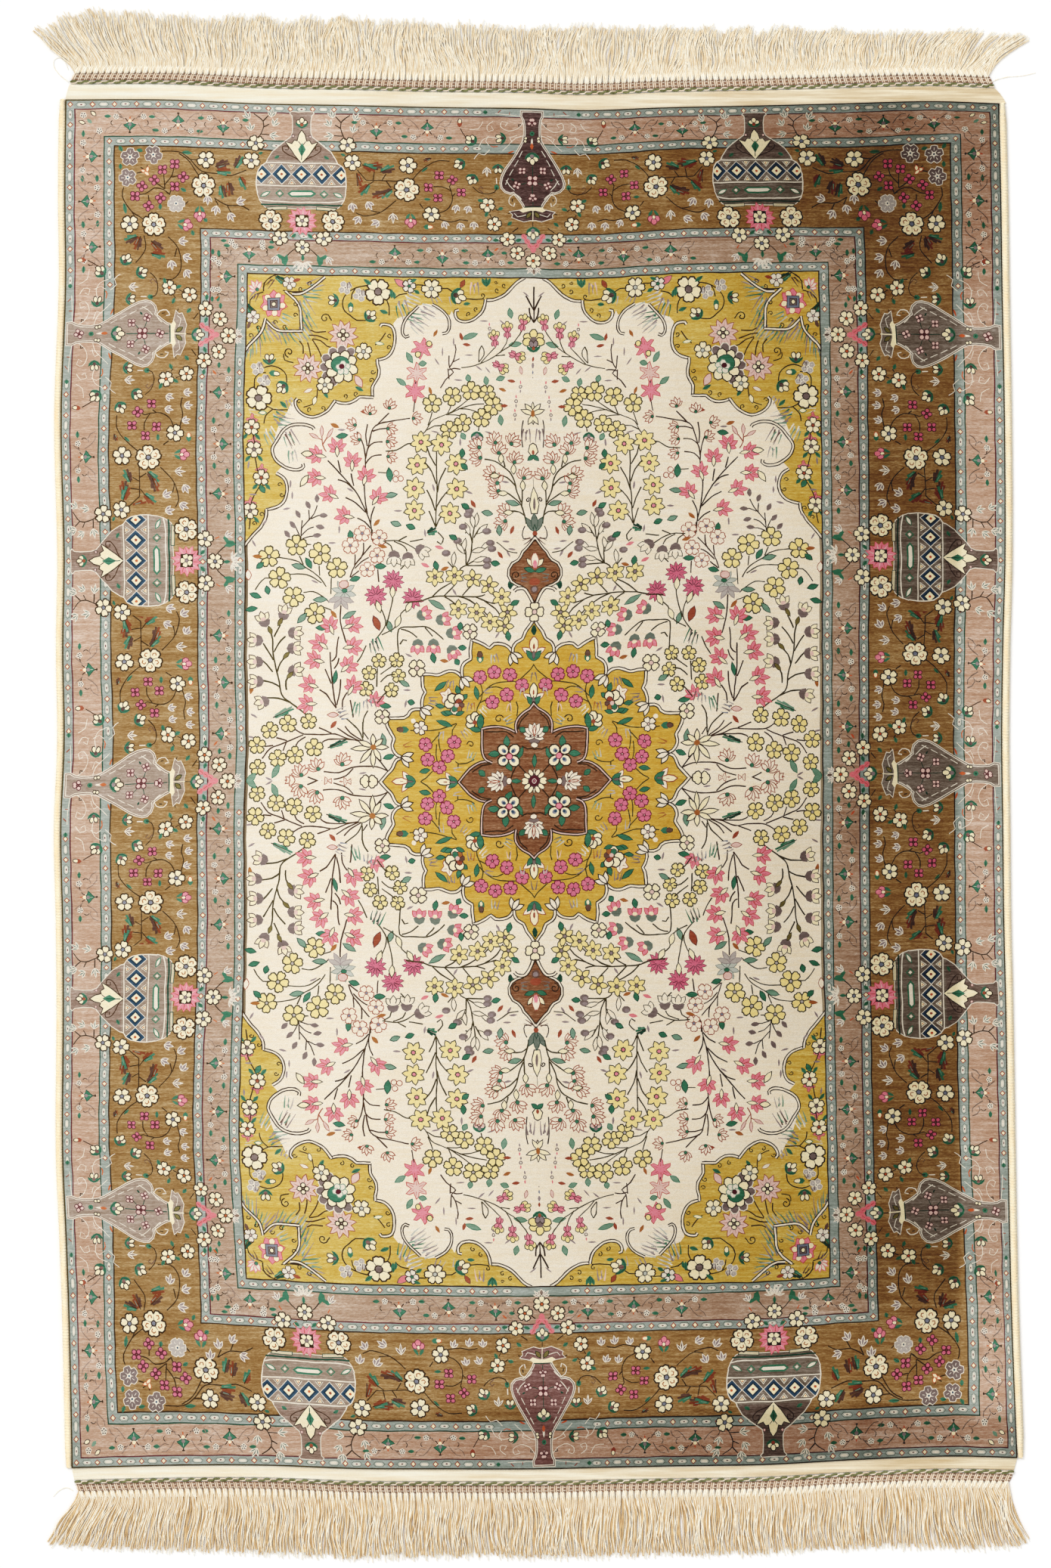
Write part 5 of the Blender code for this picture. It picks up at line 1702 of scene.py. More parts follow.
# %% The star's edge
def draw_star_edge(chart):
    """The star's own edge, with a pale leaf in each cusp and a blossom on each tip."""
    for side in STAR_EDGE:
        band(chart, side, 5.0, "ivory", "dark_brown", 1.35)
    for x, y, turn in rows("532,1002,20 558,938,35 612,898,50 678,866,60"):
        for angle in (-38, 38, 0):
            Spot(chart, x - 2, y - 1, turn + angle).edged("ivory", "dark_brown", drop(0, 0, 15, 6, 0), 1.3)
    for x, y, r in rows("621,836,9 551,884,10 505,948,9 486,1036,11 706,811,11"):
        blossom(chart, x, y, r * 1.12, "cream", "dark_brown", "pale_pink", 4, 45 if x < 700 else 0, 1.2,
            0.26, 1.05)


# %% The brown pendant
PENDANT_HALF = rows("""715,0 721,4 727,9 732,14 738,17 743,21 747,28 754,32 762,32.5 769,29 773,23 776,16
    781,9 789,5 798,0""")


def draw_pendant(chart):
    """The brown drop above the star, with what hangs from it."""
    shape = [(MID + h, y) for y, h in PENDANT_HALF] + [(MID - h, y) for y, h in PENDANT_HALF[-2:0:-1]]
    for yarn, grow in rows("dark_brown,3.4 ivory,2.1 dark_brown,0.4 medallion_brown,-1.1"):
        chart.patch(yarn, swell(shape, grow))
    for side in (-1, 1):
        curl(chart, MID - side * 24, 762, 6.5, 90, side, "dark_brown", 1.5)
        band(chart, mirrored(-side, "27,783 24,780 14,779 7,788 2,800", MID), 5.0, "ivory")
        leaf(chart, MID - side * 32, 776, 90, 10, 6, "deep_teal")
        strokes(chart, MID - side * 13, 765, 0, 9, "grey_green+lilac_grey", 4)
        Spot(chart, MID, 752, -90 + side * 42).edged("cream", "dark_brown", drop(0, 0, 15, 6, 0), 1.0)
        Spot(chart, MID, 758, -90 + side * 70).edged("teal", "deep_teal", drop(0, 0, 14, 6, 0), 0.8)
    Spot(chart, MID, 752, -90).edged("ivory", "rust", drop(-2, 0, 21, 8, 0), 0.9)
    chart.patch("pink", drop(MID, 754, 12, 3.6, -90))
    chart.patch("rust", oval(MID, 771, 6.5, 5, 9))
    chart.patch("brown_lilac", oval(MID, 781, 5, 5.5, 9))
    chart.patch("lilac", oval(MID, 781, 2.8, 3.2, 8))


# %% The whole field
FIELD_PARTS = (
    draw_gold_corner, draw_corner_palmette, draw_corner_blossoms, draw_ragged_flowers, draw_upper_strip,
    draw_side_strip, draw_falling_pinks, draw_tulip_branch, draw_upper_blossoms, draw_upper_leaves,
    draw_top_stem, draw_grey_sprig, draw_side_blossoms, draw_lilies, draw_white_stars,
    draw_white_blossoms, draw_poppy, draw_carnations, draw_bell_branch, draw_low_branch, draw_side_fans,
    draw_star_lilies, draw_wide_lily, draw_upright_stem, draw_bent_stem, draw_leafy_sprig,
    draw_grey_bells, draw_long_branch, draw_pink_bells, draw_middle_leaves, draw_spindle, draw_pendant,
    draw_star_ground, draw_mixed_flowers, draw_star_palmettes, draw_star_heart, draw_star_edge,
)


def draw_field(chart):
    """The ivory ground, and then each part in its turn. What lies later covers what lies before."""
    left, top, right, low = LEFT + 246, TOP + 215, AXIS_X + OVERRUN, AXIS_Y + OVERRUN
    chart.patch("ivory", [(left, top), (right, top), (right, low), (left, low)])
    here = Chart()
    for part in FIELD_PARTS:
        part(here)
    chart.copy(here, straighten)

# %% The whole quarter
def draw_quarter(chart):
    """The field first, then the borders' ground round it and what grows on them."""
    draw_field(chart)
    draw_border_ground(chart)
    draw_stripes(chart)
    draw_bands(chart)
    draw_vase_borders(chart)

# %% [markdown]
# ## 3. Weaving the pile
# The patches overlap, so a triangulation cuts them all along each other's edges. In each triangle the
# topmost patch gives the yarn. The quarter is then turned over to fill the rug, with a little unevenness in
# the knots, and `lay` puts it on the floor.

# %% Cut the chart into triangles
# how far in each zone starts, and how far the field's middle reaches, which is a zone of its own
ZONES = {"outer_bands": 0.0, "vase_border": 66.3, "inner_bands": 180.9, "field": 242.3}
MIDDLE_REACH = 335.0
CLOSE = 1e-3  # points nearer than this, in pixels, are one


def inside(outline, x, y):
    """Which places lie inside an outline: a line from there crosses it an odd number of times."""
    here = np.array(outline)
    before = np.roll(here, 1, axis=0)
    crosses = (here[:, 1:] > y) != (before[:, 1:] > y)
    rise = np.where(here[:, 1:] == before[:, 1:], 1.0, here[:, 1:] - before[:, 1:])
    at = before[:, :1] + (here[:, :1] - before[:, :1]) * (y - before[:, 1:]) / rise
    return (crosses & (x < at)).sum(axis=0) % 2 == 1


def triangulate(chart):
    """Points, triangles and the yarn of each, which is that of the last patch laid over its middle."""
    points, edges = [], []
    for _, outline in chart.patches:
        first, count = len(points), len(outline)
        edges += [(first + k, first + (k + 1) % count) for k in range(count)]
        points += [Vector(p) for p in outline]
    at, _, triangles, _, _, _ = delaunay_2d_cdt(points, edges, [], 0, CLOSE, False)
    places = np.array([tuple(p) for p in at])
    middles = places[np.array(triangles)].mean(axis=1)
    from_left = np.argsort(middles[:, 0])
    xs, ys = middles[from_left, 0], middles[from_left, 1]
    top = np.full(len(triangles), -1)
    for number, (_, outline) in enumerate(chart.patches):
        low, high = np.min(outline, axis=0), np.max(outline, axis=0)
        first, last = np.searchsorted(xs, (low[0], high[0]))
        near = np.arange(first, last)[(ys[first:last] > low[1]) & (ys[first:last] < high[1])]
        top[from_left[near[inside(outline, xs[near], ys[near])]]] = number
    yarns = [chart.patches[n][0] if n >= 0 else None for n in top]
    return at, triangles, yarns


def zone_of(x, y):
    """The part of the design that a place on the loom belongs to."""
    if hypot(x - AXIS_X, y - AXIS_Y) < MIDDLE_REACH:
        return "middle"
    w = min(x - LEFT, (y - TOP) / TOP_SHARE)
    return [name for name, start in ZONES.items() if w >= start][-1]


# %% Keep the edges between yarns
def weave(chart):
    """The quarter as (points, {zone: (triangles, yarns)}), with only the edges between yarns kept."""
    at, triangles, yarns = triangulate(chart)
    rough = [(p.x, p.y, 0.0) for p in at]
    tree = BVHTree.FromPolygons(rough, triangles)
    kinds = []
    for face, yarn in zip(triangles, yarns):
        x, y = (sum(at[i][k] for i in face) / 3 for k in (0, 1))
        outside = yarn is None or x < LEFT or y < TOP or x > AXIS_X or y > AXIS_Y
        kinds.append(None if outside else (yarn, zone_of(x, y)))
    across = {}
    for face, kind in zip(triangles, kinds):
        for k in range(3):
            pair = tuple(sorted((face[k], face[k - 1])))
            across.setdefault(pair, []).append(kind)
    seen = [pair for pair, sides in across.items() if len(set(sides)) > 1 or (len(sides) == 1 and sides[0])]
    order = {i: n for n, i in enumerate(sorted({i for pair in seen for i in pair}))}
    kept = [at[i] for i in order]
    edges = [(order[a], order[b]) for a, b in seen]
    points, _, triangles, _, _, _ = delaunay_2d_cdt(kept, edges, [], 0, CLOSE, False)
    zones = {}
    for face in triangles:
        x, y = (sum(points[i][k] for i in face) / 3 for k in (0, 1))
        hit = tree.ray_cast(Vector((x, y, 1)), Vector((0, 0, -1)))[2]
        if hit is None or kinds[hit] is None:
            continue
        yarn, zone = kinds[hit]
        zones.setdefault(zone, ([], []))
        zones[zone][0].append(face)
        zones[zone][1].append(yarn)
    return np.array([tuple(p) for p in points]), zones


# %% Trim the chart to its quarter
def trimmed(outline, axis, limit, way):
    """The outline's part on one side of a straight line: where way * (place - limit) isn't above 0."""
    kept = []
    for k, here in enumerate(outline):
        before = outline[k - 1]
        a, b = way * (before[axis] - limit), way * (here[axis] - limit)
        if (a > 0) != (b > 0):
            t = a / (a - b)
            crossing = [before[i] + (here[i] - before[i]) * t for i in (0, 1)]
            crossing[axis] = limit
            kept.append(tuple(crossing))
        if b <= 0:
            kept.append(here)
    return kept


def quarter_pixel(value):
    return round(value * 4) / 4


def with_steps(outline, step=11.0):
    """The outline with points added along its long sides, so that they can follow the rug's uneven edges."""
    dense = []
    for k, here in enumerate(outline):
        before = outline[k - 1]
        parts = max(1, round(hypot(here[0] - before[0], here[1] - before[1]) / step))
        for n in range(1, parts + 1):
            dense.append(tuple(quarter_pixel(a + (b - a) * n / parts) for a, b in zip(before, here)))
    return dense


def trim_to_quarter(chart):
    """Cuts off what reaches past the pile's edge or over the lines about which the design is turned."""
    cut = []
    for yarn, outline in chart.patches:
        for axis, limit, way in ((0, LEFT, -1), (0, AXIS_X, 1), (1, TOP, -1), (1, AXIS_Y, 1)):
            outline = trimmed(outline, axis, limit, way)
        if len(outline) > 2:
            cut.append((yarn, with_steps(outline)))
    chart.patches = cut

# %% Draw and weave the quarter
quarter = Chart()
draw_quarter(quarter)
trim_to_quarter(quarter)
print(len(quarter.patches), "patches of yarn in a quarter")
woven_points, woven_zones = weave(quarter)
print({name: len(faces) for name, (faces, _) in woven_zones.items()}, "triangles in a quarter")

# %% [markdown]
# ### Four quarters on the floor
# The weaver worked a little more closely at one end than at the other. Each crossing of the loom's threads is
# also a little out of place, which a slow and a quick ripple stand for here.

# %% Lay many points at once
BOTTOM_SHARE = 242.0 / 225.2  # how much longer the bottom border is than the top one
FIELD_TOP = 363.8  # where the top border ends on the loom, in pixels
TABLE = np.arange(-760, 761, 2.0) * MM
BOW_COLUMNS = {"left": (SIDES, 1), "right": (SIDES, 2), "top": (ENDS, 1), "bottom": (ENDS, 2)}
BOW = {name: np.array([read(*where, at) for at in TABLE]) for name, where in BOW_COLUMNS.items()}


def lay_all(points):
    """`lay` for many points at once, and set down round the origin. Only for places on the pile."""
    x, y = points[:, 0], points[:, 1]
    across = np.clip((x / HALF_WIDTH + 1) / 2, 0, 1)
    along = np.clip((y / HALF_LENGTH + 1) / 2, 0, 1)
    bow = {name: np.interp(x if name in ("top", "bottom") else y, TABLE, out) for name, out in BOW.items()}
    laid_x = x - bow["left"] * (1 - across) + bow["right"] * across + SET_DOWN[0]
    laid_y = y - bow["bottom"] * (1 - along) + bow["top"] * along + SET_DOWN[1]
    return np.stack([laid_x, laid_y], axis=1)


def uneven(x, y):
    """The small wandering of the knots, in pixels, the same wherever it is asked for."""
    slow = np.sin(x * 0.11 + 2.1 * np.sin(y * 0.043)) + np.sin(y * 0.13 + 1.7 * np.sin(x * 0.051))
    quick = np.sin(x * 0.83 + 1.3 * np.sin(y * 0.37)) * np.sin(y * 0.71 + 1.1)
    return 0.28 * slow + 0.20 * quick


# %% Where the design has crept
CREPT = [  # a place on the rug, how far right and down the design has crept there, and how far round it
    (1020, 150, -12, 0, 170), (1330, 130, 2, -10, 130), (960, 260, 0, -7, 190), (1330, 580, 0, 7, 150),
    (980, 790, 0, -13, 190), (160, 700, -4, 1, 200), (110, 1120, 0, 13, 210), (1000, 1050, 5, 0, 280),
    (1200, 1290, 0, 9, 170), (790, 1130, 0, -4, 130), (270, 1430, -6, 4, 180), (80, 1630, 0, -18, 170),
    (880, 1540, 9, 0, 200), (190, 1800, -6, -5, 150), (430, 1580, -7, -4, 190), (570, 1870, 4, 3, 180),
    (900, 1950, -10, 0, 160), (1320, 1760, 7, -5, 210), (540, 1130, 3, 0, 150), (1000, 720, -2, 0, 120),
]


def crept(x, y):
    """How far the design has crept at each place, to the right and towards the lower end, in pixels."""
    right, down = np.zeros(len(x)), np.zeros(len(x))
    for at_x, at_y, across, along, reach in CREPT:
        near = np.exp(-((x - at_x) ** 2 + (y - at_y) ** 2) / reach**2)
        right += across * near
        down += along * near
    return right, down


# %% Turn a quarter over
def on_rug(points, flip_x, flip_y):
    """The quarter's points, turned over as asked, in metres on the floor."""
    x, y = points[:, 0].copy(), points[:, 1].copy()
    if flip_x:
        x = 2 * AXIS_X - x
    if flip_y:
        low = np.where(y < FIELD_TOP, (FIELD_TOP - y) * (BOTTOM_SHARE - 1), 0)
        y = 2 * AXIS_Y - y + low
    from_side, from_end = points[:, 0] - LEFT, points[:, 1] - TOP
    free = np.clip(from_side / 8, 0, 1) * np.clip(from_end / 8, 0, 1)  # the edge itself stays even
    right, down = crept(x, y)
    moved_x = x + uneven(x, y) * free + right * np.clip((from_side - 4) / 30, 0, 1)
    moved_y = y + uneven(y + 400, x) * free + down * np.clip((from_end - 12) / 45, 0, 1)
    return lay_all(np.stack([(moved_x - PHOTO_X) * PX, (PHOTO_Y - moved_y) * PX], axis=1))


# %% Put a piece into the scene
def add_object(name, data, materials=()):
    """A mesh, curve, lamp or camera as an object in the scene."""
    made = bpy.data.objects.new(name, data)
    bpy.context.scene.collection.objects.link(made)
    for material in materials:
        data.materials.append(material)
    return made


def mesh_object(name, points, faces, materials):
    """A mesh object from arrays, riding on the rug's one body."""
    mesh = bpy.data.meshes.new(name)
    mesh.from_pydata(points, [], faces)
    mesh.update()
    piece = add_object(name, mesh, materials)
    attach(piece, "root")
    return piece

# %% [markdown]
# ## 4. Dyes and threads
# Every finish is built from nodes. A small kit makes that short: `node` adds one, and shared effects are node
# groups, so that each is explained and adjusted in one place.

# %% A short way to add nodes
def plug(tree, socket, value):
    """Sets a node's input to a value, or links it to another node's output."""
    if isinstance(value, bpy.types.NodeSocket):
        tree.links.new(value, socket)
    else:
        socket.default_value = value


def node(tree, kind, settings=None, **inputs):
    """Adds a node. An input goes by its name, or by n and its number."""
    made = tree.nodes.new(kind)
    for name, value in (settings or {}).items():
        setattr(made, name, value)
    for name, value in inputs.items():
        key = int(name[1:]) if name[0] == "n" and name[1:].isdigit() else name.replace("_", " ")
        plug(tree, made.inputs[key], value)
    return made


def math(tree, operation, a, b=0.0, c=0.0):
    return node(tree, "ShaderNodeMath", {"operation": operation}, n0=a, n1=b, n2=c).outputs[0]


def noise(tree, place, scale, detail=2.0, roughness=0.5):
    """A soft random value from 0 to 1, with features of about 1 / scale metres."""
    made = node(tree, "ShaderNodeTexNoise", Vector=place, Scale=scale, Detail=detail, Roughness=roughness)
    return made.outputs["Fac"]


def between(tree, value, low, high, to_low=0.0, to_high=1.0):
    """Moves a value from one range to another and stops at its ends."""
    ranges = {"From_Min": low, "From_Max": high, "To_Min": to_low, "To_Max": to_high}
    return node(tree, "ShaderNodeMapRange", Value=value, **ranges).outputs["Result"]


def stretched(tree, place, x, y, z):
    """The place, scaled differently along each axis, so that a noise on it is drawn out into streaks."""
    return node(tree, "ShaderNodeVectorMath", {"operation": "MULTIPLY"}, n0=place, n1=(x, y, z)).outputs[0]


# %% A short way to work with colours
def scaled(tree, colour, amount):
    return node(tree, "ShaderNodeVectorMath", {"operation": "SCALE"}, n0=colour, Scale=amount).outputs[0]


def deepened(tree, colour, amount):
    """A gamma: an amount above 1 deepens a colour, and one below 1 makes it paler."""
    return node(tree, "ShaderNodeGamma", Color=colour, Gamma=amount).outputs[0]


def mixed(tree, factor, first, second):
    """A colour between two others, each of which is red, green and blue or a node's output."""
    pair = [c if isinstance(c, bpy.types.NodeSocket) else (*c, 1) for c in (first, second)]
    made = node(tree, "ShaderNodeMix", {"data_type": "RGBA"}, Factor=factor, n6=pair[0], n7=pair[1])
    return made.outputs[2]


def dress(tree, shader, colour, height, strength, depth):
    """Gives a shader its colour and a fine relief."""
    tree.links.new(colour, shader.inputs["Base Color"])
    relief = node(tree, "ShaderNodeBump", Strength=strength, Distance=depth, Height=height)
    tree.links.new(relief.outputs["Normal"], shader.inputs["Normal"])


# %% A short way to make node groups and materials
def new_group(name, inputs, outputs):
    """An empty node group with sockets of the given kinds. It returns (group, in-node, out-node)."""
    group = bpy.data.node_groups.new(name, "ShaderNodeTree")
    for title, kind, value in inputs:
        socket = group.interface.new_socket(title, in_out="INPUT", socket_type=kind)
        socket.default_value = value
    for title, kind in outputs:
        group.interface.new_socket(title, in_out="OUTPUT", socket_type=kind)
    return group, group.nodes.new("NodeGroupInput"), group.nodes.new("NodeGroupOutput")


def use(tree, group, **inputs):
    """Adds a node group and returns its first output."""
    made = tree.nodes.new("ShaderNodeGroup")
    made.node_tree = group
    for name, value in inputs.items():
        plug(tree, made.inputs[name], value)
    return made.outputs[0]


def finish_of(name, roughness):
    """A material with its tree, its shader and a place to read from."""
    material = bpy.data.materials.new(name)
    material.use_nodes = True
    tree = material.node_tree
    shader = tree.nodes["Principled BSDF"]
    shader.inputs["Roughness"].default_value = roughness
    shader.inputs["Specular IOR Level"].default_value = 0.15
    place = node(tree, "ShaderNodeTexCoord").outputs["Object"]
    return material, tree, shader, place


# %% The silk's painted sheen and shade
# Silk pile leans one way, so it is bright seen along the lean and deep seen against it. That sheen is painted
# into the colour here, as painted highlight and shade: the right side is painted deeper, by place on the rug.
# Each range below is two places in metres, and then how deep the silk looks at the one and at the other.
PAINTED_SHEEN, sheen_in, sheen_out = new_group(
    "lie_of_the_silk", [("Color", "NodeSocketColor", (1, 1, 1, 1))], [("Color", "NodeSocketColor")]
)
sheen_place = node(PAINTED_SHEEN, "ShaderNodeTexCoord").outputs["Object"]
sheen_x, sheen_y, _ = node(PAINTED_SHEEN, "ShaderNodeSeparateXYZ", n0=sheen_place).outputs


def product(*factors):
    """All of the factors multiplied together, as one value of the group."""
    value = factors[0]
    for factor in factors[1:]:
        value = math(PAINTED_SHEEN, "MULTIPLY", value, factor)
    return value


# painted shade from the left to the right: deeper towards the right side, and deepest in the border there
sheen_side = between(PAINTED_SHEEN, sheen_x, -0.22, 0.34)
sheen_border = between(PAINTED_SHEEN, sheen_x, 0.340, 0.352, 1.0, 1.25)
sheen_ends = math(PAINTED_SHEEN, "MAXIMUM", between(PAINTED_SHEEN, sheen_y, 0.42, 0.66, 0.30, 1.0), between(PAINTED_SHEEN, sheen_y, -0.62, -0.69))
sheen_guard = between(PAINTED_SHEEN, sheen_x, 0.452, 0.460, 1.0, sheen_ends)  # the outer band is paler but for its ends
sheen_side = product(sheen_side, sheen_border, sheen_guard)
# painted shade from the lower end to the upper one
sheen_up = between(PAINTED_SHEEN, sheen_y, -0.66, -0.50, 0.46, 0.84)
sheen_top = between(PAINTED_SHEEN, sheen_y, 0.50, 0.68, 0.0, 0.52)
sheen_under = between(PAINTED_SHEEN, sheen_y, 0.10, -0.50, 0.0, 0.12)
# the lower right corner is painted light again, and the lowest band gets painted shade, as it leans away from
# the light
sheen_right = between(PAINTED_SHEEN, sheen_x, 0.28, 0.48)
sheen_corner = between(PAINTED_SHEEN, sheen_y, -0.50, -0.64, 0.0, -0.55)
sheen_corner = math(PAINTED_SHEEN, "MULTIPLY_ADD", sheen_right, sheen_corner, 1.0)
sheen_foot = between(PAINTED_SHEEN, sheen_y, -0.655, -0.675)
sheen_foot = product(sheen_foot, math(PAINTED_SHEEN, "MULTIPLY_ADD", sheen_side, 0.90, 0.12))
# all of the painted sheen and shade together, a little patchy
sheen_patchy = between(PAINTED_SHEEN, noise(PAINTED_SHEEN, sheen_place, 5.0), 0.3, 0.7, 0.75, 1.2)
painted_shade_depth = product(math(PAINTED_SHEEN, "ADD", sheen_up, sheen_top), sheen_side, sheen_patchy)
painted_shade_depth = math(PAINTED_SHEEN, "ADD", painted_shade_depth, math(PAINTED_SHEEN, "ADD", sheen_foot, sheen_under))
painted_shade_depth = product(painted_shade_depth, sheen_corner)
sheen_colour = deepened(PAINTED_SHEEN, sheen_in.outputs["Color"], math(PAINTED_SHEEN, "MULTIPLY_ADD", painted_shade_depth, 0.66, 1.0))
sheen_colour = scaled(PAINTED_SHEEN, sheen_colour, math(PAINTED_SHEEN, "MULTIPLY_ADD", painted_shade_depth, -0.24, 1.0))
PAINTED_SHEEN.links.new(sheen_colour, sheen_out.inputs["Color"])

# %% Streaks across the rows of knots
# One dye lot ends and the next begins along a row, and each row is packed a little differently. That leaves
# thin streaks across the rug, strongest in the plain grounds.
STREAKS, streak_in, streak_out = new_group(
    "streaks_of_dye", [("Strength", "NodeSocketFloat", 1.0)], [("Light", "NodeSocketFloat")]
)
streak_place = node(STREAKS, "ShaderNodeTexCoord").outputs["Object"]
streak_sum = math(STREAKS, "MULTIPLY", noise(STREAKS, streak_place, 22.0, 3.0, 0.6), 0.16)
for across, along, detail, roughness, share in (
    (9, 260, 3.0, 0.6, 0.28), (60, 420, 2.0, 0.6, 0.22), (230, 900, 2.0, 0.7, 0.34)
):
    layer = noise(STREAKS, stretched(STREAKS, streak_place, across, along, 1), 1.0, detail, roughness)
    streak_sum = math(STREAKS, "MULTIPLY_ADD", layer, share, streak_sum)
streak_light = between(STREAKS, streak_sum, 0.40, 0.60, -1.0, 1.0)
streak_light = math(STREAKS, "MULTIPLY", streak_light, streak_in.outputs["Strength"])
STREAKS.links.new(streak_light, streak_out.inputs["Light"])

# %% Dyed silk pile
silk, tree, shader, place = finish_of("dyed_silk_pile", 0.72)
yarn = node(tree, "ShaderNodeVertexColor", {"layer_name": "yarn"})
streaks = use(tree, STREAKS, Strength=yarn.outputs["Alpha"])
streaked = deepened(tree, yarn.outputs["Color"], between(tree, streaks, -1.0, 1.0, 1.62, 0.56))
knots = node(tree, "ShaderNodeTexVoronoi", Vector=stretched(tree, place, 1.0, 1.1, 0.0), Scale=1150.0)
knot_height = knots.outputs["Distance"]
# painted shade between the knots: each knot is a little lighter on top and darker towards the gaps round it
knot_shaded = scaled(tree, streaked, between(tree, knot_height, 0.0, 0.75, 1.04, 0.90))
# the silk's painted sheen and shade go into the pile's colour here
dress(tree, shader, use(tree, PAINTED_SHEEN, Color=knot_shaded), knot_height, 0.5, 0.0004)

# %% Silk threads
def spun_thread(name, pale, deep, scale=220.0):
    """Spun silk, tinted unevenly along its length between a pale and a deeper tone."""
    material, tree, shader, place = finish_of(name, 0.6)
    drawn = noise(tree, stretched(tree, place, 1.0, 0.25, 1.0), scale, 3.0, 0.6)
    fibre = noise(tree, stretched(tree, place, 1.0, 0.2, 1.0), 2600.0, 2.0)
    dress(tree, shader, mixed(tree, between(tree, drawn, 0.35, 0.7), pale, deep), fibre, 0.4, 0.0002)
    return material


fringe_silk = spun_thread("fringe_silk", (1.0, 0.97, 0.87), (0.92, 0.80, 0.59), 420.0)
# painted shade: the lower threads are the same silk, dyed darker to stand for the shade under the upper ones,
# deeper at the bottom end
fringe_painted_shades = {  # what lies in the shade under the fringe's upper threads
    "top": spun_thread("fringe_shade_top", (0.96, 0.86, 0.66), (0.78, 0.60, 0.36), 420.0),
    "bottom": spun_thread("fringe_shade_bottom", (0.84, 0.64, 0.36), (0.60, 0.38, 0.17), 420.0),
}
overcast_silk = spun_thread("overcast_silk", (1.0, 0.92, 0.71), (0.98, 0.82, 0.55))
bar_silk = spun_thread("bar_silk", (0.96, 0.86, 0.70), (0.80, 0.62, 0.44))
green_cord = spun_thread("green_cord", (0.27, 0.28, 0.11), (0.11, 0.11, 0.03), 300.0)
brown_thread = spun_thread("brown_thread", (0.44, 0.24, 0.13), (0.25, 0.12, 0.06), 300.0)

# %% Flat-woven ends
# Past the last knots the cloth is plain weave: fine wefts over and under the warps, which show as ribs.
def ribbed(tree, place, direction, scale, distortion):
    """Threads side by side, as a height from 0 to 1."""
    settings = {"bands_direction": direction}
    made = node(tree, "ShaderNodeTexWave", settings, Vector=place, Scale=scale, Distortion=distortion)
    return made.outputs["Fac"]


end_weave, tree, shader, place = finish_of("flat_woven_silk", 0.7)
weave_height = math(tree, "ADD", ribbed(tree, place, "X", 300.0, 0.6), ribbed(tree, place, "Y", 420.0, 0.8))
# the flat-woven end is paler on the left and deeper tan towards the right
towards_right = between(tree, node(tree, "ShaderNodeSeparateXYZ", n0=place).outputs["X"], -0.3, 0.5)
drawn = between(tree, noise(tree, stretched(tree, place, 11, 210, 1), 1.0, 4.0, 0.62), 0.36, 0.64)
left_tint = mixed(tree, drawn, (1.0, 0.97, 0.84), (0.95, 0.84, 0.62))
right_tint = mixed(tree, drawn, (0.93, 0.83, 0.62), (0.66, 0.49, 0.26))
dress(tree, shader, mixed(tree, towards_right, left_tint, right_tint), weave_height, 0.5, 0.0003)

foundation, tree, shader, place = finish_of("silk_foundation", 0.75)
tint = mixed(tree, noise(tree, place, 60.0, 3.0), (0.42, 0.31, 0.18), (0.30, 0.21, 0.11))
dress(tree, shader, tint, ribbed(tree, place, "X", 300.0, 0.6), 0.5, 0.0003)

# %% Lay the four quarters
STREAKY = {  # how streaky a yarn's ground is
    "brown_gold": 0.9, "dusty_pink": 0.95, "inner_pink": 0.95, "blue_grey": 0.75, "gold": 0.8, "ivory": 0.6,
    "star_gold": 0.7, "vase_mauve": 0.8, "vase_lilac": 0.8, "mauve": 0.8, "plum": 0.8, "medallion_brown": 0.9,
}
STREAKY_ELSE = 0.36
# some yarns are set darker on the rug's right half and paler on its lower half
RIGHT_HALF_TONE = {"vase_mauve": 0.84, "vase_lilac": 0.84, "mauve": 0.84}  # darker in the rug's right half
LOWER_HALF_TONE = {"plum": 1.35}  # paler in its lower half
RIM_WIDTH, RIM_SLOPE = 1.6, 0.6 * MM  # the pile slopes down over its last pixels, by so much for each


def half_tones(yarns, lots):
    """How light each yarn is on that half of the rug, as four numbers that leave its streaks alone."""
    return np.array([[lots.get(yarn, 1.0)] * 3 + [1.0] for yarn in yarns])


def dyed(piece, dyes):
    """Gives each triangle its yarn's colour."""
    colour = piece.data.color_attributes.new("yarn", "BYTE_COLOR", "CORNER")
    colour.data.foreach_set("color_srgb", np.repeat(dyes, 3, axis=0).ravel())


def sewn(piece):
    """Joins the quarters where they meet."""
    seams = bmesh.new()
    seams.from_mesh(piece.data)
    bmesh.ops.remove_doubles(seams, verts=seams.verts, dist=0.00002)
    seams.to_mesh(piece.data)
    seams.free()


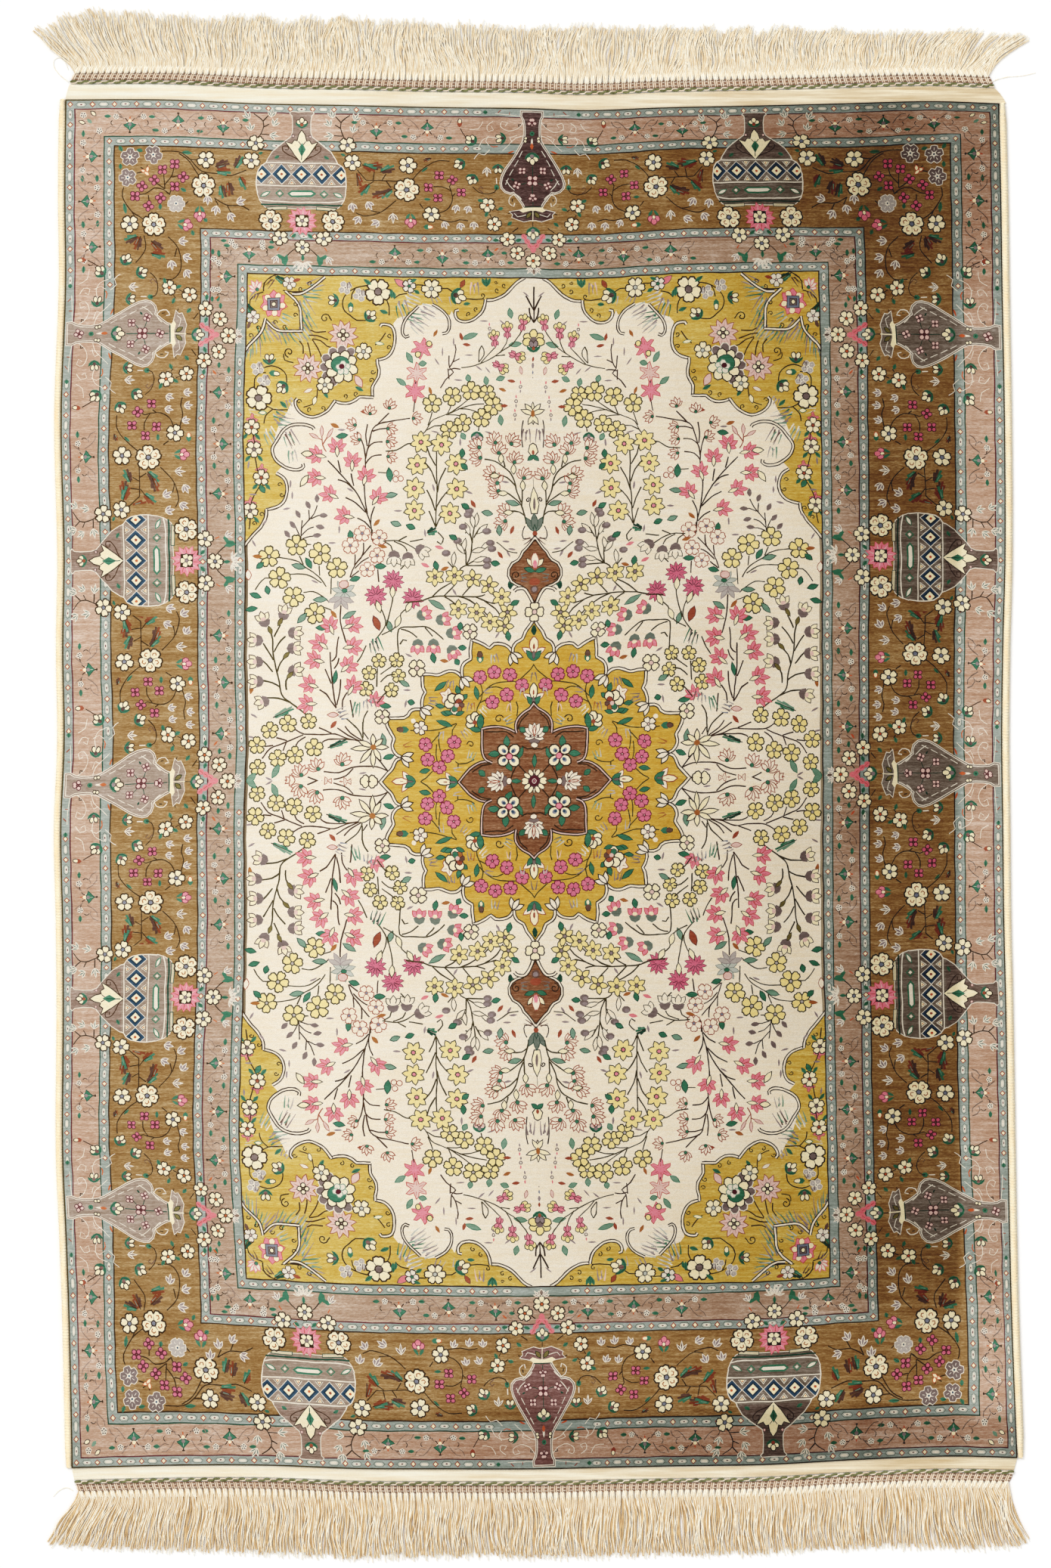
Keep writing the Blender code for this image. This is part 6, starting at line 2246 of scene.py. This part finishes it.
def lay_zone(zone, triangles, yarns):
    """One zone of the design from all four quarters, at the pile's top with its rim turned down."""
    used = sorted({i for face in triangles for i in face})
    order = {i: n for n, i in enumerate(used)}
    source = woven_points[used]
    from_edge = np.minimum(source[:, 0] - LEFT, source[:, 1] - TOP)
    height = PILE_HEIGHT - np.clip(RIM_WIDTH - from_edge, 0, RIM_WIDTH) * RIM_SLOPE
    faces = np.array([[order[i] for i in face] for face in triangles])
    dye = np.array([(*(c / 255 for c in YARNS[yarn]), STREAKY.get(yarn, STREAKY_ELSE)) for yarn in yarns])
    places, woven, dyes = [], [], []
    for flip_x in (False, True):
        for flip_y in (False, True):
            start = sum(len(p) for p in places)
            places.append(np.column_stack([on_rug(source, flip_x, flip_y), height]))
            a, b, c = (places[-1][faces[:, k]] for k in (0, 1, 2))
            up = np.cross(b - a, c - a)[:, 2] > 0
            woven.append(np.where(up[:, None], faces, faces[:, ::-1]) + start)
            lots = dye
            if flip_x:
                lots = lots * half_tones(yarns, RIGHT_HALF_TONE)
            if flip_y:
                lots = lots * half_tones(yarns, LOWER_HALF_TONE)
            dyes.append(lots)
    piece = mesh_object("pile_" + zone, np.concatenate(places), np.concatenate(woven), [silk])
    dyed(piece, np.concatenate(dyes))
    sewn(piece)
    print(piece.name, len(piece.data.polygons), "triangles")


for zone, found in woven_zones.items():
    lay_zone(zone, *found)

# %% [markdown]
# ## 5. The cloth under the pile
# Under the knots is the foundation, which runs on past them as a flat-woven end. It is one closed sheet: a
# grid of the loom's threads, given its thickness and laid out like the pile.

# %% Where the cloth lies
CLOTH_HEIGHT, EDGE_HEIGHT = 3.0 * MM, 0.9 * MM  # under the knots, and along the cloth's own edge
COLUMNS, INNER_ROWS = 49, 60


def down_to(end):
    return HALF_LENGTH + WEB_DEPTH[end]


def set_down(x, y):
    at_x, at_y = lay(x, y)
    return at_x + SET_DOWN[0], at_y + SET_DOWN[1]


def rows_along():
    """Where the cloth's cross rows run, with its height at each."""
    rim, step = 0.8 * MM, 0.1 * MM
    low, high = down_to("bottom"), down_to("top")
    found = [(-low, EDGE_HEIGHT), (-low + rim, WEB_HEIGHT), (-HALF_LENGTH, WEB_HEIGHT)]
    found += [(-HALF_LENGTH + step, CLOTH_HEIGHT)]
    found += [(y, CLOTH_HEIGHT) for y in np.linspace(-HALF_LENGTH + rim, HALF_LENGTH - rim, INNER_ROWS)]
    found += [(HALF_LENGTH - step, CLOTH_HEIGHT)]
    found += [(HALF_LENGTH + beyond * MM, WEB_HEIGHT) for beyond in (0, 3, 7, 11)]
    return found + [(high - rim, WEB_HEIGHT), (high, EDGE_HEIGHT)]


def flare(x, y):
    """The upper right corner of the flat-woven end is stretched wide, out to the overcast side."""
    reach = (down_to("top") - y) / WEB_DEPTH["top"]
    if x < 0 or not 0 < reach <= 1.001:
        return 0
    return 7.5 * MM * (x / HALF_WIDTH) ** 6 * min(reach, 1) ** 0.7


# %% The foundation and both flat-woven ends
def is_end(face):
    """Whether a face belongs to a flat-woven end and doesn't lie on the floor."""
    beyond = all(abs(v.co.y - SET_DOWN[1]) > HALF_LENGTH - 12 * MM for v in face.verts)
    return beyond and max(v.co.z for v in face.verts) < 2 * MM and face.normal.z > -0.5


def make_cloth():
    """The sheet: a grid of threads for its top, and its own outline carried down to a flat back."""
    columns = list(np.linspace(-HALF_WIDTH, HALF_WIDTH, COLUMNS))
    shape = bmesh.new()
    grid = []
    for y, z in rows_along():
        grid.append([])
        for x in columns:
            hem = x in (columns[0], columns[-1]) and abs(y) >= HALF_LENGTH
            place = set_down(x + flare(x, y), y)
            grid[-1].append(shape.verts.new((*place, EDGE_HEIGHT if hem else z)))
    top = []
    for low, high in zip(grid, grid[1:]):
        for k in range(COLUMNS - 1):
            top.append(shape.faces.new((low[k], low[k + 1], high[k + 1], high[k])))
    edges = list({edge for face in top for edge in face.edges})
    back = bmesh.ops.extrude_face_region(shape, geom=top + edges, use_keep_orig=True)
    for vert in (v for v in back["geom"] if isinstance(v, bmesh.types.BMVert)):
        vert.co.z = 0.0
    bmesh.ops.recalc_face_normals(shape, faces=shape.faces)
    for face in shape.faces:
        face.material_index = 1 if is_end(face) else 0
    mesh = bpy.data.meshes.new("rug_cloth")
    shape.to_mesh(mesh)
    shape.free()
    piece = add_object("rug_cloth", mesh, [foundation, end_weave])
    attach(piece, "root")
    return piece


rug_cloth = make_cloth()
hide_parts("rug_body")
print("cloth:", len(rug_cloth.data.polygons), "faces")

# %% [markdown]
# ## 6. Threads
# Everything else on the rug is thread. Blender's curve with a bevel is made for that: each thread is one
# spline, and all the threads of a piece are turned into one mesh.

# %% Spin threads into one piece
def thread_curve(name, threads, thickness, sides):
    """A curve with one tube for each thread."""
    curve = bpy.data.curves.new(name, "CURVE")
    curve.dimensions = "3D"
    curve.bevel_depth = thickness / 2
    curve.bevel_resolution = sides
    curve.use_fill_caps = True
    for thread in threads:
        spline = curve.splines.new("POLY")
        spline.points.add(len(thread) - 1)
        spline.points.foreach_set("co", [c for x, y, z, _ in thread for c in (x, y, z, 1.0)])
        spline.points.foreach_set("radius", [r for _, _, _, r in thread])
    return curve


def spin(name, threads, thickness, material, sides=0):
    """Threads as tubes. Each is a list of (x, y, z, relative thickness)."""
    curve = thread_curve(name, threads, thickness, sides)
    spun = add_object(name + "_spun", curve)
    bpy.context.view_layer.update()
    mesh = bpy.data.meshes.new_from_object(spun.evaluated_get(bpy.context.evaluated_depsgraph_get()))
    bpy.data.objects.remove(spun)
    bpy.data.curves.remove(curve)
    mesh.name = name
    mesh.materials.clear()
    mesh.shade_smooth()
    piece = add_object(name, mesh, [material])
    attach(piece, "root")
    mesh.calc_loop_triangles()
    print(name, len(threads), "threads,", len(mesh.loop_triangles), "triangles")
    return piece


# %% Overcast sides
SELVEDGE_WIDTH, SELVEDGE_HEIGHT, SELVEDGE_END = 9.6 * MM, 3.7 * MM, 0.7
WRAP_PITCH, WRAP_THREAD = 1.6 * MM, 2.6 * MM
WRAP_STEPS = 5  # points in a turn
OVER_PILE, OFF_FLOOR = 1.6 * MM, 0.12 * MM


def overcast(side):
    """One long thread wound round the edge from end to end, tighter where the side runs out."""
    thread = []
    steps = round(2 * HALF_LENGTH / WRAP_PITCH * WRAP_STEPS)
    for k in range(steps + 1):
        y = -HALF_LENGTH + 2 * HALF_LENGTH * k / steps
        slim = 1 - (1 - SELVEDGE_END) * max(0, (abs(y) / HALF_LENGTH - 0.97) / 0.03)
        half = SELVEDGE_WIDTH / 2 * slim - WRAP_THREAD / 2
        tall = SELVEDGE_HEIGHT / 2 * (0.6 + 0.4 * slim) - WRAP_THREAD / 2
        turn = 2 * pi * k / WRAP_STEPS
        x = side * (HALF_WIDTH + SELVEDGE_WIDTH / 2 - OVER_PILE) + half * cos(turn)
        at_x, at_y = set_down(x, y)
        thread.append((at_x, at_y, SELVEDGE_HEIGHT / 2 + OFF_FLOOR + tall * sin(turn), 1.0))
    return thread


for name, side in (("left", -1), ("right", 1)):
    piece = spin("overcast_" + name, [overcast(side)], WRAP_THREAD, overcast_silk)
    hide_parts("selvedge_" + name)

# %% [markdown]
# ### The ends
# Past the flat-woven end a green cord is twined across the warps, one half twist for each bundle. Then come
# the warps themselves, bound by a brown thread, and past that they hang free as the fringe.

# %% Where the ends' rows lie
BUNDLES = 149
PITCH = 2 * HALF_WIDTH / (BUNDLES - 1 + 0.80)
ENDS_OUT = {"top": 1, "bottom": -1}  # which way is outwards


def row_start(end, number):
    """How far out the twined row (0), the heading (1) or the fringe's strip (2) starts."""
    depths = [TWINE_DEPTH, HEADING_DEPTH, STRIP_DEPTH]
    return HALF_LENGTH + WEB_DEPTH[end] + sum(depths[:number]) + ROW_GAP * (number + 1)


def bundle_x(number):
    """Where a bundle of warps lies across the rug."""
    return -HALF_WIDTH + (number + 0.4) * PITCH


# %% Twined green rows
TWINE_RADIUS = 1.05 * MM
PLY_STEPS = 6  # points in a half twist


def twined_ply(end, phase):
    """One of the two plies. It crosses its fellow steeply and runs flat between."""
    thread = []
    steps = BUNDLES * PLY_STEPS
    middle = row_start(end, 0) + TWINE_DEPTH / 2
    for k in range(steps + 1):
        x = -HALF_WIDTH + 2 * HALF_WIDTH * k / steps
        turn = pi * (x + HALF_WIDTH) / PITCH + phase
        steep = x - 0.11 * PITCH * sin(2 * turn)
        y = ENDS_OUT[end] * middle + (TWINE_DEPTH / 2 - TWINE_RADIUS) * sin(turn)
        thread.append((*set_down(steep, y), (1.6 + 0.35 * cos(turn)) * MM, 1.0))
    return thread


for end in ENDS_OUT:
    spin("twined_pale_" + end, [twined_ply(end, pi)], 1.60 * MM, bar_silk)
    piece = spin("twined_" + end, [twined_ply(end, 0.0)], 2.30 * MM, green_cord)
    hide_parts("twined_row_" + end)

# %% Bound headings
def bar(end, x, half, near, far, height, thick=1.0):
    """A short straight thread across the heading."""
    thread = []
    for t, dip, swelling in ((0, 0.25, 0.8), (0.5, 0, 1.1), (1, 0.25, 0.8)):
        place = set_down(x + half * t, ENDS_OUT[end] * (near + (far - near) * t))
        thread.append((*place, (height - dip) * MM, thick * swelling))
    return thread


def heading_bars(end):
    """Two pale warps side by side at each bundle, and short pale stitches across the gap to the next."""
    bars = []
    near, far = row_start(end, 1), row_start(end, 1) + HEADING_DEPTH
    for k in range(BUNDLES):
        x = bundle_x(k)
        for place in (-0.30, 0.02):
            bars.append(bar(end, x + place * PITCH, 0.02 * PITCH, near, far, 0.95))
        for t in (0.28, 0.72):
            y = ENDS_OUT[end] * (near + (far - near) * t)
            stitch = ((0.16, 0.8), (0.33, 1.0), (0.50, 0.8))
            bars.append([(*set_down(x + dx * PITCH, y), z * MM, 0.62) for dx, z in stitch])
    return bars


def heading_binding(end):
    """The brown thread: along both sides, and between the warps of each bundle."""
    threads = []
    near, far = row_start(end, 1), row_start(end, 1) + HEADING_DEPTH
    for share in (0.04, 0.50, 0.96):
        y = ENDS_OUT[end] * (near + (far - near) * share)
        row = []
        for k in range(BUNDLES * 3 + 1):
            x = min(-HALF_WIDTH + k * PITCH / 3, HALF_WIDTH)
            row.append((*set_down(x, y), (0.78 + 0.2 * cos(2 * pi * (k / 3 - 0.73))) * MM, 1.0))
        threads.append(row)
    for k in range(BUNDLES):
        for place in (-0.14, 0.18, 0.46):
            x = bundle_x(k) + place * PITCH
            threads.append(bar(end, x, 0.0, near + 0.3 * MM, far - 0.3 * MM, 0.62))
    return threads


for end in ENDS_OUT:
    bars = spin("heading_warps_" + end, heading_bars(end), 1.75 * MM, bar_silk)
    spin("heading_binding_" + end, heading_binding(end), 1.1 * MM, brown_thread)
    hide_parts("heading_" + end)

# %% How the fringes lie
COMBS = [  # across the rug: how far the locks lean and reach at the top, then at the bottom, in mm
    (-504, -44, 44, -32, 56), (-475, -30, 61, -24, 60), (-440, -17, 63, -13, 64), (-395, -5, 60, -5, 66),
    (-340, 2, 60, -2, 68), (-250, 5, 62, 1, 71), (-150, -2, 61, -2, 70), (-55, -6, 60, 3, 68),
    (-38, 4, 57, 3, 69), (60, 5, 58, -1, 70), (80, 10, 57, 0, 70), (200, 6, 53, 3, 70), (300, 7, 50, 2, 69),
    (380, 12, 46, 5, 71), (440, 22, 44, 11, 73), (480, 38, 42, 19, 72), (504, 46, 38, 22, 64),
]
LEAN_SWAY = {"top": 5.5 * MM, "bottom": 2.5 * MM}  # how far neighbouring locks differ in their lean
SWAY = {"top": (2.9, 1.6), "bottom": (2.1, 1.4)}  # how far a thread sways, and how much that varies
RIPPLE = {"top": 0.8 * MM, "bottom": 0.9 * MM}
STRANDS = 8  # in each lock: half lie on the floor and half over them


def scatter(i, seed_=0.0):
    """A fixed scatter between -1 and 1."""
    return sin(12.9898 * i + 4.1 + 78.233 * seed_) * 43758.5453 % 2 - 1


def strand_length(end, lock, i, place, lean, reach, over):
    """A thread's length: shorter at the lock's sides, and a little uneven."""
    evenness = min(abs(lean) / (50 * MM), 1)
    length = reach + (4.5 if over else 1.0) * MM
    length = length * (1 - 0.09 * abs(scatter(i)) * (1 - 0.5 * evenness)) * (1 - 0.25 * place * place)
    if end == "top":
        length *= 1.07 - 0.10 * abs(scatter(lock // 2, 3))
    return length


def strand(end, lock, number):
    """One warp thread of a lock, from the heading to its tip."""
    x = bundle_x(lock)
    column = 1 if end == "top" else 3
    lean, reach = read(COMBS, column, x), read(COMBS, column + 1, x)
    lean += LEAN_SWAY[end] * sin(0.62 * lock + 2.4 * sin(0.17 * lock))
    i = lock * STRANDS + number
    over = number % 2
    place = (number + 0.5) / STRANDS - 0.5  # across the lock, from -0.5 to 0.5
    root_x, root_y = set_down(x + place * 0.62 * PITCH, ENDS_OUT[end] * row_start(end, 2))
    length = strand_length(end, lock, i, place, lean, reach, over)
    sway_size = (SWAY[end][0] + SWAY[end][1] * scatter(i, 7)) * MM
    spread = place * PITCH * (1.05 + 0.35 * scatter(lock, 1)) + 1.1 * MM * scatter(i, 2)
    if not over:  # the ones below lie evenly, and close the gaps
        spread, sway_size = place * PITCH * 1.15, sway_size * 0.45
    start = 1.2 * scatter(lock // 3, 5)
    thread = []
    steps = 10 if over else 6
    for k in range(steps + 1):
        t = k / steps
        sway = sway_size * (sin(2 * pi * t * (1.0 + 0.25 * scatter(lock, 4)) + start) - sin(start))
        sway += RIPPLE[end] * sin(10 * t + 6 * scatter(i, 6)) * t
        dx = lean * t**1.4 + spread * min(1, t * 1.6) + sway * min(1, 3 * t)
        z = 1.18 + over * (0.85 + 0.25 * sin(7 * t + 5 * scatter(i, 8))) * min(1, 4 * (1 - t) + 0.1)
        thread.append((root_x + dx, root_y + ENDS_OUT[end] * length * t, z * MM, 1.0 - 0.4 * t**3))
    return thread


# %% Fringes
def lock_heads(end):
    """Two thick threads for each lock, which swells where it leaves the heading."""
    heads = []
    for lock in range(BUNDLES):
        for half in (-1.15, 1.15):
            x, start = bundle_x(lock) + half * MM, row_start(end, 2) - 1.0 * MM
            head = []
            for along, size in ((0.0, 0.7), (1.8, 1.05), (5.5, 1.0), (9.0, 0.3)):
                place = set_down(x, ENDS_OUT[end] * (start + along * MM))
                head.append((*place, 1.9 * MM, size))
            heads.append(head)
    return heads


for end in ENDS_OUT:
    # the lower threads are real warps, coloured with the painted shade
    under = [strand(end, lock, n) for lock in range(BUNDLES) for n in range(0, STRANDS, 2)]
    spin("fringe_under_" + end, under, 2.3 * MM, fringe_painted_shades[end])
    over = [strand(end, lock, n) for lock in range(BUNDLES) for n in range(1, STRANDS, 2)]
    piece = spin("fringe_over_" + end, over, 1.12 * MM, fringe_silk)
    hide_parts("fringe_" + end)
    spin("fringe_heads_" + end, lock_heads(end), 2.7 * MM, fringe_silk)

# %% Loose threads
LOOSE = paths("""90,108 80,100 72,90 71,80 78,76 86,82 90,92 / 120,92 124,76 140,62 158,52 172,45 /
    1298,120 1312,108 1330,102 1352,100 1370,96 / 96,1972 88,1968 78,1972 70,1980""")  # at the corners


def loose_thread(path):
    """A thread that lies by itself, thinner towards its end."""
    curve = smooth(path, 3.0)
    last = len(curve) - 1
    thread = []
    for k, (px, py) in enumerate(curve):
        x, y = (px - PHOTO_X) * PX + SET_DOWN[0], (PHOTO_Y - py) * PX + SET_DOWN[1]
        thread.append((x, y, 0.6 * MM, 1.0 - 0.4 * k / last))
    return thread


spin("loose_threads", [loose_thread(path) for path in LOOSE], 0.8 * MM, fringe_silk, 1)

# %% [markdown]
# ## 7. Floor, light and camera
# The photograph looks straight down from far away, so the camera has a long lens. The light is soft and comes
# from all round, a little stronger from the upper left, so that the dyes show as they are.

# %% Floor
shape = bmesh.new()
bmesh.ops.create_grid(shape, x_segments=1, y_segments=1, size=4.0)
floor_mesh = bpy.data.meshes.new("floor")
shape.to_mesh(floor_mesh)
shape.free()
floor = add_object("floor", floor_mesh)
floor.location.z = -0.2 * MM
pale, tree, shader, place = finish_of("pale_floor", 0.9)
shader.inputs["Base Color"].default_value = (0.99, 0.99, 0.99, 1)
floor_mesh.materials.append(pale)

# %% Light
world = bpy.data.worlds.new("soft_studio")
bpy.context.scene.world = world
world.use_nodes = True
sky = world.node_tree.nodes["Background"]
sky.inputs["Color"].default_value = (1, 1, 1, 1)
sky.inputs["Strength"].default_value = 0.80
lamp = bpy.data.lights.new("soft_window", "SUN")
lamp.energy = 1.0
lamp.angle = radians(30)
window = add_object("soft_window", lamp)
window.rotation_euler = (radians(-28), radians(-34), 0)

# %% Camera
LENS, SENSOR = 135.0, 24.0
PHOTO_HEIGHT = 2074  # in pixels
FRAME_X, FRAME_Y = 695, 1037  # the middle of the photograph's frame
over_x, over_y = (FRAME_X - PHOTO_X) * PX + SET_DOWN[0], (PHOTO_Y - FRAME_Y) * PX + SET_DOWN[1]
view_height = LENS * PHOTO_HEIGHT * PX / SENSOR
camera_data = bpy.data.cameras.new("camera")
camera_data.lens = LENS
camera_data.sensor_fit = "VERTICAL"
camera_data.sensor_height = SENSOR
camera_data.clip_end = 50
camera = add_object("camera", camera_data)
camera.location = (over_x, over_y, view_height + PILE_HEIGHT)
bpy.context.scene.camera = camera
bpy.context.scene.view_settings.view_transform = "Standard"

# %% Update the scene
bpy.context.view_layer.update()
